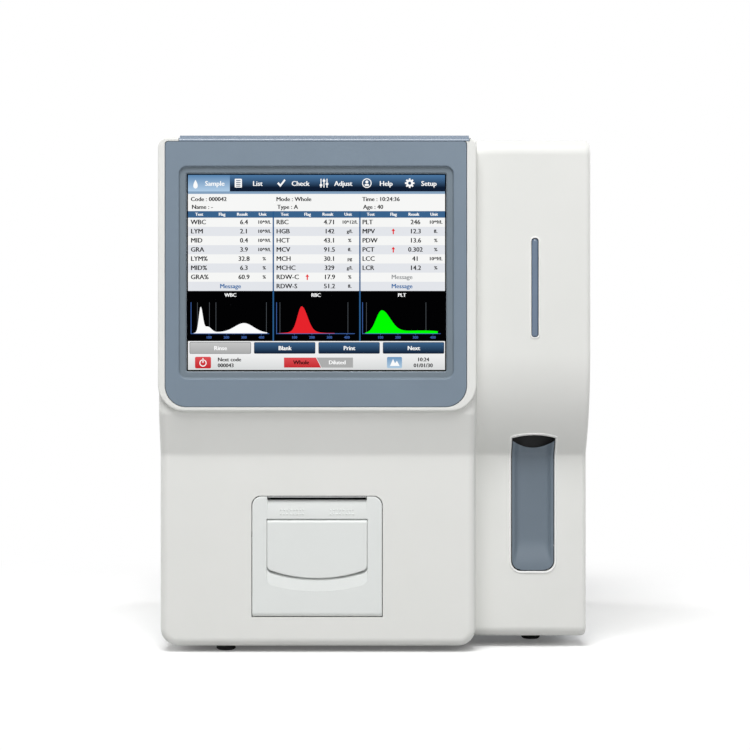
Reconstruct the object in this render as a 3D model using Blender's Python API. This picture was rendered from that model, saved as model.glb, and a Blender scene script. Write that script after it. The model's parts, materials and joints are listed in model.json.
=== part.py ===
"""Benchtop hematology analyzer, modelled piece by piece.

Metres, +Z up. X runs across the front, Y from the front to the back. The origin is on the floor,
under the middle of the case. The screen and the printer are on the left, the sampling tower is on
the right.
"""
import math

import bmesh
import bpy
from mathutils import Matrix, Vector

# Overall case
CASE_WIDTH = 0.354
CASE_DEPTH = 0.380
CASE_TOP = 0.422
CASE_BOTTOM = 0.005
TOWER_WIDTH = 0.094
SEAM_DEPTH = 0.090
CONNECTOR_REACH = 0.009
GAP = 0.0003
OVERRUN = 0.003
SHEET = 0.0015
HOUSING_WALL = 0.0025

LEFT_X = -CASE_WIDTH / 2
RIGHT_X = CASE_WIDTH / 2
FRONT_Y = -CASE_DEPTH / 2
REAR_Y = CASE_DEPTH / 2 - CONNECTOR_REACH
SEAM_Y = FRONT_Y + SEAM_DEPTH
SPLIT_X = RIGHT_X - TOWER_WIDTH
PANEL_Y = SEAM_Y + GAP

# Screen housing: hood on top, slope under it, flat face below
EDGE_RADIUS = 0.007
TOP_CORNER_RADIUS = 0.008
BOTTOM_CORNER_RADIUS = 0.0145
HOOD_STEP = 0.004
HOOD_DEPTH = 0.012
HOOD_INSET = 0.0002
HOOD_BOTTOM_Z = 0.1988
HOOD_CORNER_RADIUS = 0.0215
SLOPE_TOP_Z = 0.197
SLOPE_BOTTOM_Z = 0.1626
FACE_SETBACK = 0.016
SLOPE_FILLET = 0.012

# Blue-grey bezel and the strip that rolls over the top edge
BEZEL_LEFT_MARGIN = 0.0062
BEZEL_RIGHT_MARGIN = 0.0084
BEZEL_TOP_MARGIN = 0.0035
BEZEL_BOTTOM_Z = 0.2024
BEZEL_THICKNESS = 0.0045
BEZEL_CORNER_RADIUS = 0.0175
BEZEL_TOP_CORNER_RADIUS = 0.0025
STRIP_LEFT_MARGIN = 0.0175
STRIP_RIGHT_MARGIN = 0.0062
STRIP_LENGTH = 0.060
STRIP_NOSE_RADIUS = 0.0032
STRIP_NOSE_DEPTH = 0.0037
STRIP_REBATE = 0.001
STRIP_STEP_BACK = 0.0068
STRIP_STEP_WIDTH = 0.0005
STRIP_RISE = 0.0022

# Screen
WINDOW_LEFT_MARGIN = 0.0232
WINDOW_RIGHT_MARGIN = 0.0248
WINDOW_TOP_MARGIN = 0.0294
WINDOW_BOTTOM_MARGIN = 0.0288
WINDOW_CORNER_RADIUS = 0.0015
RECESS_MARGIN = 0.0057
RECESS_DEPTH = 0.003
RECESS_CORNER_RADIUS = 0.0065
GLASS_MARGIN = 0.0015
GLASS_THICKNESS = 0.0018
LCD_MARGIN_X = 0.0066
LCD_MARGIN_Z = 0.0043
LCD_THICKNESS = 0.006
BRACKET_MARGIN = 0.0142
BRACKET_DRAW_IN = 0.0107
BRACKET_WINDOW_MARGIN = 0.030

SCREEN_CENTRE_X = (LEFT_X + WINDOW_LEFT_MARGIN + SPLIT_X - WINDOW_RIGHT_MARGIN) / 2
SCREEN_CENTRE_Z = (CASE_TOP - WINDOW_TOP_MARGIN + BEZEL_BOTTOM_Z + WINDOW_BOTTOM_MARGIN) / 2
WINDOW_WIDTH = SPLIT_X - WINDOW_RIGHT_MARGIN - LEFT_X - WINDOW_LEFT_MARGIN
WINDOW_HEIGHT = CASE_TOP - WINDOW_TOP_MARGIN - BEZEL_BOTTOM_Z - WINDOW_BOTTOM_MARGIN
BRACKET_HEIGHT = WINDOW_HEIGHT - 2 * BRACKET_DRAW_IN

# Sampling tower
TOWER_SETBACK = 0.012
TOWER_TOP_FILLET = 0.013
TOWER_EDGE_RADIUS = 0.004
OVERHANG_TOP_Z = 0.245
OVERHANG_RADIUS = 0.120
OVERHANG_DEPTH = 0.033
CREASE_FILLET = 0.005
TOWER_BOTTOM_Z = 0.009
TOWER_BOTTOM_FILLET = 0.009

# Status light
LIGHT_PLACE_SHARE = 0.51277
LIGHT_WIDTH = 0.0053
LIGHT_BOTTOM_Z = 0.2596
LIGHT_TOP_MARGIN = 0.0816
LIGHT_DEPTH = 0.0060
LED_BOARD_WIDTH = 0.015
LED_BOARD_OVERHANG = 0.009
LIGHT_HEIGHT = CASE_TOP - LIGHT_TOP_MARGIN - LIGHT_BOTTOM_Z

# Start key in the sampling bay
BAY_PLACE_SHARE = 0.5234
BAY_WIDTH = 0.0361
BAY_BOTTOM_Z = 0.0641
BAY_SIDE_TOP_Z = 0.1759
BAY_ARCH = 0.0025
BAY_CORNER_RADIUS = 0.0084
KEY_CLEARANCE = 0.0007
KEY_THICKNESS = 0.0024
KEY_DISH = 0.0035
KEY_SIDE_SLOPE = 0.0054
KEY_RIM = 0.0008
KEY_END_SLOPE = 0.006
KEY_TOP_Z = 0.1735
KEY_NOTCH = 0.0060
KEY_PIVOT_Z = 0.152
KEY_PIVOT_DEPTH = 0.0125
KEY_LUG_WIDTH = 0.003
KEY_LUG_RADIUS = 0.0035
KEY_PIN_RADIUS = 0.0015
KEY_TRAVEL_ROOM = 0.0065
KEY_CHEEK_HEIGHT = 0.012
KEY_BRACKET_FOOT_Z = 0.085
SWITCH_WIDTH = 0.0065
SWITCH_HEIGHT = 0.010
SWITCH_DEPTH = 0.006
SWITCH_STEM_RADIUS = 0.0012

# Thermal printer
PRINTER_OFFSET_X = 0.00015
PRINTER_CENTRE_X = SCREEN_CENTRE_X + PRINTER_OFFSET_X
PRINTER_WIDTH = 0.1069
PRINTER_BOTTOM_Z = 0.0297
PRINTER_HEIGHT = 0.0988
PRINTER_TOP_CORNER_RADIUS = 0.0077
DOOR_THICKNESS = 0.0024
DOOR_HINGE_RADIUS = 0.0034
DOOR_KNUCKLE_RADIUS = 0.0030
DOOR_PIN_RADIUS = 0.0010
DOOR_EAR_RADIUS = 0.0018
DOOR_EAR_WIDTH = 0.004
DOOR_EAR_INSET = 0.0022
SLOT_WIDTH = 0.082
SLOT_HEIGHT = 0.0026
TEAR_BAR_HEIGHT = 0.0009
TEAR_BAR_DEPTH = 0.004
LIP_DEPTH = 0.0022
LIP_HEIGHT = 0.0098
HANDLE_WIDTH = 0.0824
HANDLE_TOP_Z = 0.1098
HANDLE_SIDE_Z = 0.0684
HANDLE_SAG = 0.0073
HANDLE_THICKNESS = 0.0022
HANDLE_PIVOT_DROP = 0.0034
HANDLE_PIVOT_DEPTH = 0.0034
HANDLE_BARREL_RADIUS = 0.0021
HANDLE_PIN_RADIUS = 0.0008
POCKET_DEPTH = 0.0075
POCKET_WALL = 0.0018
POCKET_DROP = 0.0102
POCKET_SIDE_DROP = 0.0119
DOOR_ARM_WIDTH = 0.0025
DOOR_ARM_INSET = 0.0095
PLATEN_RADIUS = 0.0055
PLATEN_SHAFT_RADIUS = 0.0020
PLATEN_DEPTH = 0.012
PLATEN_DROP = 0.0105
PLATEN_ARM_HEIGHT = 0.011
BUCKET_DEPTH = 0.062
BUCKET_WALL = 0.002
BUCKET_MARGIN_X = 0.0012
BUCKET_TOP_MARGIN = 0.0022
BUCKET_FLOOR_RISE = 0.0085
PAPER_WIDTH = 0.0795
PAPER_RADIUS = 0.0235
PAPER_BORE_RADIUS = 0.0062
PAPER_DEPTH = 0.0365
HEAD_THICKNESS = 0.006
HEAD_HEIGHT = 0.012
GEAR_MODULE = 0.001
GEAR_TIP_SHARE = 0.85
GEAR_ROOT_SHARE = 1.25
TOOTH_TIP_SHARE = 0.45
TOOTH_ROOT_SHARE = 1.5
PLATEN_TEETH = 12
PINION_TEETH = 10
GEAR_WIDTH = 0.0035
GEAR_BACKLASH = 0.0007
PRINTER_MOTOR_RADIUS = 0.0100
PRINTER_MOTOR_LENGTH = 0.014
PINION_SHAFT_DEPTH = 0.006
PINION_SHAFT_RADIUS = 0.0012

# Cases behind the seam
TOP_SKIRT = 0.030
PAN_HEIGHT = 0.018
VENT_COUNT = 12
VENT_PITCH = 0.008
VENT_HEIGHT = 0.003
VENT_LENGTH = 0.070
VENT_BOTTOM_Z = 0.060
VENT_REAR_MARGIN = 0.035
FLANGE = 0.012

# Feet
FOOT_RADIUS = 0.0080
FOOT_TIP_RADIUS = 0.0062
FOOT_TAPER = 0.003
FOOT_LEFT_INSET = 0.053
FOOT_RIGHT_INSET = 0.042
FOOT_LEFT_DEPTH = 0.036
FOOT_RIGHT_DEPTH = 0.101
FOOT_REAR_DEPTH = 0.030

# Probe unit in the tower
PROBE_OFFSET_X = 0.0494
PROBE_DEPTH = 0.0255
PROBE_RADIUS = 0.0011
PROBE_TIP_Z = 0.190
CARRIAGE_TRAVEL = 0.090
RUNNING = 0.0003
FRAME_TOP_MARGIN = 0.012
FRAME_HEIGHT = 0.072
FRAME_TOP_Z = CASE_TOP - FRAME_TOP_MARGIN
FRAME_BOTTOM_Z = FRAME_TOP_Z - FRAME_HEIGHT
FRAME_PLATE = 0.0025
FRAME_STANDOFF = 0.003
FRAME_REACH = 0.0207
FRAME_FRONT_DEPTH = 0.010
FRAME_LENGTH = 0.154
LUG_THICKNESS = 0.004
RAIL_RADIUS = 0.003
RAIL_OFFSET_X = 0.0140
RAIL_LIFT = 0.012
RAIL_PITCH = 0.032
RAIL_LOW_Z = FRAME_BOTTOM_Z + RAIL_LIFT
RAIL_HIGH_Z = RAIL_LOW_Z + RAIL_PITCH
BLOCK_WIDTH = 0.012
BLOCK_LENGTH = 0.0174
BLOCK_MARGIN = 0.007
SPINE_THICKNESS = 0.0035
ARM_THICKNESS = 0.005
UPPER_ARM_REACH = 0.034
LOWER_ARM_REACH = 0.0185
LOWER_ARM_DROP = 0.054
LOWER_ARM_Z = RAIL_LOW_Z - LOWER_ARM_DROP
WASH_ARM_Z = 0.196
WASH_ARM_REACH = 0.0175
GUIDE_OFFSET = 0.0065
GUIDE_RADIUS = 0.002
SCREW_OFFSET = 0.0135
SCREW_RADIUS = 0.0025
SLIDER_HEIGHT = 0.011
SLIDER_INSET = 0.0015
SLIDER_REACH = 0.0295
WASH_WIDTH = 0.015
WASH_LENGTH = 0.010
WASH_BOTTOM_Z = 0.1925
WASH_HEIGHT = 0.011
SMALL_MOTOR_SIZE = 0.020
SMALL_MOTOR_LENGTH = 0.020
SHAFT_RADIUS = 0.0015
PULLEY_RADIUS = 0.006
PULLEY_FLANGE_RADIUS = 0.0078
PULLEY_WIDTH = 0.005
PULLEY_FLANGE = 0.0008
PULLEY_AXIS_DROP = 0.0092
PULLEY_AXIS_Z = FRAME_TOP_Z - PULLEY_AXIS_DROP
PULLEY_END_MARGIN = 0.011
BELT_THICKNESS = 0.001
BELT_WIDTH = 0.003
BATH_RADIUS = 0.012
BATH_BORE_RADIUS = 0.008
BATH_HEIGHT = 0.080
BATH_FLOOR = 0.012
BATH_SHELF_Z = 0.098
BATH_PITCH = 0.034
SHELF_REACH = 0.067
SHELF_MARGIN = 0.018
SHELF_BACK_HEIGHT = 0.054
SHELF_THICKNESS = 0.002

# Syringe unit
SYRINGE_FRAME_LENGTH = 0.036
SYRINGE_BOTTOM_Z = 0.060
SYRINGE_TOP_Z = 0.230
SYRINGE_REACH = 0.050
SYRINGE_LUG = 0.006
SYRINGE_BACK = 0.003
BARREL_OFFSET_X = 0.027
BARREL_RADIUS = 0.009
BARREL_BORE_RADIUS = 0.0066
BARREL_LENGTH = 0.074
PISTON_RADIUS = 0.0063
PISTON_HEIGHT = 0.010
PISTON_DROP = 0.009
PLUNGER_ROD_RADIUS = 0.003
NUT_HEIGHT = 0.012
NUT_TOP_Z = 0.130
NUT_WIDTH = 0.016
SYRINGE_SCREW_OFFSET = 0.0125
SYRINGE_SCREW_RADIUS = 0.003
SYRINGE_SCREW_TOP_Z = 0.146

# Pump and valves
PUMP_OFFSET_X = 0.014
PUMP_WIDTH = 0.050
PUMP_LENGTH = 0.030
PUMP_HEIGHT = 0.056
PUMP_REAR_MARGIN = 0.011
PUMP_MOTOR_RADIUS = 0.018
PUMP_MOTOR_LENGTH = 0.045
VALVE_BLOCK_MARGIN = 0.055
VALVE_BLOCK_LENGTH = 0.088
VALVE_BLOCK_HEIGHT = 0.030
VALVE_BLOCK_DEPTH = 0.014
VALVE_COUNT = 4
VALVE_RADIUS = 0.0075
VALVE_LENGTH = 0.024

# Electronics
BOARD_THICKNESS = 0.0016
BOARD_STANDOFF = 0.008
BOARD_STANDOFF_RADIUS = 0.0028
BOARD_PLACE_SHARE = 0.247
BOARD_LENGTH = 0.200
BOARD_Z = 0.090
BOARD_HEIGHT = 0.220
BOARD_PART_HEIGHT = 0.007
SUPPLY_LEFT_INSET = 0.012
SUPPLY_WIDTH = 0.100
SUPPLY_LENGTH = 0.110
SUPPLY_HEIGHT = 0.060
SUPPLY_REAR_MARGIN = 0.030
SUPPLY_WALL = 0.0015

# Fan
FAN_SIZE = 0.080
FAN_DEPTH = 0.020
FAN_OFFSET_X = 0.107
FAN_CENTRE_Z = 0.290
FAN_BORE_RADIUS = 0.0375
FAN_HUB_RADIUS = 0.016
FAN_BLADE_RADIUS = 0.0355
FAN_BLADE_CHORD = 0.013
FAN_BLADE_TILT = math.radians(48)
FAN_BLADES = 7
FAN_BLADE_THICKNESS = 0.0014
FAN_STRUT = 0.003
GUARD_WIRE = 0.0016
GUARD_RINGS = 3
GUARD_SPOKE_REACH = 0.051
GUARD_SPOKE_DEPTH = 0.0024
FAN_CENTRE_X = LEFT_X + FAN_OFFSET_X

# Rear connectors
INLET_OFFSET_X = 0.062
INLET_CENTRE_X = LEFT_X + INLET_OFFSET_X
INLET_CENTRE_Z = 0.058
INLET_WIDTH = 0.062
INLET_HEIGHT = 0.028
INLET_FLANGE = 0.0025
INLET_BODY_WIDTH = 0.056
INLET_BODY_HEIGHT = 0.024
INLET_BODY_DEPTH = 0.022
SOCKET_WIDTH = 0.026
SOCKET_HEIGHT = 0.019
SOCKET_DEPTH = 0.0165
SOCKET_INSET = 0.0035
PIN_LENGTH = 0.0105
PIN_WIDTH = 0.002
PIN_HEIGHT = 0.004
PIN_PITCH = 0.007
SWITCH_PIVOT_DEPTH = 0.002
ROCKER_WIDTH = 0.013
ROCKER_HEIGHT = 0.019
ROCKER_DEPTH = 0.006
ROCKER_PIN_RADIUS = 0.0012
ROCKER_PIN_REACH = 0.0015
SERIAL_OFFSET_X = 0.042
SERIAL_X = LEFT_X + SERIAL_OFFSET_X
SERIAL_WIDTH = 0.031
SERIAL_HEIGHT = 0.0125
NETWORK_OFFSET_X = 0.079
NETWORK_X = LEFT_X + NETWORK_OFFSET_X
NETWORK_WIDTH = 0.0165
NETWORK_HEIGHT = 0.0140
USB_OFFSET_X = 0.105
USB_X = LEFT_X + USB_OFFSET_X
USB_PITCH = 0.016
USB_COUNT = 2
USB_WIDTH = 0.0080
USB_HEIGHT = 0.0160
PORT_ROW_Z = 0.170
PORT_DEPTH = 0.012
PORT_PROUD = 0.004
PORT_WALL = 0.0012
PORT_CARD_OFFSET_X = 0.020
PORT_CARD_X = LEFT_X + PORT_CARD_OFFSET_X
PORT_CARD_WIDTH = 0.112
PORT_CARD_HEIGHT = 0.030
BARB_ROW_SHARE = 0.234
BARB_ROW_X = SPLIT_X + TOWER_WIDTH * BARB_ROW_SHARE
BARB_ROW_Z = 0.075
BARB_PITCH_SHARE = 0.1809
BARB_PITCH = TOWER_WIDTH * BARB_PITCH_SHARE
BARB_COUNT = 4
BARB_RADIUS = 0.0035
BARB_BORE_RADIUS = 0.0015
BARB_FLANGE_RADIUS = 0.0065
BARB_FLANGE = 0.002
EARTH_OFFSET_X = 0.117
EARTH_X = LEFT_X + EARTH_OFFSET_X
EARTH_RADIUS = 0.003
EARTH_NUT_RADIUS = 0.0055
EARTH_NUT_HEIGHT = 0.003

# Fineness of round shapes
CORNER_STEPS = 5
WIDE_CORNER_STEPS = 10
ROUND_SEGMENTS = 24
SMALL_SEGMENTS = 12
FINE_SEGMENTS = 40
SMOOTH_LIMIT = math.radians(40)


def material(name, finish):
    """Plain material of one piece, from its finish: colour, roughness and metallic value."""
    colour, roughness, metallic = finish
    result = bpy.data.materials.new(name)
    result.use_nodes = True
    shader = result.node_tree.nodes["Principled BSDF"]
    shader.inputs["Base Color"].default_value = (*colour, 1.0)
    shader.inputs["Roughness"].default_value = roughness
    shader.inputs["Metallic"].default_value = metallic
    return result


def clear_scene():
    for existing in list(bpy.data.objects):
        bpy.data.objects.remove(existing, do_unlink=True)


# Finishes: linear colour, roughness and metallic value
WHITE_ABS = ((0.80, 0.80, 0.78), 0.45, 0.0)
BLUE_GREY_ABS = ((0.21, 0.26, 0.31), 0.45, 0.0)
BLACK_PLASTIC = ((0.02, 0.02, 0.02), 0.5, 0.0)
BLACK_RUBBER = ((0.02, 0.02, 0.02), 0.8, 0.0)
STEEL = ((0.60, 0.61, 0.62), 0.3, 1.0)
ZINC_SHEET = ((0.55, 0.56, 0.57), 0.4, 1.0)
CIRCUIT_BOARD = ((0.03, 0.18, 0.08), 0.5, 0.0)
CLEAR_ACRYLIC = ((0.75, 0.80, 0.82), 0.15, 0.0)
NATURAL_PLASTIC = ((0.72, 0.70, 0.62), 0.4, 0.0)
THERMAL_PAPER = ((0.85, 0.85, 0.83), 0.7, 0.0)


def transformed(shape, matrix):
    points, faces = shape
    return [matrix @ point for point in points], faces


def joined(*shapes):
    """One mesh of several solids that don't touch."""
    points = []
    faces = []
    for shape_points, shape_faces in shapes:
        start = len(points)
        points.extend(shape_points)
        faces.extend([[start + index for index in face] for face in shape_faces])
    return points, faces


def loft(rings, closed=False, caps="plain"):
    """Skin over rings of equally many points. Strip caps join each point to its mirror point."""
    count = len(rings[0])
    points = [Vector(point) for ring in rings for point in ring]
    faces = []
    last = len(rings) if closed else len(rings) - 1
    for row in range(last):
        here = row * count
        there = ((row + 1) % len(rings)) * count
        for index in range(count):
            following = (index + 1) % count
            faces.append([here + index, here + following, there + following, there + index])
    if closed:
        return points, faces
    for start in (0, (len(rings) - 1) * count):
        if caps == "plain":
            faces.append([start + index for index in range(count)])
            continue
        for index in range(count // 2 - 1):
            mirror = count - 1 - index
            faces.append([start + index, start + index + 1, start + mirror - 1, start + mirror])
    return points, faces


def prism(outline, axis, start, end):
    """Outline extruded along an axis. Its two numbers are the other two axes, in X, Y, Z order."""
    def place(point, depth):
        first, second = point
        if axis == "X":
            return depth, first, second
        if axis == "Y":
            return first, depth, second
        return first, second, depth
    return loft([[place(point, start) for point in outline], [place(point, end) for point in outline]])


def block(low, high):
    (x0, y0, z0), (x1, y1, z1) = low, high
    return prism([(x0, y0), (x1, y0), (x1, y1), (x0, y1)], "Z", z0, z1)


def circle(radius, segments, first=0.0, second=0.0):
    steps = [2 * math.pi * step / segments for step in range(segments)]
    return [(first + radius * math.cos(angle), second + radius * math.sin(angle)) for angle in steps]


def rod(axis, centre, radius, start, end, segments=ROUND_SEGMENTS):
    return prism(circle(radius, segments, *centre), axis, start, end)


def turned(axis, centre, profile, segments=ROUND_SEGMENTS):
    """Ring turned round an axis from a closed profile of (radius, place along the axis)."""
    first, second = centre
    rings = []
    for step in range(segments):
        angle = 2 * math.pi * step / segments
        ring = []
        for radius, depth in profile:
            across = first + radius * math.cos(angle)
            along = second + radius * math.sin(angle)
            if axis == "X":
                ring.append((depth, across, along))
            elif axis == "Y":
                ring.append((across, depth, along))
            else:
                ring.append((across, along, depth))
        rings.append(ring)
    return loft(rings, closed=True)


def arc(centre, radius, start, end, steps):
    first, second = centre
    angles = [start + (end - start) * step / steps for step in range(steps + 1)]
    return [(first + radius * math.cos(angle), second + radius * math.sin(angle)) for angle in angles]


def filleted(corners, radii, closed=True, steps=CORNER_STEPS):
    """Polyline whose corners are rounded to the given radii."""
    path = []
    count = len(corners)
    for index, (corner, radius) in enumerate(zip(corners, radii)):
        here = Vector(corner)
        if radius == 0 or (not closed and index in (0, count - 1)):
            path.append(tuple(here))
            continue
        back = (Vector(corners[index - 1]) - here).normalized()
        ahead = (Vector(corners[(index + 1) % count]) - here).normalized()
        half = back.angle(ahead) / 2
        start = here + back * radius / math.tan(half)
        end = here + ahead * radius / math.tan(half)
        centre = here + (back + ahead).normalized() * radius / math.sin(half)
        turn = (start - centre).angle_signed(end - centre)
        for step in range(steps + 1):
            arm = (start - centre).copy()
            arm.rotate(Matrix.Rotation(-turn * step / steps, 2))
            path.append(tuple(centre + arm))
    return path


def rectangle(left, bottom, right, top, bottom_radius=0.0, top_radius=0.0, steps=CORNER_STEPS):
    corners = [(left, bottom), (right, bottom), (right, top), (left, top)]
    radii = [bottom_radius, bottom_radius, top_radius, top_radius]
    return filleted(corners, radii, steps=steps)


def offset(path, distance):
    """Open path moved sideways to its left by a distance, with mitred corners."""
    moved_path = []
    for index, point in enumerate(path):
        here = Vector(point)
        normals = []
        if index > 0:
            along = (here - Vector(path[index - 1])).normalized()
            normals.append(Vector((-along.y, along.x)))
        if index < len(path) - 1:
            along = (Vector(path[index + 1]) - here).normalized()
            normals.append(Vector((-along.y, along.x)))
        mean = sum(normals, Vector((0.0, 0.0))).normalized()
        moved_path.append(tuple(here + mean * distance / mean.dot(normals[0])))
    return moved_path


def strip(path, thickness):
    """Closed outline of a sheet bent along an open path."""
    return path + offset(path, thickness)[::-1]


def read_height(profile, z):
    """Depth of a front face at a height, from its profile of (y, z) going down."""
    for (y0, z0), (y1, z1) in zip(profile, profile[1:]):
        if z1 <= z <= z0 and z0 > z1:
            return y0 + (y1 - y0) * (z0 - z) / (z0 - z1)
    return profile[0][0] if z > profile[0][1] else profile[-1][0]


def mesh_object(name, shape, finish=None, pivot=(0.0, 0.0, 0.0)):
    points, faces = shape
    origin = Vector(pivot)
    mesh = bpy.data.meshes.new(name)
    model = bmesh.new()
    vertices = [model.verts.new(point - origin) for point in points]
    for face in faces:
        model.faces.new([vertices[index] for index in face])
    bmesh.ops.recalc_face_normals(model, faces=model.faces)
    model.to_mesh(mesh)
    model.free()
    piece_object = bpy.data.objects.new(name, mesh)
    piece_object.location = origin
    bpy.context.scene.collection.objects.link(piece_object)
    if finish:
        mesh.materials.append(material(f"{name}_finish", finish))
    return piece_object


def tool_object(name, shape):
    """Shape that only joins or cuts another one."""
    helper = mesh_object(name, shape)
    helper.hide_render = True
    helper.display_type = "WIRE"
    return helper


def combine(target, operation, shapes):
    """Adds each shape to an object, or cuts each from it, after what was done to it before."""
    for extra in shapes:
        index = len(target.modifiers)
        modifier = target.modifiers.new(f"{operation.lower()}_{index}", "BOOLEAN")
        modifier.operation = operation
        modifier.solver = "EXACT"
        modifier.object = tool_object(f"{target.name}_{operation.lower()}_{index}", extra)


def piece(name, finish, shape, add=(), cut=(), pivot=(0.0, 0.0, 0.0)):
    """One named object: a solid, with other solids joined to it and then cut from it."""
    result = mesh_object(name, shape, finish, pivot)
    combine(result, "UNION", add)
    combine(result, "DIFFERENCE", cut)
    result.data.shade_smooth()
    result.data.set_sharp_from_angle(angle=SMOOTH_LIMIT)
    return result


# Places that several pieces share
BEZEL_LEFT = LEFT_X + BEZEL_LEFT_MARGIN
BEZEL_RIGHT = SPLIT_X - BEZEL_RIGHT_MARGIN
BEZEL_TOP_Z = CASE_TOP - BEZEL_TOP_MARGIN
BEZEL_FRONT_Y = FRONT_Y + GAP
BEZEL_BACK_Y = BEZEL_FRONT_Y + BEZEL_THICKNESS
FACE_Y = FRONT_Y + FACE_SETBACK
TOWER_Y = FRONT_Y + TOWER_SETBACK
TOWER_LEFT = SPLIT_X + GAP
TOWER_INNER_LEFT = TOWER_LEFT + HOUSING_WALL
WALL_Y = TOWER_Y + OVERHANG_DEPTH
OVERHANG_ANGLE = math.acos(1 - OVERHANG_DEPTH / OVERHANG_RADIUS)
CREASE_Z = OVERHANG_TOP_Z - OVERHANG_RADIUS * math.sin(OVERHANG_ANGLE)


def window_outline(margin, radius, steps=CORNER_STEPS):
    """Rounded rectangle round the middle of the screen."""
    half_width = WINDOW_WIDTH / 2 + margin
    half_height = WINDOW_HEIGHT / 2 + margin
    return rectangle(SCREEN_CENTRE_X - half_width, SCREEN_CENTRE_Z - half_height,
                     SCREEN_CENTRE_X + half_width, SCREEN_CENTRE_Z + half_height, radius, radius, steps)


def bezel_outline(margin=0.0):
    return rectangle(BEZEL_LEFT - margin, BEZEL_BOTTOM_Z - margin, BEZEL_RIGHT + margin,
                     BEZEL_TOP_Z + margin, BEZEL_CORNER_RADIUS, BEZEL_TOP_CORNER_RADIUS,
                     WIDE_CORNER_STEPS)


def housing_profile():
    """Front of the screen housing behind its hood, as (y, z) going down."""
    corners = [(FRONT_Y + HOOD_STEP, CASE_TOP), (FRONT_Y + HOOD_STEP, SLOPE_TOP_Z),
               (FACE_Y, SLOPE_BOTTOM_Z), (FACE_Y, CASE_BOTTOM)]
    return filleted(corners, [0.0, SLOPE_FILLET, SLOPE_FILLET, 0.0], closed=False)


def housing_ring(inset, setback):
    """Ring round the housing: down its right side and up its left, drawn in by an inset."""
    profile = housing_profile()
    right = []
    top_z = CASE_TOP - TOP_CORNER_RADIUS
    bottom_z = CASE_BOTTOM + BOTTOM_CORNER_RADIUS
    for step in range(CORNER_STEPS + 1):
        angle = math.pi / 2 * (1 - step / CORNER_STEPS)
        reach = TOP_CORNER_RADIUS - inset
        right.append((TOP_CORNER_RADIUS - reach * math.cos(angle), top_z + reach * math.sin(angle)))
    for _, z in profile[1:-1]:
        right.append((inset, z))
    for step in range(CORNER_STEPS + 1):
        angle = math.pi / 2 * step / CORNER_STEPS
        reach = BOTTOM_CORNER_RADIUS - inset
        right.append((BOTTOM_CORNER_RADIUS - reach * math.cos(angle), bottom_z - reach * math.sin(angle)))
    down = [(SPLIT_X - margin, read_height(profile, z) + setback, z) for margin, z in right]
    up = [(LEFT_X + margin, read_height(profile, z) + setback, z) for margin, z in right]
    return down + up[::-1]


def housing_block(inset, setback, radius, back_y):
    """Solid inside the housing's skin, drawn in by an inset, with rounded front edges."""
    rings = [[(x, back_y, z) for x, _, z in housing_ring(inset, setback)]]
    for step in range(CORNER_STEPS + 1):
        angle = math.pi / 2 * step / CORNER_STEPS
        drawn_in = inset + radius * (1 - math.cos(angle))
        rings.append(housing_ring(drawn_in, setback + radius * (1 - math.sin(angle))))
    return loft(rings, caps="strips")


def hood_block():
    """Raised plateau round the screen, with rounded edges."""
    rings = []
    steps = [(0.0, HOOD_DEPTH)]
    for step in range(CORNER_STEPS + 1):
        angle = math.pi / 2 * step / CORNER_STEPS
        steps.append((HOOD_STEP * (1 - math.cos(angle)), HOOD_STEP * (1 - math.sin(angle))))
    for drawn_in, depth in steps:
        margin = HOOD_INSET + drawn_in
        outline = rectangle(LEFT_X + margin, HOOD_BOTTOM_Z + drawn_in, SPLIT_X - margin, CASE_TOP - margin,
                            HOOD_CORNER_RADIUS - drawn_in, TOP_CORNER_RADIUS - drawn_in,
                            WIDE_CORNER_STEPS)
        rings.append([(x, FRONT_Y + depth, z) for x, z in outline])
    return loft(rings)


def printer_outline(margin=0.0):
    left = PRINTER_CENTRE_X - PRINTER_WIDTH / 2 - margin
    top = PRINTER_BOTTOM_Z + PRINTER_HEIGHT + margin
    return rectangle(left, PRINTER_BOTTOM_Z - margin, left + PRINTER_WIDTH + 2 * margin, top,
                     0.0, PRINTER_TOP_CORNER_RADIUS)


def strip_profile():
    """Section of the strip, as (y, z): a nose over the edge and a raised slab behind it."""
    nose_y = FRONT_Y + GAP
    under_z = CASE_TOP - STRIP_REBATE + GAP
    start_z = BEZEL_TOP_Z + GAP
    nose = filleted([(nose_y, start_z), (nose_y, CASE_TOP), (nose_y + STRIP_STEP_BACK, CASE_TOP)],
                    [0.0, STRIP_NOSE_RADIUS, 0.0], closed=False)
    step_y = nose_y + STRIP_STEP_BACK + STRIP_STEP_WIDTH
    end_y = nose_y + STRIP_LENGTH
    inner_y = nose_y + STRIP_NOSE_DEPTH - GAP
    return nose + [(step_y, CASE_TOP + STRIP_RISE), (end_y, CASE_TOP + STRIP_RISE), (end_y, under_z),
                   (inner_y, under_z), (inner_y, start_z)]


STRIP_LEFT = LEFT_X + STRIP_LEFT_MARGIN
STRIP_RIGHT = SPLIT_X - STRIP_RIGHT_MARGIN


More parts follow.
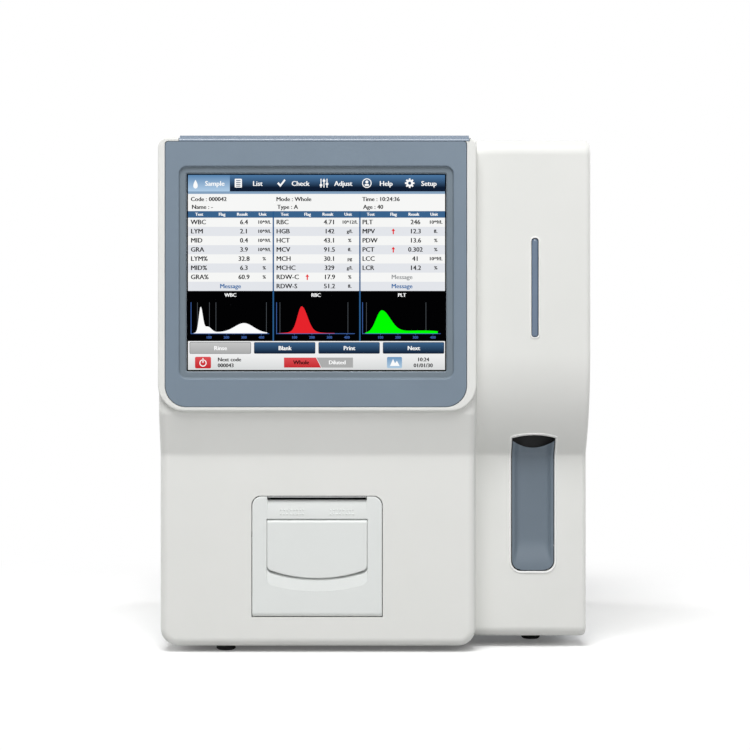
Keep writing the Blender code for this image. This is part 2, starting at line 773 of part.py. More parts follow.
def make_left_front_cover():
    cavity = housing_block(HOUSING_WALL, HOUSING_WALL, EDGE_RADIUS - HOUSING_WALL, SEAM_Y + OVERRUN)
    nose_back = FRONT_Y + GAP + STRIP_NOSE_DEPTH
    nose_cut = block((STRIP_LEFT - GAP, FRONT_Y - OVERRUN, BEZEL_TOP_Z),
                     (STRIP_RIGHT + GAP, nose_back, CASE_TOP + OVERRUN))
    top_cut = block((STRIP_LEFT - GAP, FRONT_Y - OVERRUN, CASE_TOP - STRIP_REBATE),
                    (STRIP_RIGHT + GAP, FRONT_Y + STRIP_LENGTH + 2 * GAP, CASE_TOP + OVERRUN))
    cuts = [cavity,
            prism(bezel_outline(GAP), "Y", FRONT_Y - OVERRUN, FRONT_Y + HOOD_DEPTH + OVERRUN),
            prism(printer_outline(GAP), "Y", FACE_Y - OVERRUN, FACE_Y + HOUSING_WALL + OVERRUN),
            nose_cut, top_cut]
    outer = housing_block(0.0, 0.0, EDGE_RADIUS, SEAM_Y)
    piece("left_front_cover", WHITE_ABS, outer, add=[hood_block()], cut=cuts)


def make_bezel():
    """Frame with a window whose walls slope in to the glass."""
    recess = window_outline(RECESS_MARGIN, RECESS_CORNER_RADIUS, WIDE_CORNER_STEPS)
    window = window_outline(0.0, WINDOW_CORNER_RADIUS, WIDE_CORNER_STEPS)
    outer = bezel_outline()
    sunk_y = BEZEL_FRONT_Y + RECESS_DEPTH
    rings = [[(x, BEZEL_FRONT_Y, z) for x, z in outer], [(x, BEZEL_FRONT_Y, z) for x, z in recess],
             [(x, sunk_y, z) for x, z in window], [(x, BEZEL_BACK_Y, z) for x, z in window],
             [(x, BEZEL_BACK_Y, z) for x, z in outer]]
    piece("screen_bezel", BLUE_GREY_ABS, loft(rings, closed=True))
    piece("bezel_top_strip", BLUE_GREY_ABS, prism(strip_profile(), "X", STRIP_LEFT, STRIP_RIGHT))


def make_screen():
    glass_y = BEZEL_BACK_Y + GAP
    lcd_y = glass_y + GLASS_THICKNESS + GAP
    bracket_y = lcd_y + LCD_THICKNESS + GAP
    piece("touch_glass", CLEAR_ACRYLIC,
          prism(window_outline(GLASS_MARGIN, WINDOW_CORNER_RADIUS), "Y", glass_y, glass_y + GLASS_THICKNESS))
    half_x = WINDOW_WIDTH / 2 + LCD_MARGIN_X
    half_z = WINDOW_HEIGHT / 2 + LCD_MARGIN_Z
    piece("lcd_module", STEEL,
          block((SCREEN_CENTRE_X - half_x, lcd_y, SCREEN_CENTRE_Z - half_z),
                (SCREEN_CENTRE_X + half_x, lcd_y + LCD_THICKNESS, SCREEN_CENTRE_Z + half_z)))
    half_bracket = WINDOW_WIDTH / 2 + BRACKET_MARGIN - SHEET
    path = [(SCREEN_CENTRE_X - half_bracket, BEZEL_BACK_Y + GAP), (SCREEN_CENTRE_X - half_bracket, bracket_y),
            (SCREEN_CENTRE_X + half_bracket, bracket_y), (SCREEN_CENTRE_X + half_bracket, BEZEL_BACK_Y + GAP)]
    low_z = SCREEN_CENTRE_Z - BRACKET_HEIGHT / 2
    opening = block((SCREEN_CENTRE_X - half_x + BRACKET_WINDOW_MARGIN, bracket_y - OVERRUN,
                     low_z + BRACKET_WINDOW_MARGIN),
                    (SCREEN_CENTRE_X + half_x - BRACKET_WINDOW_MARGIN, bracket_y + SHEET + OVERRUN,
                     low_z + BRACKET_HEIGHT - BRACKET_WINDOW_MARGIN))
    piece("lcd_bracket", ZINC_SHEET, prism(strip(path, SHEET), "Z", low_z, low_z + BRACKET_HEIGHT),
          cut=[opening])


def tower_profile():
    """Front of the tower from its top seam to its bottom seam, as (y, z)."""
    centre = (TOWER_Y + OVERHANG_RADIUS, OVERHANG_TOP_Z)
    overhang = arc(centre, OVERHANG_RADIUS, math.pi, math.pi + OVERHANG_ANGLE, 2 * CORNER_STEPS)
    corners = [(SEAM_Y, CASE_TOP), (TOWER_Y, CASE_TOP), *overhang, (WALL_Y, TOWER_BOTTOM_Z),
               (SEAM_Y, TOWER_BOTTOM_Z)]
    radii = [0.0, TOWER_TOP_FILLET] + [0.0] * (len(overhang) - 1)
    radii += [CREASE_FILLET, TOWER_BOTTOM_FILLET, 0.0]
    return filleted(corners, radii, closed=False)


def make_tower_cover():
    profile = tower_profile()
    rings = [[(TOWER_LEFT, y, z) for y, z in profile]]
    for step in range(CORNER_STEPS + 1):
        angle = math.pi / 2 * step / CORNER_STEPS
        x = RIGHT_X - TOWER_EDGE_RADIUS * (1 - math.sin(angle))
        path = offset(profile, TOWER_EDGE_RADIUS * (1 - math.cos(angle)))
        rings.append([(x, y, z) for y, z in path])
    inner = offset(profile, HOUSING_WALL)
    inner[0] = (SEAM_Y + OVERRUN, inner[0][1])
    inner[-1] = (SEAM_Y + OVERRUN, inner[-1][1])
    cavity = prism(inner, "X", TOWER_INNER_LEFT, RIGHT_X - HOUSING_WALL)
    piece("tower_front_cover", WHITE_ABS, loft(rings), cut=[cavity, bay_cutter(), light_cutter()])


BAY_X = SPLIT_X + TOWER_WIDTH * BAY_PLACE_SHARE
LIGHT_X = SPLIT_X + TOWER_WIDTH * LIGHT_PLACE_SHARE


def bay_cutter():
    """Opening for the start key, arched at its top."""
    half = BAY_WIDTH / 2
    arch_radius = (half * half + BAY_ARCH * BAY_ARCH) / (2 * BAY_ARCH)
    spread = math.asin(half / arch_radius)
    centre = (BAY_X, BAY_SIDE_TOP_Z + BAY_ARCH - arch_radius)
    top = arc(centre, arch_radius, math.pi / 2 - spread, math.pi / 2 + spread, 2 * CORNER_STEPS)
    corners = [(BAY_X - half, BAY_BOTTOM_Z), (BAY_X + half, BAY_BOTTOM_Z)] + top
    radii = [BAY_CORNER_RADIUS, BAY_CORNER_RADIUS] + [0.0] * len(top)
    return prism(filleted(corners, radii), "Y", TOWER_Y - OVERRUN, WALL_Y + HOUSING_WALL + OVERRUN)


def light_outline(margin):
    half = LIGHT_WIDTH / 2 + margin
    top = LIGHT_BOTTOM_Z + LIGHT_HEIGHT + margin
    return rectangle(LIGHT_X - half, LIGHT_BOTTOM_Z - margin, LIGHT_X + half, top,
                     half - GAP, half - GAP)


def light_cutter():
    return prism(light_outline(GAP), "Y", TOWER_Y - OVERRUN, TOWER_Y + HOUSING_WALL + OVERRUN)


def make_status_light():
    piece("status_light_pipe", CLEAR_ACRYLIC, prism(light_outline(0.0), "Y", TOWER_Y, TOWER_Y + LIGHT_DEPTH))
    board_y = TOWER_Y + LIGHT_DEPTH + GAP
    half = LED_BOARD_WIDTH / 2
    piece("status_led_board", CIRCUIT_BOARD,
          block((LIGHT_X - half, board_y, LIGHT_BOTTOM_Z - LED_BOARD_OVERHANG),
                (LIGHT_X + half, board_y + BOARD_THICKNESS,
                 LIGHT_BOTTOM_Z + LIGHT_HEIGHT + LED_BOARD_OVERHANG)))


KEY_HALF_WIDTH = BAY_WIDTH / 2 - KEY_CLEARANCE
KEY_BOTTOM_Z = BAY_BOTTOM_Z + KEY_CLEARANCE
KEY_PIVOT_Y = WALL_Y + KEY_PIVOT_DEPTH


def key_grid(depth_added):
    """Front skin of the dished key, or the same skin set deeper, as rows of points."""
    path = offset(tower_profile(), 0.0)
    run = sorted((z, y) for y, z in path if y <= WALL_Y and KEY_BOTTOM_Z < z < OVERHANG_TOP_Z)
    heights = [KEY_BOTTOM_Z, *[z for z, _ in run if z < KEY_TOP_Z], KEY_TOP_Z]
    corner_shares = (0.12, 0.35, 0.65, 1.0)
    heights[1:1] = [KEY_BOTTOM_Z + BAY_CORNER_RADIUS * share for share in corner_shares]
    span = KEY_TOP_Z - KEY_BOTTOM_Z
    flat = KEY_HALF_WIDTH - KEY_RIM - KEY_SIDE_SLOPE
    rims = [KEY_HALF_WIDTH, KEY_HALF_WIDTH - KEY_RIM, flat]
    inner_shares = (0.5, 0.0, -0.5)
    places = rims + [flat * share for share in inner_shares] + [-place for place in rims[::-1]]
    rows = []
    for z in heights:
        row = []
        short = max(0.0, BAY_CORNER_RADIUS - (z - KEY_BOTTOM_Z))
        narrowing = BAY_CORNER_RADIUS - math.sqrt(max(0.0, BAY_CORNER_RADIUS ** 2 - short ** 2))
        for place in places:
            x = place * (KEY_HALF_WIDTH - narrowing) / KEY_HALF_WIDTH
            dip = KEY_NOTCH * (1 - (place / KEY_HALF_WIDTH) ** 2)
            height = KEY_BOTTOM_Z + (z - KEY_BOTTOM_Z) * (span - dip) / span
            side = min(1.0, max(0.0, (KEY_HALF_WIDTH - KEY_RIM - abs(place)) / KEY_SIDE_SLOPE))
            end = min(1.0, max(0.0, (height - KEY_BOTTOM_Z - KEY_RIM) / KEY_END_SLOPE))
            surface = read_height([(y, level) for level, y in run[::-1]], height)
            row.append((BAY_X + x, surface + KEY_DISH * min(side, end) + depth_added, height))
        rows.append(row)
    return rows


def make_aspirate_key():
    front = key_grid(0.0)
    back = [[(x, WALL_Y + KEY_DISH + KEY_THICKNESS, z) if z < CREASE_Z - KEY_DISH
             else (x, y + KEY_THICKNESS + KEY_DISH, z) for x, y, z in row] for row in front]
    rows = len(front)
    columns = len(front[0])
    points = [Vector(point) for skin in (front, back) for row in skin for point in row]
    faces = []
    for skin in (0, rows * columns):
        for row in range(rows - 1):
            for column in range(columns - 1):
                start = skin + row * columns + column
                faces.append([start, start + 1, start + columns + 1, start + columns])
    rim = [column for column in range(columns)]
    rim += [row * columns + columns - 1 for row in range(1, rows)]
    rim += [(rows - 1) * columns + column for column in range(columns - 2, -1, -1)]
    rim += [row * columns for row in range(rows - 2, 0, -1)]
    for index, start in enumerate(rim):
        following = rim[(index + 1) % len(rim)]
        faces.append([start, following, following + rows * columns, start + rows * columns])
    lug_x = KEY_HALF_WIDTH - KEY_RIM - KEY_LUG_WIDTH
    root_y = WALL_Y + KEY_DISH + KEY_THICKNESS - GAP
    lug_back = KEY_PIVOT_Y + KEY_LUG_RADIUS
    lug = filleted([(root_y, KEY_PIVOT_Z - KEY_LUG_RADIUS), (lug_back, KEY_PIVOT_Z - KEY_LUG_RADIUS),
                    (lug_back, KEY_PIVOT_Z + KEY_LUG_RADIUS), (root_y, KEY_PIVOT_Z + KEY_LUG_RADIUS)],
                   [0.0, KEY_LUG_RADIUS - GAP, KEY_LUG_RADIUS - GAP, 0.0])
    lugs = [prism(lug, "X", BAY_X + side * lug_x, BAY_X + side * (lug_x + KEY_LUG_WIDTH)) for side in (-1, 1)]
    hole = rod("X", (KEY_PIVOT_Y, KEY_PIVOT_Z), KEY_PIN_RADIUS + RUNNING,
               BAY_X - KEY_HALF_WIDTH - OVERRUN, BAY_X + KEY_HALF_WIDTH + OVERRUN)
    piece("aspirate_key", BLUE_GREY_ABS, (points, faces), add=lugs, cut=[hole],
          pivot=(BAY_X, KEY_PIVOT_Y, KEY_PIVOT_Z))
    cheek_in = BAY_WIDTH / 2 + KEY_CLEARANCE
    bracket_back = KEY_PIVOT_Y + KEY_TRAVEL_ROOM
    inner_wall = WALL_Y + HOUSING_WALL + GAP
    path = [(BAY_X + cheek_in + FLANGE, inner_wall), (BAY_X + cheek_in, inner_wall),
            (BAY_X + cheek_in, bracket_back), (BAY_X - cheek_in, bracket_back),
            (BAY_X - cheek_in, inner_wall), (BAY_X - cheek_in - FLANGE, inner_wall)]
    bracket_top = KEY_PIVOT_Z + KEY_CHEEK_HEIGHT / 2
    pin = rod("X", (KEY_PIVOT_Y, KEY_PIVOT_Z), KEY_PIN_RADIUS, BAY_X - cheek_in - GAP, BAY_X + cheek_in + GAP)
    bracket = prism(strip(path, -SHEET), "Z", KEY_BRACKET_FOOT_Z, bracket_top)
    piece("key_bracket", ZINC_SHEET, bracket, add=[pin])
    switch_z = KEY_BRACKET_FOOT_Z + SWITCH_HEIGHT
    key_back = WALL_Y + KEY_DISH + KEY_THICKNESS
    body_y = bracket_back - GAP - SWITCH_DEPTH
    stem = rod("Y", (BAY_X, switch_z), SWITCH_STEM_RADIUS, key_back + SWITCH_DEPTH, body_y + GAP)
    piece("start_switch", BLACK_PLASTIC,
          block((BAY_X - SWITCH_WIDTH / 2, body_y, switch_z - SWITCH_HEIGHT / 2),
                (BAY_X + SWITCH_WIDTH / 2, bracket_back - GAP, switch_z + SWITCH_HEIGHT / 2)), add=[stem])


# Places of the printer
PRINTER_LEFT = PRINTER_CENTRE_X - PRINTER_WIDTH / 2
PRINTER_RIGHT = PRINTER_CENTRE_X + PRINTER_WIDTH / 2
PRINTER_TOP_Z = PRINTER_BOTTOM_Z + PRINTER_HEIGHT
HINGE_Y = FACE_Y + DOOR_HINGE_RADIUS
HINGE_Z = PRINTER_BOTTOM_Z + DOOR_HINGE_RADIUS
SLOT_TOP_Z = PRINTER_TOP_Z - TEAR_BAR_HEIGHT
LIP_Z = SLOT_TOP_Z - SLOT_HEIGHT
HANDLE_PIVOT_Y = FACE_Y + HANDLE_PIVOT_DEPTH
HANDLE_PIVOT_Z = HANDLE_TOP_Z - HANDLE_PIVOT_DROP
PLATEN_Y = FACE_Y + PLATEN_DEPTH
PLATEN_Z = PRINTER_TOP_Z - PLATEN_DROP
ARM_OUTER_X = PRINTER_WIDTH / 2 - DOOR_ARM_INSET
BUCKET_HALF = PRINTER_WIDTH / 2 - BUCKET_MARGIN_X
BUCKET_FRONT_Y = FACE_Y + HOUSING_WALL + GAP
BUCKET_BACK_Y = BUCKET_FRONT_Y + BUCKET_DEPTH
BUCKET_TOP_Z = PRINTER_TOP_Z + GAP + BUCKET_TOP_MARGIN
PAPER_Y = BUCKET_FRONT_Y + PAPER_DEPTH
PAPER_Z = HINGE_Z + BUCKET_FLOOR_RISE + PAPER_RADIUS


def handle_outline():
    """Flap of the handle under its hinge, with a sagging lower edge."""
    half = HANDLE_WIDTH / 2
    sag_radius = (half * half + HANDLE_SAG * HANDLE_SAG) / (2 * HANDLE_SAG)
    spread = math.asin(half / sag_radius)
    centre = (PRINTER_CENTRE_X, HANDLE_SIDE_Z - HANDLE_SAG + sag_radius)
    lower = arc(centre, sag_radius, -math.pi / 2 - spread, -math.pi / 2 + spread, 2 * CORNER_STEPS)
    return lower + [(PRINTER_CENTRE_X + half, HANDLE_PIVOT_Z), (PRINTER_CENTRE_X - half, HANDLE_PIVOT_Z)]


def pocket_outline():
    """Pocket behind the flap and the finger recess under it."""
    half = HANDLE_WIDTH / 2 + GAP
    side_z = HANDLE_SIDE_Z - POCKET_SIDE_DROP
    depth = POCKET_DROP + HANDLE_SAG - POCKET_SIDE_DROP
    sag_radius = (half * half + depth * depth) / (2 * depth)
    spread = math.asin(half / sag_radius)
    centre = (PRINTER_CENTRE_X, side_z - depth + sag_radius)
    lower = arc(centre, sag_radius, -math.pi / 2 - spread, -math.pi / 2 + spread, 2 * CORNER_STEPS)
    top = HANDLE_TOP_Z + GAP
    return lower + [(PRINTER_CENTRE_X + half, top), (PRINTER_CENTRE_X - half, top)]


def door_block():
    """Door plate with its lower edge rolled round the hinge."""
    plate = printer_outline()
    back_y = FACE_Y + DOOR_THICKNESS
    return prism([(x, max(z, HINGE_Z)) for x, z in plate], "Y", FACE_Y, back_y)


def door_roll():
    """Lower edge of the door: a quarter round skin in front of the hinge, then the hinge barrel."""
    skin = arc((HINGE_Y, HINGE_Z), DOOR_HINGE_RADIUS, math.pi, math.pi * 3 / 2, CORNER_STEPS)
    inner = DOOR_HINGE_RADIUS - DOOR_THICKNESS / 2
    skin += arc((HINGE_Y, HINGE_Z), inner, math.pi * 3 / 2, math.pi, CORNER_STEPS)
    rise = HINGE_Z + DOOR_THICKNESS
    skin += [(FACE_Y + DOOR_THICKNESS / 2, rise), (FACE_Y + GAP, rise), (FACE_Y + GAP, HINGE_Z)]
    return prism(skin, "X", PRINTER_LEFT, PRINTER_RIGHT)


def make_printer_door():
    pocket_half = HANDLE_WIDTH / 2 + GAP + POCKET_WALL
    pocket_back = FACE_Y + POCKET_DEPTH
    pocket_low = HANDLE_SIDE_Z - HANDLE_SAG - POCKET_DROP - POCKET_WALL
    barrel_half = PRINTER_WIDTH / 2 - DOOR_EAR_INSET - DOOR_EAR_WIDTH
    shell = block((PRINTER_CENTRE_X - pocket_half, FACE_Y + DOOR_THICKNESS - GAP, pocket_low),
                   (PRINTER_CENTRE_X + pocket_half, pocket_back + POCKET_WALL,
                    HANDLE_TOP_Z + POCKET_WALL + GAP))
    barrel = rod("X", (HINGE_Y, HINGE_Z), DOOR_KNUCKLE_RADIUS, PRINTER_CENTRE_X - barrel_half,
                 PRINTER_CENTRE_X + barrel_half)
    arm_profile = [(FACE_Y + DOOR_THICKNESS / 2, PLATEN_Z - PLATEN_ARM_HEIGHT / 2),
                   (PLATEN_Y + PLATEN_RADIUS, PLATEN_Z - PLATEN_ARM_HEIGHT / 3),
                   (PLATEN_Y + PLATEN_RADIUS, PLATEN_Z + PLATEN_ARM_HEIGHT / 3),
                   (FACE_Y + DOOR_THICKNESS / 2, PLATEN_Z + PLATEN_ARM_HEIGHT / 3)]
    arms = []
    for side in (-1, 1):
        outer = PRINTER_CENTRE_X + side * ARM_OUTER_X
        inner = outer - side * DOOR_ARM_WIDTH
        arms.append(prism(arm_profile, "X", min(outer, inner), max(outer, inner)))
    slot = block((PRINTER_CENTRE_X - SLOT_WIDTH / 2, FACE_Y - OVERRUN, LIP_Z),
                 (PRINTER_CENTRE_X + SLOT_WIDTH / 2, FACE_Y + DOOR_THICKNESS + OVERRUN,
                  PRINTER_TOP_Z + OVERRUN))
    lip_half = SLOT_WIDTH / 2 - GAP
    lip = prism([(FACE_Y, LIP_Z - LIP_HEIGHT), (FACE_Y - OVERRUN, LIP_Z - LIP_HEIGHT),
                 (FACE_Y - OVERRUN, LIP_Z + OVERRUN), (FACE_Y + LIP_DEPTH, LIP_Z + OVERRUN),
                 (FACE_Y + LIP_DEPTH - GAP, LIP_Z)], "X",
                PRINTER_CENTRE_X - lip_half, PRINTER_CENTRE_X + lip_half)
    pocket = prism(pocket_outline(), "Y", FACE_Y - OVERRUN, pocket_back)
    ear_cuts = []
    for side in (-1, 1):
        outer = PRINTER_CENTRE_X + side * (PRINTER_WIDTH / 2 - DOOR_EAR_INSET + GAP)
        inner = PRINTER_CENTRE_X + side * (barrel_half - GAP)
        ear_cuts.append(rod("X", (HINGE_Y, HINGE_Z), DOOR_EAR_RADIUS + GAP, min(outer, inner),
                            max(outer, inner)))
    reach = PRINTER_WIDTH / 2 - DOOR_EAR_INSET
    platen_hole = rod("X", (PLATEN_Y, PLATEN_Z), PLATEN_SHAFT_RADIUS + RUNNING,
                      PRINTER_CENTRE_X - reach, PRINTER_CENTRE_X + reach)
    handle_reach = pocket_half + OVERRUN
    handle_hole = rod("X", (HANDLE_PIVOT_Y, HANDLE_PIVOT_Z), HANDLE_PIN_RADIUS + GAP,
                      PRINTER_CENTRE_X - handle_reach, PRINTER_CENTRE_X + handle_reach)
    door = piece("printer_door", WHITE_ABS, door_block(), add=[door_roll(), barrel, shell, *arms],
                 cut=[slot, lip, pocket, *ear_cuts, platen_hole, handle_hole],
                 pivot=(PRINTER_CENTRE_X, HINGE_Y, HINGE_Z))
    trunnions = rod("X", (HINGE_Y, HINGE_Z), DOOR_PIN_RADIUS, PRINTER_CENTRE_X - reach,
                    PRINTER_CENTRE_X + reach)
    combine(door, "UNION", [trunnions])


def make_printer_handle():
    flap = prism(handle_outline(), "Y", FACE_Y, FACE_Y + HANDLE_THICKNESS)
    hinge = (HANDLE_PIVOT_Y, HANDLE_PIVOT_Z)
    roll = arc(hinge, HANDLE_PIVOT_DEPTH, math.pi, math.pi / 2, CORNER_STEPS)
    roll += arc(hinge, HANDLE_PIVOT_DEPTH - HANDLE_THICKNESS, math.pi / 2, math.pi, CORNER_STEPS)
    overlap_z = HANDLE_PIVOT_Z - HANDLE_THICKNESS
    roll += [(FACE_Y + HANDLE_THICKNESS - GAP, overlap_z), (FACE_Y + GAP, overlap_z),
             (FACE_Y + GAP, HANDLE_PIVOT_Z)]
    rolled_edge = prism(roll, "X", PRINTER_CENTRE_X - HANDLE_WIDTH / 2, PRINTER_CENTRE_X + HANDLE_WIDTH / 2)
    half = HANDLE_WIDTH / 2 - GAP
    barrel = rod("X", (HANDLE_PIVOT_Y, HANDLE_PIVOT_Z), HANDLE_BARREL_RADIUS, PRINTER_CENTRE_X - half,
                 PRINTER_CENTRE_X + half)
    reach = HANDLE_WIDTH / 2 + POCKET_WALL - GAP
    trunnions = rod("X", (HANDLE_PIVOT_Y, HANDLE_PIVOT_Z), HANDLE_PIN_RADIUS, PRINTER_CENTRE_X - reach,
                    PRINTER_CENTRE_X + reach)
    piece("printer_handle", WHITE_ABS, flap, add=[rolled_edge, barrel, trunnions],
          pivot=(PRINTER_CENTRE_X, HANDLE_PIVOT_Y, HANDLE_PIVOT_Z))


def gear_outline(teeth, turn, centre):
    """Outline of a small spur gear with straight-sided teeth."""
    pitch_radius = GEAR_MODULE * teeth / 2
    tip_radius = pitch_radius + GEAR_MODULE * GEAR_TIP_SHARE
    root_radius = pitch_radius - GEAR_MODULE * GEAR_ROOT_SHARE
    step = 2 * math.pi / teeth
    half_pitch = step / 4 - GEAR_BACKLASH / 2 / pitch_radius
    outline = []
    tooth = ((root_radius, -TOOTH_ROOT_SHARE), (tip_radius, -TOOTH_TIP_SHARE), (tip_radius, TOOTH_TIP_SHARE),
             (root_radius, TOOTH_ROOT_SHARE))
    for index in range(teeth):
        middle = turn + index * step
        for radius, share in tooth:
            angle = middle + share * half_pitch
            outline.append((centre[0] + radius * math.cos(angle), centre[1] + radius * math.sin(angle)))
    return outline


PINION_Y = PLATEN_Y + GEAR_MODULE * (PLATEN_TEETH + PINION_TEETH) / 2
GEAR_X = PRINTER_CENTRE_X + ARM_OUTER_X + GAP


def make_platen():
    half = PAPER_WIDTH / 2
    start = PRINTER_CENTRE_X - ARM_OUTER_X
    shaft = rod("X", (PLATEN_Y, PLATEN_Z), PLATEN_SHAFT_RADIUS, start, GEAR_X + GEAR_WIDTH)
    roller = rod("X", (PLATEN_Y, PLATEN_Z), PLATEN_RADIUS, PRINTER_CENTRE_X - half, PRINTER_CENTRE_X + half)
    gear = prism(gear_outline(PLATEN_TEETH, 0.0, (PLATEN_Y, PLATEN_Z)), "X", GEAR_X, GEAR_X + GEAR_WIDTH)
    piece("platen_roller", BLACK_RUBBER, roller, add=[shaft, gear],
          pivot=(PRINTER_CENTRE_X, PLATEN_Y, PLATEN_Z))
    pinion_turn = math.pi + math.pi / PINION_TEETH
    pinion = prism(gear_outline(PINION_TEETH, pinion_turn, (PINION_Y, PLATEN_Z)), "X",
                   GEAR_X, GEAR_X + GEAR_WIDTH)
    motor_x = PRINTER_CENTRE_X + BUCKET_HALF + GAP
    shaft = rod("X", (PINION_Y, PLATEN_Z), PINION_SHAFT_RADIUS, GEAR_X + GEAR_WIDTH / 2,
                motor_x + PINION_SHAFT_DEPTH - GAP)
    piece("printer_pinion", STEEL, pinion, add=[shaft], pivot=(GEAR_X, PINION_Y, PLATEN_Z))


def make_printer_bucket():
    left = PRINTER_CENTRE_X - BUCKET_HALF
    right = PRINTER_CENTRE_X + BUCKET_HALF
    floor_z = PAPER_Z - PAPER_RADIUS - GAP
    cradle = PAPER_RADIUS + GAP
    lower = arc((PAPER_Y, PAPER_Z), cradle, -math.pi / 2, 0.0, CORNER_STEPS)
    inner = [(BUCKET_FRONT_Y - OVERRUN, floor_z), *lower, (BUCKET_BACK_Y - BUCKET_WALL, PAPER_Z + cradle),
             (BUCKET_BACK_Y - BUCKET_WALL, BUCKET_TOP_Z - BUCKET_WALL),
             (BUCKET_FRONT_Y - OVERRUN, BUCKET_TOP_Z - BUCKET_WALL)]
    low_z = floor_z - BUCKET_WALL
    outer = [(BUCKET_FRONT_Y, low_z), (PAPER_Y, low_z), (BUCKET_BACK_Y, PAPER_Z - cradle / 2),
             (BUCKET_BACK_Y, BUCKET_TOP_Z), (BUCKET_FRONT_Y, BUCKET_TOP_Z)]
    ears = []
    for side in (-1, 1):
        outer_x = PRINTER_CENTRE_X + side * (PRINTER_WIDTH / 2 - DOOR_EAR_INSET)
        inner_x = outer_x - side * DOOR_EAR_WIDTH
        ear = arc((HINGE_Y, HINGE_Z), DOOR_EAR_RADIUS, math.pi / 2, math.pi * 2, 2 * CORNER_STEPS)
        ear += [(HINGE_Y + DOOR_HINGE_RADIUS + DOOR_EAR_WIDTH, HINGE_Z),
                (HINGE_Y + DOOR_HINGE_RADIUS + DOOR_EAR_WIDTH, low_z + BUCKET_WALL / 2),
                (HINGE_Y + DOOR_HINGE_RADIUS, low_z + BUCKET_WALL / 2),
                (HINGE_Y + DOOR_HINGE_RADIUS, HINGE_Z + DOOR_EAR_RADIUS)]
        ears.append(prism(ear, "X", min(outer_x, inner_x), max(outer_x, inner_x)))
    ear_hole = rod("X", (HINGE_Y, HINGE_Z), DOOR_PIN_RADIUS + GAP, left, right)
    shaft_hole = rod("X", (PINION_Y, PLATEN_Z), PINION_SHAFT_RADIUS + RUNNING, PRINTER_CENTRE_X,
                     right + OVERRUN)
    cavity = prism(inner, "X", left + BUCKET_WALL, right - BUCKET_WALL)
    piece("printer_bucket", WHITE_ABS, prism(outer, "X", left, right), add=ears,
          cut=[cavity, ear_hole, shaft_hole])
    half = PAPER_WIDTH / 2
    ring = [(PAPER_BORE_RADIUS, PRINTER_CENTRE_X - half), (PAPER_RADIUS, PRINTER_CENTRE_X - half),
            (PAPER_RADIUS, PRINTER_CENTRE_X + half), (PAPER_BORE_RADIUS, PRINTER_CENTRE_X + half)]
    piece("paper_roll", THERMAL_PAPER, turned("X", (PAPER_Y, PAPER_Z), ring, FINE_SEGMENTS),
          pivot=(PRINTER_CENTRE_X, PAPER_Y, PAPER_Z))
    head_y = PLATEN_Y + PLATEN_RADIUS + GAP
    hanger_top = BUCKET_TOP_Z - BUCKET_WALL - GAP
    head = [(head_y, PLATEN_Z - HEAD_HEIGHT / 2), (head_y + HEAD_THICKNESS, PLATEN_Z - HEAD_HEIGHT / 2),
            (head_y + HEAD_THICKNESS, hanger_top), (head_y + HEAD_THICKNESS / 2, hanger_top),
            (head_y + HEAD_THICKNESS / 2, PLATEN_Z + HEAD_HEIGHT / 2), (head_y, PLATEN_Z + HEAD_HEIGHT / 2)]
    piece("print_head", BLACK_PLASTIC, prism(head, "X", PRINTER_CENTRE_X - half, PRINTER_CENTRE_X + half))
    bar_y = FACE_Y + GAP
    piece("tear_bar", STEEL,
          block((PRINTER_CENTRE_X - SLOT_WIDTH / 2 + GAP, bar_y, SLOT_TOP_Z),
                (PRINTER_CENTRE_X + SLOT_WIDTH / 2 - GAP, bar_y + TEAR_BAR_DEPTH, PRINTER_TOP_Z)))
    motor_x = right + GAP
    socket = rod("X", (PINION_Y, PLATEN_Z), PINION_SHAFT_RADIUS + RUNNING, motor_x - OVERRUN,
                 motor_x + PINION_SHAFT_DEPTH)
    piece("printer_motor", STEEL,
          rod("X", (PINION_Y, PLATEN_Z), PRINTER_MOTOR_RADIUS, motor_x, motor_x + PRINTER_MOTOR_LENGTH),
          cut=[socket])


def case_path(low_z):
    """Open outline of the case above a height, as (x, z), from its left side to its right."""
    return filleted([(LEFT_X, low_z), (LEFT_X, CASE_TOP), (RIGHT_X, CASE_TOP), (RIGHT_X, low_z)],
                    [0.0, TOP_CORNER_RADIUS, TOWER_EDGE_RADIUS, 0.0], closed=False)


def pan_path(high_z):
    """Open outline of the case under a height, as (x, z), from its right side to its left."""
    return filleted([(RIGHT_X, high_z), (RIGHT_X, CASE_BOTTOM), (LEFT_X, CASE_BOTTOM), (LEFT_X, high_z)],
                    [0.0, TOWER_BOTTOM_FILLET, BOTTOM_CORNER_RADIUS, 0.0], closed=False)


PAN_TOP_Z = CASE_BOTTOM + PAN_HEIGHT
SKIRT_Z = CASE_TOP - TOP_SKIRT
DIVIDER_LEFT = SPLIT_X - SHEET
DIVIDER_RIGHT = SPLIT_X
PANEL_BACK_Y = REAR_Y - SHEET


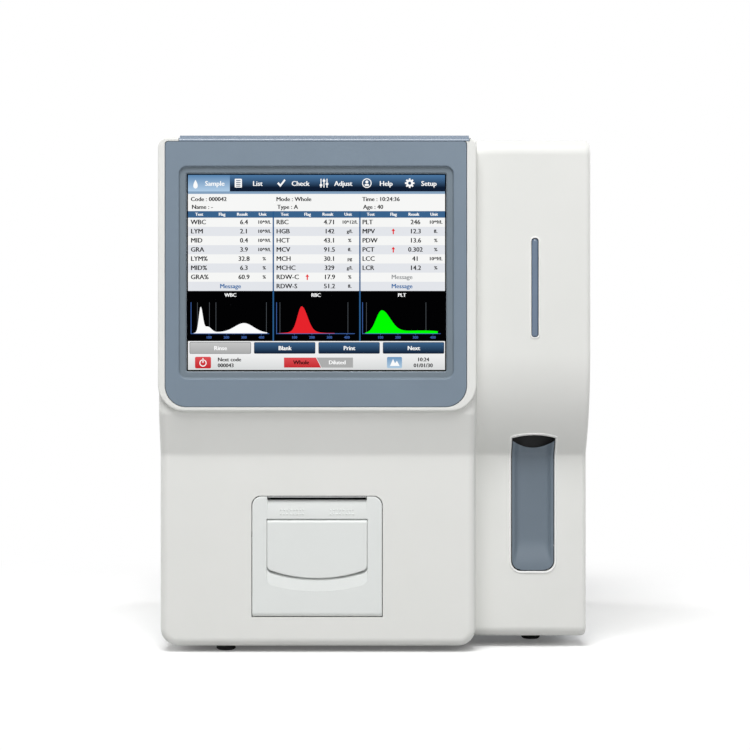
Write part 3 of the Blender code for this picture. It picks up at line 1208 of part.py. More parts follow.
def make_case():
    piece("top_cover", WHITE_ABS, prism(strip(case_path(SKIRT_Z), -SHEET), "Y", PANEL_Y, REAR_Y))
    piece("base_pan", ZINC_SHEET, prism(strip(pan_path(PAN_TOP_Z), -SHEET), "Y", PANEL_Y, REAR_Y))
    for name, outer, side in (("left_side_panel", LEFT_X, 1), ("right_side_panel", RIGHT_X, -1)):
        inner = outer + side * SHEET
        vents = []
        for index in range(VENT_COUNT):
            low_z = VENT_BOTTOM_Z + index * VENT_PITCH
            rear = REAR_Y - VENT_REAR_MARGIN
            vents.append(block((outer - OVERRUN, rear - VENT_LENGTH, low_z),
                               (outer + OVERRUN, rear, low_z + VENT_HEIGHT)))
        plate = block((min(outer, inner), PANEL_Y, PAN_TOP_Z + GAP),
                      (max(outer, inner), REAR_Y, SKIRT_Z - GAP))
        piece(name, WHITE_ABS, plate, cut=[joined(*vents)])
    pan_z = CASE_BOTTOM + SHEET + GAP
    path = [(DIVIDER_LEFT, CASE_TOP - SHEET - GAP), (DIVIDER_LEFT, pan_z), (DIVIDER_LEFT - FLANGE, pan_z)]
    section = [(DIVIDER_RIGHT, path[0][1]), (DIVIDER_RIGHT, pan_z), (DIVIDER_RIGHT - FLANGE, pan_z),
               (DIVIDER_RIGHT - FLANGE, pan_z + SHEET), (DIVIDER_LEFT, pan_z + SHEET), path[0]]
    piece("divider_plate", ZINC_SHEET, prism(section, "Y", PANEL_Y, PANEL_BACK_Y - GAP))


def rear_outline():
    margin = SHEET + GAP
    corners = [(LEFT_X + margin, CASE_BOTTOM + margin), (RIGHT_X - margin, CASE_BOTTOM + margin),
               (RIGHT_X - margin, CASE_TOP - margin), (LEFT_X + margin, CASE_TOP - margin)]
    radii = [BOTTOM_CORNER_RADIUS - margin, TOWER_BOTTOM_FILLET - margin, TOWER_EDGE_RADIUS - margin,
             TOP_CORNER_RADIUS - margin]
    return filleted(corners, radii)


def centred(centre_x, centre_z, width, height, start_y, end_y):
    return block((centre_x - width / 2, start_y, centre_z - height / 2),
                 (centre_x + width / 2, end_y, centre_z + height / 2))


def socket_sizes():
    """Sockets of the data board, as (middle across, width, height)."""
    usb = [(USB_X + index * USB_PITCH, USB_WIDTH, USB_HEIGHT) for index in range(USB_COUNT)]
    return [(SERIAL_X, SERIAL_WIDTH, SERIAL_HEIGHT), (NETWORK_X, NETWORK_WIDTH, NETWORK_HEIGHT), *usb]


def make_rear():
    out_y = REAR_Y + OVERRUN
    in_y = PANEL_BACK_Y - OVERRUN
    shell_back = REAR_Y + PORT_PROUD - PORT_DEPTH - PORT_WALL
    cuts = [rod("Y", (FAN_CENTRE_X, FAN_CENTRE_Z), FAN_BORE_RADIUS, in_y, out_y, FINE_SEGMENTS),
            centred(INLET_CENTRE_X, INLET_CENTRE_Z, INLET_BODY_WIDTH + 2 * GAP, INLET_BODY_HEIGHT + 2 * GAP,
                    in_y, out_y)]
    shells = []
    mouths = []
    for centre_x, width, height in socket_sizes():
        cuts.append(centred(centre_x, PORT_ROW_Z, width + 2 * GAP, height + 2 * GAP, in_y, out_y))
        shells.append(centred(centre_x, PORT_ROW_Z, width, height, shell_back, REAR_Y + PORT_PROUD))
        mouths.append(centred(centre_x, PORT_ROW_Z, width - 2 * PORT_WALL, height - 2 * PORT_WALL,
                              REAR_Y + PORT_PROUD - PORT_DEPTH, out_y + PORT_PROUD))
    barbs = []
    for index in range(BARB_COUNT):
        x = BARB_ROW_X + index * BARB_PITCH
        cuts.append(rod("Y", (x, BARB_ROW_Z), BARB_RADIUS + GAP, in_y, out_y, SMALL_SEGMENTS))
        profile = [(BARB_BORE_RADIUS, in_y), (BARB_RADIUS, in_y), (BARB_RADIUS, REAR_Y + GAP),
                   (BARB_FLANGE_RADIUS, REAR_Y + GAP), (BARB_FLANGE_RADIUS, REAR_Y + BARB_FLANGE),
                   (BARB_RADIUS - BARB_BORE_RADIUS / 2, REAR_Y + BARB_FLANGE),
                   (BARB_RADIUS - BARB_BORE_RADIUS / 2, REAR_Y + CONNECTOR_REACH / 2),
                   (BARB_RADIUS, REAR_Y + CONNECTOR_REACH / 2),
                   (BARB_RADIUS - BARB_BORE_RADIUS / 2, REAR_Y + CONNECTOR_REACH),
                   (BARB_BORE_RADIUS, REAR_Y + CONNECTOR_REACH)]
        barbs.append(turned("Y", (x, BARB_ROW_Z), profile, SMALL_SEGMENTS))
    stud = rod("Y", (EARTH_X, INLET_CENTRE_Z), EARTH_RADIUS, PANEL_BACK_Y, REAR_Y + CONNECTOR_REACH)
    nut = rod("Y", (EARTH_X, INLET_CENTRE_Z), EARTH_NUT_RADIUS, PANEL_BACK_Y, REAR_Y + EARTH_NUT_HEIGHT,
              CORNER_STEPS + 1)
    piece("rear_panel", ZINC_SHEET, prism(rear_outline(), "Y", PANEL_BACK_Y, REAR_Y), add=[nut, stud],
          cut=cuts)
    card = block((PORT_CARD_X, shell_back - BOARD_THICKNESS, PORT_ROW_Z - PORT_CARD_HEIGHT / 2),
                 (PORT_CARD_X + PORT_CARD_WIDTH, shell_back + GAP, PORT_ROW_Z + PORT_CARD_HEIGHT / 2))
    piece("data_ports", STEEL, card, add=shells, cut=[joined(*mouths)])
    last_x = BARB_ROW_X + (BARB_COUNT - 1) * BARB_PITCH
    manifold = block((BARB_ROW_X - BARB_FLANGE_RADIUS, in_y - BARB_FLANGE, BARB_ROW_Z - BARB_FLANGE_RADIUS),
                     (last_x + BARB_FLANGE_RADIUS, PANEL_BACK_Y - GAP, BARB_ROW_Z + BARB_FLANGE_RADIUS))
    piece("reagent_ports", BLACK_PLASTIC, manifold, add=barbs)


def make_inlet():
    """Mains inlet with its pins, and the rocker switch beside the socket."""
    body_y = REAR_Y - INLET_BODY_DEPTH
    flange = centred(INLET_CENTRE_X, INLET_CENTRE_Z, INLET_WIDTH, INLET_HEIGHT, REAR_Y + GAP,
                     REAR_Y + INLET_FLANGE)
    body = centred(INLET_CENTRE_X, INLET_CENTRE_Z, INLET_BODY_WIDTH, INLET_BODY_HEIGHT, body_y,
                   REAR_Y + 2 * GAP)
    socket_x = INLET_CENTRE_X - INLET_BODY_WIDTH / 2 + SOCKET_INSET + SOCKET_WIDTH / 2
    mouth_y = REAR_Y + INLET_FLANGE
    socket = centred(socket_x, INLET_CENTRE_Z, SOCKET_WIDTH, SOCKET_HEIGHT, mouth_y - SOCKET_DEPTH,
                     mouth_y + OVERRUN)
    floor_y = mouth_y - SOCKET_DEPTH
    pins = []
    for step, lift in ((-1, -1), (0, 1), (1, -1)):
        pins.append(centred(socket_x + step * PIN_PITCH, INLET_CENTRE_Z + lift * PIN_HEIGHT / 2, PIN_WIDTH,
                            PIN_HEIGHT, floor_y - GAP, floor_y + PIN_LENGTH))
    rocker_x = INLET_CENTRE_X + INLET_BODY_WIDTH / 2 - SOCKET_INSET - ROCKER_WIDTH / 2
    well = centred(rocker_x, INLET_CENTRE_Z, ROCKER_WIDTH + 2 * GAP, ROCKER_HEIGHT + 6 * GAP,
                   mouth_y - ROCKER_DEPTH - SWITCH_PIVOT_DEPTH, mouth_y + OVERRUN)
    pivot_y = mouth_y - SWITCH_PIVOT_DEPTH
    pin_half = ROCKER_WIDTH / 2 + ROCKER_PIN_REACH
    pin_hole = rod("X", (pivot_y, INLET_CENTRE_Z), ROCKER_PIN_RADIUS + RUNNING, rocker_x - pin_half - GAP,
                   rocker_x + pin_half + GAP)
    inlet = piece("power_inlet", BLACK_PLASTIC, flange, add=[body], cut=[socket, well, pin_hole])
    combine(inlet, "UNION", pins)
    half = ROCKER_HEIGHT / 2
    rocker = [(pivot_y + ROCKER_PIN_RADIUS, INLET_CENTRE_Z), (mouth_y - GAP, INLET_CENTRE_Z + half),
              (pivot_y - ROCKER_DEPTH / 2, INLET_CENTRE_Z + half - GAP),
              (pivot_y - ROCKER_DEPTH / 2, INLET_CENTRE_Z - half + GAP),
              (mouth_y + ROCKER_PIN_REACH, INLET_CENTRE_Z - half)]
    pin = rod("X", (pivot_y, INLET_CENTRE_Z), ROCKER_PIN_RADIUS, rocker_x - pin_half, rocker_x + pin_half)
    piece("power_switch", BLACK_PLASTIC,
          prism(rocker, "X", rocker_x - ROCKER_WIDTH / 2, rocker_x + ROCKER_WIDTH / 2), add=[pin],
          pivot=(rocker_x, pivot_y, INLET_CENTRE_Z))


def make_fan():
    back_y = PANEL_BACK_Y - GAP
    front_y = back_y - FAN_DEPTH
    half = FAN_SIZE / 2
    frame = rectangle(FAN_CENTRE_X - half, FAN_CENTRE_Z - half, FAN_CENTRE_X + half, FAN_CENTRE_Z + half,
                      FAN_STRUT, FAN_STRUT)
    bore = rod("Y", (FAN_CENTRE_X, FAN_CENTRE_Z), FAN_BORE_RADIUS, front_y - OVERRUN,
               back_y + OVERRUN, FINE_SEGMENTS)
    ring = prism(frame, "Y", front_y, back_y)
    strut_y = front_y + FAN_STRUT
    centre = (FAN_CENTRE_X, FAN_CENTRE_Z)
    struts = []
    for index in range(2):
        turn = Matrix.Translation((FAN_CENTRE_X, 0.0, FAN_CENTRE_Z)) @ Matrix.Rotation(
            math.pi / 4 + index * math.pi / 2, 4, "Y")
        bar = block((-FAN_BORE_RADIUS - GAP, front_y, -FAN_STRUT / 2),
                    (FAN_BORE_RADIUS + GAP, strut_y, FAN_STRUT / 2))
        struts.append(transformed(bar, turn))
    hub = rod("Y", centre, FAN_HUB_RADIUS, front_y, strut_y)
    pin = rod("Y", centre, SHAFT_RADIUS, front_y + GAP, back_y - FAN_STRUT, SMALL_SEGMENTS)
    body = piece("fan_frame", BLACK_PLASTIC, ring, cut=[bore])
    combine(body, "UNION", [*struts, hub, pin])
    rotor_y = strut_y + GAP
    end_y = back_y - FAN_STRUT
    cup = turned("Y", centre, [(SHAFT_RADIUS + RUNNING, rotor_y), (FAN_HUB_RADIUS, rotor_y),
                               (FAN_HUB_RADIUS, end_y), (SHAFT_RADIUS + RUNNING, end_y)])
    middle_y = (rotor_y + end_y) / 2
    blade = block((FAN_HUB_RADIUS - FAN_BLADE_THICKNESS, -FAN_BLADE_THICKNESS / 2, -FAN_BLADE_CHORD / 2),
                  (FAN_BLADE_RADIUS, FAN_BLADE_THICKNESS / 2, FAN_BLADE_CHORD / 2))
    blades = []
    for index in range(FAN_BLADES):
        turn = Matrix.Rotation(2 * math.pi * index / FAN_BLADES, 4, "Y")
        turn = turn @ Matrix.Rotation(FAN_BLADE_TILT, 4, "X")
        place = Matrix.Translation((FAN_CENTRE_X, middle_y, FAN_CENTRE_Z))
        blades.append(transformed(blade, place @ turn))
    piece("fan_rotor", BLACK_PLASTIC, cup, add=blades, pivot=(FAN_CENTRE_X, rotor_y, FAN_CENTRE_Z))
    guard_y = REAR_Y + GAP
    rings = []
    for index in range(GUARD_RINGS):
        radius = FAN_BORE_RADIUS * (index + 1) / GUARD_RINGS + GUARD_WIRE
        rings.append(turned("Y", centre, [(radius - GUARD_WIRE / 2, guard_y + GUARD_WIRE),
                                          (radius + GUARD_WIRE / 2, guard_y + GUARD_WIRE),
                                          (radius + GUARD_WIRE / 2, guard_y + 2 * GUARD_WIRE),
                                          (radius - GUARD_WIRE / 2, guard_y + 2 * GUARD_WIRE)]))
    spokes = []
    for index in range(2):
        turn = Matrix.Translation((FAN_CENTRE_X, 0.0, FAN_CENTRE_Z)) @ Matrix.Rotation(
            math.pi / 4 + index * math.pi / 2, 4, "Y")
        bar = block((-GUARD_SPOKE_REACH, guard_y, -GUARD_WIRE / 2),
                    (GUARD_SPOKE_REACH, guard_y + GUARD_SPOKE_DEPTH, GUARD_WIRE / 2))
        spokes.append(transformed(bar, turn))
    piece("fan_guard", STEEL, spokes[0], add=[spokes[1], *rings])


def make_feet():
    places = (("foot_front_left", LEFT_X + FOOT_LEFT_INSET, FRONT_Y + FOOT_LEFT_DEPTH),
              ("foot_front_right", RIGHT_X - FOOT_RIGHT_INSET, FRONT_Y + FOOT_RIGHT_DEPTH),
              ("foot_rear_left", LEFT_X + FOOT_LEFT_INSET, REAR_Y - FOOT_REAR_DEPTH),
              ("foot_rear_right", RIGHT_X - FOOT_RIGHT_INSET, REAR_Y - FOOT_REAR_DEPTH))
    top = CASE_BOTTOM - GAP
    for name, x, y in places:
        rings = [[(px, py, 0.0) for px, py in circle(FOOT_TIP_RADIUS, ROUND_SEGMENTS, x, y)],
                 [(px, py, FOOT_TAPER) for px, py in circle(FOOT_RADIUS, ROUND_SEGMENTS, x, y)],
                 [(px, py, top) for px, py in circle(FOOT_RADIUS, ROUND_SEGMENTS, x, y)]]
        piece(name, BLACK_RUBBER, loft(rings))


# Places of the probe unit
PROBE_X = SPLIT_X + PROBE_OFFSET_X
PROBE_Y = TOWER_Y + PROBE_DEPTH
FRAME_LEFT = TOWER_INNER_LEFT + GAP
FRAME_FRONT_Y = TOWER_Y + FRAME_FRONT_DEPTH
FRAME_BACK_Y = FRAME_FRONT_Y + FRAME_LENGTH
RAIL_X = TOWER_LEFT + RAIL_OFFSET_X
CARRIAGE_FRONT_Y = FRAME_FRONT_Y + LUG_THICKNESS + 2 * GAP
CARRIAGE_BACK_Y = CARRIAGE_FRONT_Y + BLOCK_LENGTH
SPINE_X = RAIL_X + BLOCK_WIDTH / 2
SPINE_RIGHT = SPINE_X + SPINE_THICKNESS
GUIDE_X = SPINE_RIGHT + GUIDE_OFFSET
SCREW_X = SPINE_RIGHT + SCREW_OFFSET
DRIVE_Y = CARRIAGE_FRONT_Y + BLOCK_LENGTH / 2
BLOCK_BOTTOM_Z = RAIL_LOW_Z - BLOCK_MARGIN
BLOCK_TOP_Z = RAIL_HIGH_Z + BLOCK_MARGIN
UPPER_ARM_Z = BLOCK_TOP_Z - ARM_THICKNESS
PULLEY_FRONT_Y = FRAME_FRONT_Y + LUG_THICKNESS + PULLEY_END_MARGIN
PULLEY_REAR_Y = FRAME_BACK_Y - LUG_THICKNESS - PULLEY_END_MARGIN
SLIDER_TOP_Z = UPPER_ARM_Z - SLIDER_INSET
BATHS_END_Y = PROBE_Y + CARRIAGE_TRAVEL + BATH_PITCH + SHELF_MARGIN
PUMP_Y = REAR_Y - PUMP_REAR_MARGIN - PUMP_MOTOR_LENGTH - PUMP_LENGTH
SYRINGE_Y = (BATHS_END_Y + PUMP_Y) / 2
VALVE_BLOCK_Y = SEAM_Y + VALVE_BLOCK_MARGIN
VALVE_BLOCK_Z = (SYRINGE_TOP_Z + FRAME_BOTTOM_Z - VALVE_BLOCK_HEIGHT) / 2


def make_probe_frame():
    reach = FRAME_LEFT + FRAME_REACH
    plate_right = FRAME_LEFT + FRAME_PLATE
    section = [(FRAME_LEFT, FRAME_FRONT_Y), (reach, FRAME_FRONT_Y), (reach, FRAME_FRONT_Y + LUG_THICKNESS),
               (plate_right, FRAME_FRONT_Y + LUG_THICKNESS), (plate_right, FRAME_BACK_Y - LUG_THICKNESS),
               (reach, FRAME_BACK_Y - LUG_THICKNESS), (reach, FRAME_BACK_Y),
               (DIVIDER_RIGHT + GAP, FRAME_BACK_Y), (DIVIDER_RIGHT + GAP, SEAM_Y + FRAME_STANDOFF),
               (FRAME_LEFT, SEAM_Y + FRAME_STANDOFF)]
    axle = rod("X", (PULLEY_FRONT_Y, PULLEY_AXIS_Z), SHAFT_RADIUS, plate_right - GAP,
               plate_right + FRAME_STANDOFF + PULLEY_WIDTH)
    rails = [rod("Y", (RAIL_X, z), RAIL_RADIUS, FRAME_FRONT_Y + LUG_THICKNESS - GAP,
                 FRAME_BACK_Y - LUG_THICKNESS + GAP) for z in (RAIL_LOW_Z, RAIL_HIGH_Z)]
    piece("probe_frame", ZINC_SHEET, prism(section, "Z", FRAME_BOTTOM_Z, FRAME_TOP_Z), add=[axle, *rails])


def make_carriage():
    block_left = RAIL_X - BLOCK_WIDTH / 2
    wash_arm_end = SPINE_RIGHT + WASH_ARM_REACH
    arms = [(block_left, BLOCK_BOTTOM_Z), (SPINE_X, BLOCK_BOTTOM_Z), (SPINE_X, WASH_ARM_Z),
            (wash_arm_end, WASH_ARM_Z), (wash_arm_end, WASH_ARM_Z + ARM_THICKNESS),
            (SPINE_RIGHT, WASH_ARM_Z + ARM_THICKNESS), (SPINE_RIGHT, LOWER_ARM_Z),
            (SPINE_RIGHT + LOWER_ARM_REACH, LOWER_ARM_Z),
            (SPINE_RIGHT + LOWER_ARM_REACH, LOWER_ARM_Z + ARM_THICKNESS),
            (SPINE_RIGHT, LOWER_ARM_Z + ARM_THICKNESS), (SPINE_RIGHT, UPPER_ARM_Z),
            (SPINE_RIGHT + UPPER_ARM_REACH, UPPER_ARM_Z), (SPINE_RIGHT + UPPER_ARM_REACH, BLOCK_TOP_Z),
            (block_left, BLOCK_TOP_Z)]
    body = prism(arms, "Y", CARRIAGE_FRONT_Y, CARRIAGE_BACK_Y)
    holes = [rod("Y", (RAIL_X, z), RAIL_RADIUS + RUNNING, CARRIAGE_FRONT_Y - OVERRUN,
                 CARRIAGE_BACK_Y + OVERRUN) for z in (RAIL_LOW_Z, RAIL_HIGH_Z)]
    screw_hole = rod("Z", (SCREW_X, DRIVE_Y), SCREW_RADIUS + RUNNING, UPPER_ARM_Z - OVERRUN,
                     BLOCK_TOP_Z + OVERRUN)
    belt_low = PULLEY_AXIS_Z - PULLEY_RADIUS - GAP - BELT_THICKNESS
    clamp_x = FRAME_LEFT + FRAME_PLATE + FRAME_STANDOFF
    clamp = block((clamp_x + PULLEY_FLANGE + GAP, CARRIAGE_FRONT_Y, BLOCK_TOP_Z - GAP),
                  (clamp_x + PULLEY_WIDTH - PULLEY_FLANGE - GAP, CARRIAGE_BACK_Y, belt_low - GAP))
    guide = rod("Z", (GUIDE_X, DRIVE_Y), GUIDE_RADIUS, LOWER_ARM_Z + ARM_THICKNESS - GAP, UPPER_ARM_Z + GAP)
    piece("probe_carriage", ZINC_SHEET, body, add=[clamp, guide], cut=[*holes, screw_hole])
    motor_half = SMALL_MOTOR_SIZE / 2
    motor_z = BLOCK_TOP_Z + GAP
    motor = block((SCREW_X - motor_half, DRIVE_Y - motor_half, motor_z),
                  (SCREW_X + motor_half, DRIVE_Y + motor_half, motor_z + SMALL_MOTOR_LENGTH))
    socket = rod("Z", (SCREW_X, DRIVE_Y), SCREW_RADIUS + RUNNING, motor_z - OVERRUN,
                 motor_z + SMALL_MOTOR_LENGTH / 4)
    piece("probe_motor", BLACK_PLASTIC, motor, cut=[socket])
    screw = rod("Z", (SCREW_X, DRIVE_Y), SCREW_RADIUS, LOWER_ARM_Z + ARM_THICKNESS + GAP,
                motor_z + SMALL_MOTOR_LENGTH / 4 - GAP)
    piece("probe_screw", STEEL, screw, pivot=(SCREW_X, DRIVE_Y, LOWER_ARM_Z))
    slider = block((GUIDE_X - GUIDE_OFFSET + SLIDER_INSET, CARRIAGE_FRONT_Y + SLIDER_INSET,
                    SLIDER_TOP_Z - SLIDER_HEIGHT),
                   (GUIDE_X - GUIDE_OFFSET + SLIDER_REACH, CARRIAGE_BACK_Y - SLIDER_INSET, SLIDER_TOP_Z))
    tube = rod("Z", (PROBE_X, PROBE_Y), PROBE_RADIUS, PROBE_TIP_Z, SLIDER_TOP_Z - GAP, CORNER_STEPS * 2)
    slider_holes = []
    for x, radius in ((GUIDE_X, GUIDE_RADIUS), (SCREW_X, SCREW_RADIUS)):
        slider_holes.append(rod("Z", (x, DRIVE_Y), radius + RUNNING, SLIDER_TOP_Z - SLIDER_HEIGHT - OVERRUN,
                                SLIDER_TOP_Z + OVERRUN))
    piece("probe", STEEL, slider, add=[tube], cut=slider_holes, pivot=(PROBE_X, PROBE_Y, SLIDER_TOP_Z))
    wash = block((SPINE_RIGHT + WASH_ARM_REACH + GAP, PROBE_Y - WASH_LENGTH / 2, WASH_BOTTOM_Z),
                 (SPINE_RIGHT + WASH_ARM_REACH + GAP + WASH_WIDTH, PROBE_Y + WASH_LENGTH / 2,
                  WASH_BOTTOM_Z + WASH_HEIGHT))
    wash_bore = rod("Z", (PROBE_X, PROBE_Y), PROBE_RADIUS + RUNNING, WASH_BOTTOM_Z - OVERRUN,
                    WASH_BOTTOM_Z + WASH_HEIGHT + OVERRUN, CORNER_STEPS * 2)
    piece("wash_block", NATURAL_PLASTIC, wash, cut=[wash_bore])


def make_belt_drive():
    clamp_x = FRAME_LEFT + FRAME_PLATE + FRAME_STANDOFF
    for name, y in (("idler_pulley", PULLEY_FRONT_Y), ("drive_pulley", PULLEY_REAR_Y)):
        bore = SHAFT_RADIUS + RUNNING
        profile = [(bore, clamp_x), (PULLEY_FLANGE_RADIUS, clamp_x),
                   (PULLEY_FLANGE_RADIUS, clamp_x + PULLEY_FLANGE), (PULLEY_RADIUS, clamp_x + PULLEY_FLANGE),
                   (PULLEY_RADIUS, clamp_x + PULLEY_WIDTH - PULLEY_FLANGE),
                   (PULLEY_FLANGE_RADIUS, clamp_x + PULLEY_WIDTH - PULLEY_FLANGE),
                   (PULLEY_FLANGE_RADIUS, clamp_x + PULLEY_WIDTH), (bore, clamp_x + PULLEY_WIDTH)]
        piece(name, NATURAL_PLASTIC, turned("X", (y, PULLEY_AXIS_Z), profile),
              pivot=(clamp_x, y, PULLEY_AXIS_Z))
    belt_x = clamp_x + (PULLEY_WIDTH - BELT_WIDTH) / 2

    def loop(radius):
        front = arc((PULLEY_FRONT_Y, PULLEY_AXIS_Z), radius, math.pi / 2, math.pi * 3 / 2, 2 * CORNER_STEPS)
        rear = arc((PULLEY_REAR_Y, PULLEY_AXIS_Z), radius, -math.pi / 2, math.pi / 2, 2 * CORNER_STEPS)
        return front + rear
    inner = loop(PULLEY_RADIUS + GAP)
    outer = loop(PULLEY_RADIUS + GAP + BELT_THICKNESS)
    rings = [[(belt_x, y, z) for y, z in outer], [(belt_x + BELT_WIDTH, y, z) for y, z in outer],
             [(belt_x + BELT_WIDTH, y, z) for y, z in inner], [(belt_x, y, z) for y, z in inner]]
    piece("carriage_belt", BLACK_RUBBER, loft(rings, closed=True))
    motor_x = clamp_x + PULLEY_WIDTH + GAP
    motor_half = SMALL_MOTOR_SIZE / 2
    rear_y = FRAME_BACK_Y - LUG_THICKNESS - GAP
    motor = block((motor_x, PULLEY_REAR_Y - motor_half, PULLEY_AXIS_Z - motor_half),
                  (motor_x + SMALL_MOTOR_LENGTH, rear_y, PULLEY_AXIS_Z + motor_half))
    shaft = rod("X", (PULLEY_REAR_Y, PULLEY_AXIS_Z), SHAFT_RADIUS, clamp_x, motor_x + GAP)
    piece("carriage_motor", BLACK_PLASTIC, motor, add=[shaft])


def make_baths():
    shelf_left = DIVIDER_RIGHT + GAP
    bath_y = PROBE_Y + CARRIAGE_TRAVEL
    names = ("wbc_bath", "rbc_bath")
    for index, name in enumerate(names):
        y = bath_y + index * BATH_PITCH
        low = BATH_SHELF_Z + GAP
        outer = circle(BATH_RADIUS, ROUND_SEGMENTS, PROBE_X, y)
        inner = circle(BATH_BORE_RADIUS, ROUND_SEGMENTS, PROBE_X, y)
        top = low + BATH_HEIGHT
        steps = ((outer, low), (outer, top), (inner, top), (inner, low + BATH_FLOOR))
        piece(name, CLEAR_ACRYLIC, loft([[(px, py, z) for px, py in ring] for ring, z in steps]))
    under_z = BATH_SHELF_Z - SHELF_THICKNESS
    section = [(shelf_left, under_z), (shelf_left + SHELF_REACH, under_z),
               (shelf_left + SHELF_REACH, BATH_SHELF_Z), (shelf_left + SHELF_THICKNESS, BATH_SHELF_Z),
               (shelf_left + SHELF_THICKNESS, BATH_SHELF_Z + SHELF_BACK_HEIGHT),
               (shelf_left, BATH_SHELF_Z + SHELF_BACK_HEIGHT)]
    piece("bath_bracket", ZINC_SHEET, prism(section, "Y", bath_y - SHELF_MARGIN, BATHS_END_Y))


def make_syringe():
    left = DIVIDER_RIGHT + GAP
    right = left + SYRINGE_REACH
    start = SYRINGE_Y - SYRINGE_FRAME_LENGTH / 2
    end = SYRINGE_Y + SYRINGE_FRAME_LENGTH / 2
    inner_left = left + SYRINGE_BACK
    low_lug = SYRINGE_BOTTOM_Z + SYRINGE_LUG
    high_lug = SYRINGE_TOP_Z - SYRINGE_LUG
    section = [(left, SYRINGE_BOTTOM_Z), (right, SYRINGE_BOTTOM_Z), (right, low_lug), (inner_left, low_lug),
               (inner_left, high_lug), (right, high_lug), (right, SYRINGE_TOP_Z), (left, SYRINGE_TOP_Z)]
    barrel_x = left + BARREL_OFFSET_X
    screw_x = barrel_x + SYRINGE_SCREW_OFFSET
    lug_hole = rod("Z", (screw_x, SYRINGE_Y), SYRINGE_SCREW_RADIUS + RUNNING, SYRINGE_BOTTOM_Z - OVERRUN,
                   low_lug + OVERRUN)
    piece("syringe_frame", ZINC_SHEET, prism(section, "Y", start, end), cut=[lug_hole])
    barrel_top = high_lug - GAP
    profile = [(BARREL_BORE_RADIUS, barrel_top - BARREL_LENGTH), (BARREL_RADIUS, barrel_top - BARREL_LENGTH),
               (BARREL_RADIUS, barrel_top), (BARREL_BORE_RADIUS, barrel_top)]
    piece("syringe_barrel", CLEAR_ACRYLIC, turned("Z", (barrel_x, SYRINGE_Y), profile))
    piston_top = barrel_top - PISTON_DROP
    piston = rod("Z", (barrel_x, SYRINGE_Y), PISTON_RADIUS, piston_top - PISTON_HEIGHT, piston_top)
    plunger_rod = rod("Z", (barrel_x, SYRINGE_Y), PLUNGER_ROD_RADIUS, NUT_TOP_Z - GAP,
                      piston_top - GAP)
    nut = block((barrel_x - NUT_WIDTH / 2, SYRINGE_Y - NUT_WIDTH / 2, NUT_TOP_Z - NUT_HEIGHT),
                (screw_x + NUT_WIDTH / 2, SYRINGE_Y + NUT_WIDTH / 2, NUT_TOP_Z))
    nut_hole = rod("Z", (screw_x, SYRINGE_Y), SYRINGE_SCREW_RADIUS + RUNNING,
                   NUT_TOP_Z - NUT_HEIGHT - OVERRUN, NUT_TOP_Z + OVERRUN)
    piece("syringe_plunger", NATURAL_PLASTIC, nut, add=[plunger_rod, piston], cut=[nut_hole],
          pivot=(barrel_x, SYRINGE_Y, NUT_TOP_Z))
    motor_top = SYRINGE_BOTTOM_Z - GAP
    half = SMALL_MOTOR_SIZE / 2
    motor = block((screw_x - half, SYRINGE_Y - half, motor_top - SMALL_MOTOR_LENGTH),
                  (screw_x + half, SYRINGE_Y + half, motor_top))
    socket_z = motor_top - SMALL_MOTOR_LENGTH / 4
    socket = rod("Z", (screw_x, SYRINGE_Y), SYRINGE_SCREW_RADIUS + RUNNING, socket_z, motor_top + OVERRUN)
    piece("syringe_motor", BLACK_PLASTIC, motor, cut=[socket])
    piece("syringe_screw", STEEL,
          rod("Z", (screw_x, SYRINGE_Y), SYRINGE_SCREW_RADIUS, socket_z + GAP, SYRINGE_SCREW_TOP_Z),
          pivot=(screw_x, SYRINGE_Y, motor_top))


def make_pump_and_valves():
    pan_z = CASE_BOTTOM + SHEET + GAP
    left = DIVIDER_RIGHT + PUMP_OFFSET_X
    middle = left + PUMP_WIDTH / 2
    head = block((left, PUMP_Y, pan_z), (left + PUMP_WIDTH, PUMP_Y + PUMP_LENGTH, pan_z + PUMP_HEIGHT))
    motor = rod("Y", (middle, pan_z + PUMP_HEIGHT / 2), PUMP_MOTOR_RADIUS, PUMP_Y + PUMP_LENGTH - GAP,
                PUMP_Y + PUMP_LENGTH + PUMP_MOTOR_LENGTH)
    piece("vacuum_pump", BLACK_PLASTIC, head, add=[motor])
    block_left = DIVIDER_RIGHT + GAP
    body = block((block_left, VALVE_BLOCK_Y, VALVE_BLOCK_Z),
                 (block_left + VALVE_BLOCK_DEPTH, VALVE_BLOCK_Y + VALVE_BLOCK_LENGTH,
                  VALVE_BLOCK_Z + VALVE_BLOCK_HEIGHT))
    coils = []
    for index in range(VALVE_COUNT):
        y = VALVE_BLOCK_Y + VALVE_BLOCK_LENGTH * (2 * index + 1) / (2 * VALVE_COUNT)
        coils.append(rod("X", (y, VALVE_BLOCK_Z + VALVE_BLOCK_HEIGHT / 2), VALVE_RADIUS,
                         block_left + VALVE_BLOCK_DEPTH - GAP, block_left + VALVE_BLOCK_DEPTH + VALVE_LENGTH,
                         SMALL_SEGMENTS))
    piece("valve_block", NATURAL_PLASTIC, body, add=coils)


# Parts on the main board: centre along and up it, length, height and how far they stand off it, as shares
BOARD_PART_SHARES = ((0.20, 0.75, 0.16, 0.20, 0.9), (0.50, 0.78, 0.20, 0.14, 0.5),
                     (0.80, 0.70, 0.14, 0.30, 1.4), (0.25, 0.35, 0.22, 0.18, 0.4),
                     (0.58, 0.38, 0.12, 0.12, 1.6), (0.82, 0.25, 0.16, 0.20, 1.0))
STANDOFF_SHARES = (0.06, 0.94)
BOARD_Y = SEAM_Y + (REAR_Y - SEAM_Y - BOARD_LENGTH) * BOARD_PLACE_SHARE


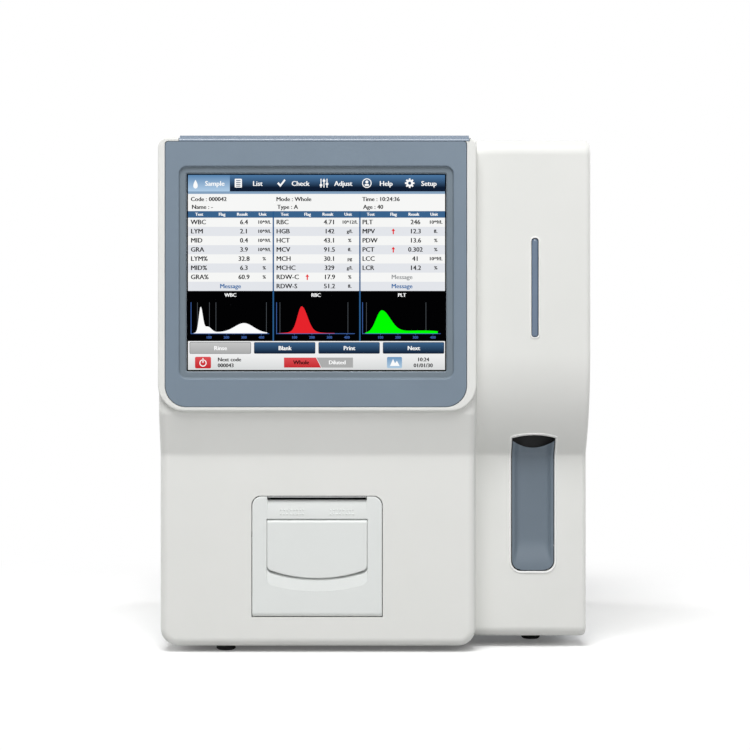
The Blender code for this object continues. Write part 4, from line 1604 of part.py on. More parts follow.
def make_board():
    right = DIVIDER_LEFT - GAP - BOARD_STANDOFF
    left = right - BOARD_THICKNESS
    plate = block((left, BOARD_Y, BOARD_Z), (right, BOARD_Y + BOARD_LENGTH, BOARD_Z + BOARD_HEIGHT))
    standoffs = []
    for along in STANDOFF_SHARES:
        for up in STANDOFF_SHARES:
            standoffs.append(rod("X", (BOARD_Y + BOARD_LENGTH * along, BOARD_Z + BOARD_HEIGHT * up),
                                 BOARD_STANDOFF_RADIUS, right - GAP, right + BOARD_STANDOFF, SMALL_SEGMENTS))
    parts = []
    for along, up, length, height, stand in BOARD_PART_SHARES:
        y = BOARD_Y + BOARD_LENGTH * along
        z = BOARD_Z + BOARD_HEIGHT * up
        parts.append(block((left - BOARD_PART_HEIGHT * stand, y - BOARD_LENGTH * length / 2,
                            z - BOARD_HEIGHT * height / 2),
                           (left + GAP, y + BOARD_LENGTH * length / 2, z + BOARD_HEIGHT * height / 2)))
    piece("main_board", CIRCUIT_BOARD, plate, add=[joined(*standoffs), joined(*parts)])


def make_supply():
    pan_z = CASE_BOTTOM + SHEET + GAP
    left = LEFT_X + SHEET + SUPPLY_LEFT_INSET
    end = PANEL_BACK_Y - SUPPLY_REAR_MARGIN
    low = (left, end - SUPPLY_LENGTH, pan_z)
    high = (left + SUPPLY_WIDTH, end, pan_z + SUPPLY_HEIGHT)
    inside = block((left + SUPPLY_WALL, end - SUPPLY_LENGTH - OVERRUN, pan_z + SUPPLY_WALL),
                   (left + SUPPLY_WIDTH - SUPPLY_WALL, end - SUPPLY_WALL,
                    pan_z + SUPPLY_HEIGHT - SUPPLY_WALL))
    piece("power_supply", ZINC_SHEET, block(low, high), cut=[inside])


def main():
    clear_scene()
    make_left_front_cover()
    make_bezel()
    make_screen()
    make_tower_cover()
    make_status_light()
    make_aspirate_key()
    make_printer_door()
    make_printer_handle()
    make_platen()
    make_printer_bucket()
    make_case()
    make_rear()
    make_inlet()
    make_fan()
    make_feet()
    make_probe_frame()
    make_carriage()
    make_belt_drive()
    make_baths()
    make_syringe()
    make_pump_and_valves()
    make_board()
    make_supply()


main()
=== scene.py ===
"""Benchtop hematology analyzer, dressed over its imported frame.

Metres, +Z up, front towards -Y. Sizes that the CAD model has are read from its boxes, and the rest
are named below. The object's pieces come first, then its finishes, the studio and the screen's picture.
"""
import json
import math

import bmesh
import bpy
from mathutils import Matrix, Vector

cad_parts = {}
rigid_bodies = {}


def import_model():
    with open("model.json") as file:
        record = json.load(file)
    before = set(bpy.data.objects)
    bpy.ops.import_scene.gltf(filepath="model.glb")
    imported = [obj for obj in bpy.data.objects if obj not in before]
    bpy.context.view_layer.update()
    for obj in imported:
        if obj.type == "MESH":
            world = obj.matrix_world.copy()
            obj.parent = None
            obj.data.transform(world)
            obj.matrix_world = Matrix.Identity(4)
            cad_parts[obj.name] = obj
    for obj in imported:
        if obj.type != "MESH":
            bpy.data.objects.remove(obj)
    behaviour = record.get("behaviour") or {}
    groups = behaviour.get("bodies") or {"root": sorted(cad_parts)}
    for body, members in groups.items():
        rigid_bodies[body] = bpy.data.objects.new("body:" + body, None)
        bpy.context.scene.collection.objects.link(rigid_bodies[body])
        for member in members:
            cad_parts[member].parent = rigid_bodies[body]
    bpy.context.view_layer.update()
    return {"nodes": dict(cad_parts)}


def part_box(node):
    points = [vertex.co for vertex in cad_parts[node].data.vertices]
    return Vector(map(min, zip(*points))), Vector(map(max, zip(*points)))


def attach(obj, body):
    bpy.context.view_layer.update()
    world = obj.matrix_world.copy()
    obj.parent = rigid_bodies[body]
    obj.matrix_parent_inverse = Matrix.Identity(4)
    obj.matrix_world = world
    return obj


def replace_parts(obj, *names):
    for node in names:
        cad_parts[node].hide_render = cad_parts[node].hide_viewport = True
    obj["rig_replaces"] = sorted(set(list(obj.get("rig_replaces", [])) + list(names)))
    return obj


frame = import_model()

# Places from the frame
LEFT_X, FRONT_Y, CASE_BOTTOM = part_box("left_front_cover")[0]
SPLIT_X, SEAM_Y, CASE_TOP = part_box("left_front_cover")[1]
TOWER_LEFT, TOWER_Y, TOWER_BOTTOM_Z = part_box("tower_front_cover")[0]
RIGHT_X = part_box("tower_front_cover")[1].x
BEZEL_LEFT, BEZEL_FRONT_Y, BEZEL_BOTTOM_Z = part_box("screen_bezel")[0]
BEZEL_RIGHT, BEZEL_BACK_Y, BEZEL_TOP_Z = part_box("screen_bezel")[1]
GLASS_LOW, GLASS_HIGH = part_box("touch_glass")
LCD_LOW, LCD_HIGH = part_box("lcd_module")
STRIP_LOW, STRIP_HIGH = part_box("bezel_top_strip")
LIGHT_LOW, LIGHT_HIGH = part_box("status_light_pipe")
KEY_LOW, KEY_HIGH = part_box("aspirate_key")
DOOR_LOW, DOOR_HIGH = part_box("printer_door")
HANDLE_LOW, HANDLE_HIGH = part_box("printer_handle")
TEAR_LOW, TEAR_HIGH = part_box("tear_bar")
COVER_LOW, COVER_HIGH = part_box("top_cover")
PANEL_LOW, PANEL_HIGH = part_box("left_side_panel")
REAR_LOW, REAR_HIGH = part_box("rear_panel")
GUARD_LOW, GUARD_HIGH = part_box("fan_guard")
INLET_LOW, INLET_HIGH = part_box("power_inlet")
PORTS_LOW, PORTS_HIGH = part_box("data_ports")
BARBS_LOW, BARBS_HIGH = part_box("reagent_ports")

# Sizes of the shell that the boxes don't give
GAP = 0.0003
OVERRUN = 0.003
SHEET = 0.0015
HOUSING_WALL = 0.0025
EDGE_RADIUS = 0.007
TOP_CORNER_RADIUS = 0.008
BOTTOM_CORNER_RADIUS = 0.0145
HOOD_STEP = 0.004
HOOD_DEPTH = 0.012
HOOD_INSET = 0.0002
HOOD_EDGE = 0.0016
HOOD_BOTTOM_Z = 0.1988
HOOD_CORNER_RADIUS = 0.0215
SLOPE_TOP_Z = 0.197
SLOPE_BOTTOM_Z = 0.1626
FACE_Y = FRONT_Y + 0.016
SLOPE_FILLET = 0.012
BEZEL_CORNER_RADIUS = 0.0175
BEZEL_TOP_CORNER_RADIUS = 0.0025
BEZEL_EDGE = 0.0009
BEZEL_RIM = 0.0006
STRIP_EDGE = 0.00012
STRIP_NOSE_RADIUS = 0.0032
STRIP_NOSE_DEPTH = 0.0037
STRIP_REBATE = 0.001
STRIP_STEP_BACK = 0.0068
STRIP_STEP_WIDTH = 0.0005
GLASS_MARGIN = 0.0015
WINDOW_CORNER_RADIUS = 0.0015
RECESS_MARGIN = 0.0057
RECESS_DEPTH = 0.003
RECESS_CORNER_RADIUS = 0.0065
WINDOW_LEFT = GLASS_LOW.x + GLASS_MARGIN
WINDOW_RIGHT = GLASS_HIGH.x - GLASS_MARGIN
WINDOW_BOTTOM = GLASS_LOW.z + GLASS_MARGIN
WINDOW_TOP = GLASS_HIGH.z - GLASS_MARGIN
TOWER_TOP_FILLET = 0.013
TOWER_EDGE_RADIUS = 0.004
TOWER_SEAM_RADIUS = 0.0008
OVERHANG_TOP_Z = 0.245
OVERHANG_RADIUS = 0.120
OVERHANG_DEPTH = 0.033
CREASE_FILLET = 0.005
TOWER_BOTTOM_FILLET = 0.009
WALL_Y = TOWER_Y + OVERHANG_DEPTH
OVERHANG_ANGLE = math.acos(1 - OVERHANG_DEPTH / OVERHANG_RADIUS)
CREASE_Z = OVERHANG_TOP_Z - OVERHANG_RADIUS * math.sin(OVERHANG_ANGLE)

# Start key and its opening
KEY_CLEARANCE = 0.0007
BAY_X = (KEY_LOW.x + KEY_HIGH.x) / 2
BAY_HALF = (KEY_HIGH.x - KEY_LOW.x) / 2 + KEY_CLEARANCE
BAY_BOTTOM_Z = KEY_LOW.z - KEY_CLEARANCE
BAY_SIDE_TOP_Z = 0.1759
BAY_ARCH = 0.0025
BAY_CORNER_RADIUS = 0.0084
BAY_LIP = 0.0015
BAY_LIP_RISE = 0.0008
KEY_HALF = BAY_HALF - KEY_CLEARANCE
KEY_TOP_Z = 0.1735
KEY_THICKNESS = 0.0024
KEY_DISH = 0.0035
KEY_SIDE_SLOPE = 0.0054
KEY_END_SLOPE = 0.026
KEY_RIM = 0.0008
KEY_NOTCH = 0.006
KEY_ROWS = 64
KEY_COLUMNS = 28
KEY_PIVOT_Z = 0.152
KEY_PIVOT_Y = WALL_Y + 0.0125
KEY_PIN_RADIUS = 0.0018
KEY_LUG_WIDTH = 0.003
KEY_LUG_RADIUS = 0.0035
SHROUD_WALL = 0.001
SHROUD_REACH = 0.0050
SHROUD_TOP_Z = 0.1915
BRACKET_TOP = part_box("key_bracket")[1]

# Status light
LIGHT_X = (LIGHT_LOW.x + LIGHT_HIGH.x) / 2
LIGHT_DOME = 0.0012
LIGHT_END_SHARE = 0.9
LIGHT_LIP = 0.0012
LIGHT_LIP_RISE = 0.0006

# Printer
PRINTER_X = (DOOR_LOW.x + DOOR_HIGH.x) / 2
PRINTER_HALF = (DOOR_HIGH.x - DOOR_LOW.x) / 2
PRINTER_BOTTOM_Z = DOOR_LOW.z
PRINTER_TOP_Z = TEAR_HIGH.z
PRINTER_CORNER_RADIUS = 0.0077
DOOR_THICKNESS = 0.0024
DOOR_GAP = 0.0005
DOOR_EDGE = 0.0008
DOOR_INNER_EDGE = 0.0002
DOOR_HINGE_RADIUS = 0.0034
DOOR_KNUCKLE_RADIUS = 0.0030
DOOR_PIN_RADIUS = 0.0010
DOOR_EAR_RADIUS = 0.0018
DOOR_EAR_WIDTH = 0.004
DOOR_EAR_INSET = 0.0022
DOOR_ARM_WIDTH = 0.0025
DOOR_ARM_INSET = 0.0095
DOOR_DOT_RADIUS = 0.00075
DOOR_DOT_RISE = 0.9
DOOR_DOT_PITCH = 0.00265
DOOR_DOT_ROW_PITCH = 0.0034
DOOR_DOT_DROP = 0.0111
DOOR_DOT_COUNT = 8
DOOR_DOT_ROWS = 2
DOOR_DOT_SPREAD = 0.0297
SLOT_HALF = TEAR_HIGH.x - PRINTER_X + GAP
SLOT_HEIGHT = 0.0017
LIP_DEPTH = 0.0022
LIP_HEIGHT = 0.0098
LIP_Z = TEAR_LOW.z - SLOT_HEIGHT
HINGE_Y = FACE_Y + DOOR_HINGE_RADIUS
HINGE_Z = PRINTER_BOTTOM_Z + DOOR_HINGE_RADIUS
PLATEN_Y = FACE_Y + 0.012
PLATEN_Z = PRINTER_TOP_Z - 0.0105
PLATEN_RADIUS = 0.0055
PLATEN_SHAFT_RADIUS = 0.0023
PLATEN_ARM_HEIGHT = 0.011
HANDLE_HALF = 0.0412
HANDLE_TOP_Z = HANDLE_HIGH.z
HANDLE_SAG = 0.0073
HANDLE_SIDE_Z = HANDLE_LOW.z + HANDLE_SAG
HANDLE_CORNER_RADIUS = 0.0045
HANDLE_EDGE = 0.0009
HANDLE_THICKNESS = 0.0022
HANDLE_PIVOT_DEPTH = 0.0034
HANDLE_PIVOT_Y = FACE_Y + HANDLE_PIVOT_DEPTH
HANDLE_PIVOT_Z = HANDLE_TOP_Z - HANDLE_PIVOT_DEPTH
HANDLE_BARREL_RADIUS = 0.0021
HANDLE_PIN_RADIUS = 0.0007
HANDLE_PIN_ROOM = 0.0001
POCKET_DEPTH = 0.0075
POCKET_WALL = 0.0018
POCKET_DROP = 0.0102
POCKET_SIDE_DROP = 0.0119
POCKET_FLOOR_RISE = 0.0132
SCOOP_SLOPE_DEPTH = 0.0013
SCOOP_SLOPE_RISE = 0.0085
SCOOP_DEPTH = 0.0031
SCOOP_RISE = 0.0102
POCKET_CORNER_RADIUS = 0.006

# Panels and screws
VENT_COUNT = 12
VENT_PITCH = 0.008
VENT_HEIGHT = 0.003
VENT_LENGTH = 0.070
VENT_BOTTOM_Z = 0.060
VENT_REAR_MARGIN = 0.035
SCREW_RADIUS = 0.0030
SCREW_TIP = SCREW_RADIUS * 0.6
SCREW_SINK_SHARE = 0.8
SCREW_HEAD_SHARE = 0.7
SCREW_MARGIN = 0.012
PAN_HEAD_HEIGHT = 0.0018
PAN_HEAD_DOME = ((1.0, 1 / 3), (0.85, 0.75), (0.5, 1.0))
CROSS_REACH = 0.0015
CROSS_WIDTH = 0.0006
CROSS_DEPTH = 0.0010
GUARD_WIRE = 0.0016
GUARD_RINGS = 3
GUARD_BORE = 0.0375
GUARD_SCREW_OFFSET = 0.03575
GUARD_EYE = 0.0031
REAR_Y = COVER_HIGH.y
REAR_SCREW_MARGIN = 0.0075
REAR_SCREW_RISE = REAR_SCREW_MARGIN * 1.4
REAR_SCREW_ROWS = 4
PORT_DEPTH = 0.012
PORT_WALL = 0.0012
PORT_Z = (PORTS_LOW.z + PORTS_HIGH.z) / 2
SERIAL_X = LEFT_X + 0.042
SERIAL_WIDTH = 0.031
SERIAL_HEIGHT = 0.0125
NETWORK_X = LEFT_X + 0.079
NETWORK_WIDTH = 0.0165
NETWORK_HEIGHT = 0.0140
USB_PLACES = (LEFT_X + 0.105, LEFT_X + 0.121)
USB_WIDTH = 0.0080
USB_HEIGHT = 0.0160
BARB_X = BARBS_LOW.x + 0.0065
BARB_PITCH = (BARBS_HIGH.x - BARBS_LOW.x - 0.0130) / 3
BARB_Z = (BARBS_LOW.z + BARBS_HIGH.z) / 2
BARB_FLANGE = 0.002
BARB_RADIUS = 0.0035
BARB_FLANGE_RADIUS = 0.0065
PORT_COLOURS = {"green": "5E9A5B", "blue": "4E7FB4", "yellow": "D9B93A", "red": "B9473F"}
ROCKER_LOW, ROCKER_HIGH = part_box("power_switch")
ROCKER_PIN_RADIUS = 0.0012
SWITCH_PIVOT_DEPTH = 0.002
MARK_SIZE = 0.0044
MARK_WIDTH = 0.0008
MARK_RISE = 0.00012
INLET_FLANGE = 0.0025
INLET_SOCKET_DEPTH = 0.0165
INLET_PIN_X = INLET_LOW.x + 0.0195
INLET_PIN_PITCH = 0.007
INLET_PIN_WIDTH = 0.0021
INLET_PIN_HEIGHT = 0.004
INLET_PIN_LENGTH = 0.0106
SERIAL_PIN_PITCH = 0.0028
SERIAL_PIN_RADIUS = 0.0005
SERIAL_PIN_ROWS = ((1, 5), (-1, 4))
NETWORK_CONTACTS = 8
NETWORK_PITCH = 0.00127
USB_CONTACTS = 4
USB_PITCH = 0.00252
FOOT_RADIUS = 0.0080
FOOT_TIP_RADIUS = 0.0072
FOOT_TAPER = 0.0012

# Fineness of round shapes and edges
CORNER_STEPS = 8
WIDE_CORNER_STEPS = 14
QUARTER_ANGLES = [math.pi / 2 * step / CORNER_STEPS for step in range(CORNER_STEPS + 1)]
ROUND_SEGMENTS = 40
SMALL_SEGMENTS = 20
FINE_SEGMENTS = 72
SURFACE_PITCH = 0.002
EDGE = 0.00035
EDGE_STEPS = 2
EDGE_LIMIT = math.radians(38)
WELD_DISTANCE = 0.000002
SLIVER_SIDES = 8
CARRIED_EDGE = 0.0002

# Camera, lamps and studio
CAMERA_PLACE = (0.0, -1.690, 0.2284)
LENS = 88.5
SENSOR_WIDTH = 36.0
LAMP_TARGET = (0.0, 0.0, 0.20)
KEY_LAMP_PLACE = (-0.25, -1.80, 3.00)
KEY_LAMP_SIZE = 1.4
KEY_LAMP_POWER = 80.0
FRONT_LAMP_PLACE = (0.45, -2.60, 1.50)
FRONT_LAMP_SIZE = 1.2
FRONT_LAMP_POWER = 15.0
REAR_LAMP_PLACE = (-2.5, 1.2, 1.3)
REAR_LAMP_SIZE = 1.6
REAR_LAMP_POWER = 30.0
ROOM_LIGHT = 0.17
FLOOR_SIZE = 14.0
FLOOR_GLOW = 0.10
FLOOR_LIT_REACH = 0.30
FLOOR_WHITE_REACH = 0.70


def joined(*shapes):
    """One mesh of several solids that don't touch."""
    points = []
    faces = []
    for shape_points, shape_faces in shapes:
        start = len(points)
        points.extend(shape_points)
        faces.extend([[start + index for index in face] for face in shape_faces])
    return points, faces


def loft(rings, closed=False, caps="plain"):
    """Skin over rings of equally many points. Strip caps join each point to its mirror point."""
    count = len(rings[0])
    points = [Vector(point) for ring in rings for point in ring]
    faces = []
    last = len(rings) if closed else len(rings) - 1
    for row in range(last):
        here = row * count
        there = ((row + 1) % len(rings)) * count
        for index in range(count):
            following = (index + 1) % count
            faces.append([here + index, here + following, there + following, there + index])
    if closed:
        return points, faces
    for start in (0, (len(rings) - 1) * count):
        if caps == "plain":
            faces.append([start + index for index in range(count)])
            continue
        for index in range(count // 2 - 1):
            mirror = count - 1 - index
            faces.append([start + index, start + index + 1, start + mirror - 1, start + mirror])
    return points, faces


def placed(axis, point, depth):
    """Place in space of a point, given across an axis in X, Y, Z order, at a depth along that axis."""
    place = list(point)
    place.insert("XYZ".index(axis), depth)
    return tuple(place)


def layered(axis, layers):
    """Skin over outlines, each with its depth along an axis."""
    return loft([[placed(axis, point, depth) for point in outline] for outline, depth in layers])


def prism(outline, axis, start, end):
    return layered(axis, [(outline, start), (outline, end)])


def block(low, high):
    (x0, y0, z0), (x1, y1, z1) = low, high
    return prism([(x0, y0), (x1, y0), (x1, y1), (x0, y1)], "Z", z0, z1)


def circle(radius, segments, first=0.0, second=0.0):
    steps = [2 * math.pi * step / segments for step in range(segments)]
    return [(first + radius * math.cos(angle), second + radius * math.sin(angle)) for angle in steps]


def rod(axis, centre, radius, start, end, segments=ROUND_SEGMENTS):
    return prism(circle(radius, segments, *centre), axis, start, end)


def stepped(axis, centre, steps, segments=ROUND_SEGMENTS):
    """Solid turned on an axis from its steps, as (radius, place along the axis)."""
    return layered(axis, [(circle(radius, segments, *centre), depth) for radius, depth in steps])


def turned(axis, centre, profile, segments=ROUND_SEGMENTS):
    """Ring turned round an axis from a closed profile of (radius, place along the axis)."""
    first, second = centre
    rings = []
    for step in range(segments):
        angle = 2 * math.pi * step / segments
        across, up = math.cos(angle), math.sin(angle)
        rings.append([placed(axis, (first + radius * across, second + radius * up), depth)
                      for radius, depth in profile])
    return loft(rings, closed=True)


def arc(centre, radius, start, end, steps):
    first, second = centre
    angles = [start + (end - start) * step / steps for step in range(steps + 1)]
    return [(first + radius * math.cos(angle), second + radius * math.sin(angle)) for angle in angles]


def quarter():
    """Shares of a quarter round edge: how far it is drawn in and how far it is set back."""
    return [(1 - math.cos(angle), 1 - math.sin(angle)) for angle in QUARTER_ANGLES]


def filleted(corners, radii, closed=True, steps=CORNER_STEPS):
    """Polyline whose corners are rounded to the given radii."""
    path = []
    count = len(corners)
    for index, (corner, radius) in enumerate(zip(corners, radii)):
        here = Vector(corner)
        if radius == 0 or (not closed and index in (0, count - 1)):
            path.append(tuple(here))
            continue
        back = (Vector(corners[index - 1]) - here).normalized()
        ahead = (Vector(corners[(index + 1) % count]) - here).normalized()
        half = back.angle(ahead) / 2
        start = here + back * radius / math.tan(half)
        end = here + ahead * radius / math.tan(half)
        centre = here + (back + ahead).normalized() * radius / math.sin(half)
        turn = (start - centre).angle_signed(end - centre)
        for step in range(steps + 1):
            arm = (start - centre).copy()
            arm.rotate(Matrix.Rotation(-turn * step / steps, 2))
            path.append(tuple(centre + arm))
    return path


def rectangle(left, bottom, right, top, bottom_radius=0.0, top_radius=0.0, steps=CORNER_STEPS):
    corners = [(left, bottom), (right, bottom), (right, top), (left, top)]
    radii = [bottom_radius, bottom_radius, top_radius, top_radius]
    return filleted(corners, radii, steps=steps)


def offset(path, distance):
    """Open path moved sideways to its left by a distance, with mitred corners."""
    moved_path = []
    for index, point in enumerate(path):
        here = Vector(point)
        normals = []
        if index > 0:
            along = (here - Vector(path[index - 1])).normalized()
            normals.append(Vector((-along.y, along.x)))
        if index < len(path) - 1:
            along = (Vector(path[index + 1]) - here).normalized()
            normals.append(Vector((-along.y, along.x)))
        mean = sum(normals, Vector((0.0, 0.0))).normalized()
        moved_path.append(tuple(here + mean * distance / mean.dot(normals[0])))
    return moved_path


def strip(path, thickness):
    """Closed outline of a sheet bent along an open path."""
    return path + offset(path, thickness)[::-1]


def read_height(profile, z):
    """Depth of a front face at a height, from its profile of (y, z) going down."""
    for (y0, z0), (y1, z1) in zip(profile, profile[1:]):
        if z1 <= z <= z0 and z0 > z1:
            return y0 + (y1 - y0) * (z0 - z) / (z0 - z1)
    return profile[0][0] if z > profile[0][1] else profile[-1][0]


def housing_profile():
    """Front of the screen housing behind its hood, as (y, z) going down."""
    corners = [(FRONT_Y + HOOD_STEP, CASE_TOP), (FRONT_Y + HOOD_STEP, SLOPE_TOP_Z),
               (FACE_Y, SLOPE_BOTTOM_Z), (FACE_Y, CASE_BOTTOM)]
    return filleted(corners, [0.0, SLOPE_FILLET, SLOPE_FILLET, 0.0], closed=False)


def housing_ring(inset, setback):
    """Ring round the housing: down its right side and up its left, drawn in by an inset."""
    profile = housing_profile()
    top_reach = TOP_CORNER_RADIUS - inset
    right = [(TOP_CORNER_RADIUS - top_reach * math.sin(angle),
              CASE_TOP - TOP_CORNER_RADIUS + top_reach * math.cos(angle)) for angle in QUARTER_ANGLES]
    right += [(inset, z) for _, z in profile[1:-1]]
    low_reach = BOTTOM_CORNER_RADIUS - inset
    right += [(BOTTOM_CORNER_RADIUS - low_reach * math.cos(angle),
               CASE_BOTTOM + BOTTOM_CORNER_RADIUS - low_reach * math.sin(angle)) for angle in QUARTER_ANGLES]
    down = [(SPLIT_X - margin, read_height(profile, z) + setback, z) for margin, z in right]
    up = [(LEFT_X + margin, read_height(profile, z) + setback, z) for margin, z in right]
    return down + up[::-1]


def housing_block(inset, setback, radius, back_y):
    """Solid inside the housing's skin, drawn in by an inset, with rounded front edges."""
    rings = [[(x, back_y, z) for x, _, z in housing_ring(inset, setback)]]
    rings += [housing_ring(inset + radius * across, setback + radius * back) for across, back in quarter()]
    return loft(rings, caps="strips")


def plain_object(name, shape):
    points, faces = shape
    mesh = bpy.data.meshes.new(name)
    model = bmesh.new()
    vertices = [model.verts.new(point) for point in points]
    for face in faces:
        model.faces.new([vertices[index] for index in face])
    bmesh.ops.recalc_face_normals(model, faces=model.faces)
    model.to_mesh(mesh)
    model.free()
    made = bpy.data.objects.new(name, mesh)
    bpy.context.scene.collection.objects.link(made)
    return made


def carved(target, add, cut):
    """Joins shapes to an object and cuts shapes from it, and leaves one plain mesh."""
    helpers = []
    for operation, shapes in (("UNION", add), ("DIFFERENCE", cut)):
        for extra in shapes:
            helper = plain_object(f"{target.name}_helper", extra)
            helpers.append(helper)
            modifier = target.modifiers.new("carve", "BOOLEAN")
            modifier.operation = operation
            modifier.solver = "EXACT"
            modifier.object = helper
    evaluated = target.evaluated_get(bpy.context.evaluated_depsgraph_get())
    mesh = bpy.data.meshes.new_from_object(evaluated)
    target.modifiers.clear()
    target.data = mesh
    for helper in helpers:
        bpy.data.objects.remove(helper, do_unlink=True)


def soften(target, edge, segments=EDGE_STEPS):
    """Rounds the sharp edges of a mesh a little, as moulding and bending leave them."""
    bevel = target.modifiers.new("edge", "BEVEL")
    bevel.width = edge
    bevel.segments = segments
    bevel.limit_method = "ANGLE"
    bevel.angle_limit = EDGE_LIMIT
    bevel.use_clamp_overlap = False


def piece(name, body, slot, shape, stands_for=(), add=(), cut=(), edge=EDGE, finish=None):
    """One piece of the object on its body, with its finish and soft edges."""
    made = plain_object(name, shape)
    if add or cut:
        carved(made, add, cut)
    model = bmesh.new()
    model.from_mesh(made.data)
    bmesh.ops.remove_doubles(model, verts=model.verts, dist=WELD_DISTANCE)
    bmesh.ops.holes_fill(model, edges=model.edges, sides=SLIVER_SIDES)
    model.to_mesh(made.data)
    model.free()
    made.data.materials.clear()
    made.data.materials.append(finish or FINISHES[slot])
    made.data.shade_smooth()
    if edge:
        soften(made, edge)
    else:
        made.data.set_sharp_from_angle(angle=EDGE_LIMIT)
    made.modifiers.new("shading", "WEIGHTED_NORMAL").keep_sharp = True
    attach(made, body)
    if stands_for:
        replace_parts(made, *stands_for)
    return made


def ring_at(outline, y):
    return [(x, y, z) for x, z in outline]


def bezel_outline(margin=0.0):
    """Outline of the bezel. Its top edge butts against the strip, so it isn't drawn in."""
    corner = BEZEL_CORNER_RADIUS + min(margin, 0.0)
    top_corner = BEZEL_TOP_CORNER_RADIUS + min(margin, 0.0)
    return rectangle(BEZEL_LEFT - margin, BEZEL_BOTTOM_Z - margin, BEZEL_RIGHT + margin,
                     BEZEL_TOP_Z + max(margin, 0.0), corner, top_corner, WIDE_CORNER_STEPS)


def window_outline(margin, radius):
    return rectangle(WINDOW_LEFT - margin, WINDOW_BOTTOM - margin, WINDOW_RIGHT + margin,
                     WINDOW_TOP + margin, radius, radius, WIDE_CORNER_STEPS)


def rounded_steps(thickness, edge):
    """Steps of a slab with a rounded front edge: how far it is drawn in and how far it is set back."""
    return [(0.0, thickness)] + [(inset * edge, depth * edge) for inset, depth in quarter()]


def hood_block():
    """Raised plateau round the screen, with rounded edges."""
    rings = []
    for drawn_in, depth in rounded_steps(HOOD_DEPTH, HOOD_EDGE):
        margin = HOOD_INSET + drawn_in
        outline = rectangle(LEFT_X + margin, HOOD_BOTTOM_Z + drawn_in, SPLIT_X - margin, CASE_TOP - margin,
                            HOOD_CORNER_RADIUS - drawn_in, TOP_CORNER_RADIUS - drawn_in, WIDE_CORNER_STEPS)
        rings.append(ring_at(outline, FRONT_Y + depth))
    return loft(rings)


def printer_outline(margin=0.0):
    return rectangle(PRINTER_X - PRINTER_HALF - margin, PRINTER_BOTTOM_Z - margin,
                     PRINTER_X + PRINTER_HALF + margin, PRINTER_TOP_Z + margin, 0.0, PRINTER_CORNER_RADIUS)


def make_left_front_cover():
    cavity = housing_block(HOUSING_WALL, HOUSING_WALL, EDGE_RADIUS - HOUSING_WALL, SEAM_Y + OVERRUN)
    nose_cut = block((STRIP_LOW.x - GAP, FRONT_Y - OVERRUN, BEZEL_TOP_Z),
                     (STRIP_HIGH.x + GAP, STRIP_LOW.y + STRIP_NOSE_DEPTH, CASE_TOP + OVERRUN))
    top_cut = block((STRIP_LOW.x - GAP, FRONT_Y - OVERRUN, CASE_TOP - STRIP_REBATE),
                    (STRIP_HIGH.x + GAP, STRIP_HIGH.y + GAP, CASE_TOP + OVERRUN))
    cuts = [cavity,
            prism(bezel_outline(GAP), "Y", FRONT_Y - OVERRUN, FRONT_Y + HOOD_DEPTH + OVERRUN),
            prism(printer_outline(DOOR_GAP), "Y", FACE_Y - OVERRUN, FACE_Y + HOUSING_WALL + OVERRUN),
            nose_cut, top_cut]
    piece("front_housing", "case", "white_abs", housing_block(0.0, 0.0, EDGE_RADIUS, SEAM_Y),
          ["left_front_cover"], add=[hood_block()], cut=cuts)


def make_bezel():
    """Surround with a rounded rim and a window whose walls slope in to the glass."""
    rings = [ring_at(bezel_outline(), BEZEL_BACK_Y)]
    for inset, depth in quarter():
        rings.append(ring_at(bezel_outline(-inset * BEZEL_RIM), BEZEL_FRONT_Y + depth * BEZEL_RIM))
    window = [(RECESS_MARGIN + inset * BEZEL_EDGE, RECESS_CORNER_RADIUS + inset * BEZEL_EDGE,
               BEZEL_FRONT_Y + depth * BEZEL_EDGE) for inset, depth in quarter()[::-1]]
    flat_y = BEZEL_FRONT_Y + RECESS_DEPTH - BEZEL_EDGE
    window += [(RECESS_MARGIN - BEZEL_EDGE / 2, RECESS_CORNER_RADIUS, flat_y - BEZEL_EDGE / 2),
               (RECESS_MARGIN - BEZEL_EDGE, RECESS_CORNER_RADIUS - BEZEL_EDGE, flat_y),
               (BEZEL_EDGE, WINDOW_CORNER_RADIUS + BEZEL_EDGE, flat_y),
               (0.0, WINDOW_CORNER_RADIUS, BEZEL_FRONT_Y + RECESS_DEPTH),
               (0.0, WINDOW_CORNER_RADIUS, BEZEL_BACK_Y)]
    rings += [ring_at(window_outline(margin, radius), y) for margin, radius, y in window]
    made = piece("bezel", "case", "blue_grey_abs", loft(rings, closed=True), ["screen_bezel"], edge=0)
    # The sunk border gets a darker copy of the blue-grey: painted shade in the recess.
    made.data.materials.append(SUNK_BORDER_PAINTED_SHADE_FINISH)
    for face in made.data.polygons:
        if BEZEL_FRONT_Y + BEZEL_EDGE < face.center.y < BEZEL_FRONT_Y + RECESS_DEPTH + GAP:
            face.material_index = 1


def strip_profile():
    """Section of the strip, as (y, z): a nose over the edge and a raised slab behind it."""
    nose_y = STRIP_LOW.y
    under_z = CASE_TOP - STRIP_REBATE + GAP
    nose = filleted([(nose_y, STRIP_LOW.z), (nose_y, CASE_TOP), (nose_y + STRIP_STEP_BACK, CASE_TOP)],
                    [0.0, STRIP_NOSE_RADIUS, 0.0], closed=False)
    step_y = nose_y + STRIP_STEP_BACK + STRIP_STEP_WIDTH
    inner_y = nose_y + STRIP_NOSE_DEPTH - GAP
    return nose + [(step_y, STRIP_HIGH.z), (STRIP_HIGH.y, STRIP_HIGH.z), (STRIP_HIGH.y, under_z),
                   (inner_y, under_z), (inner_y, STRIP_LOW.z)]


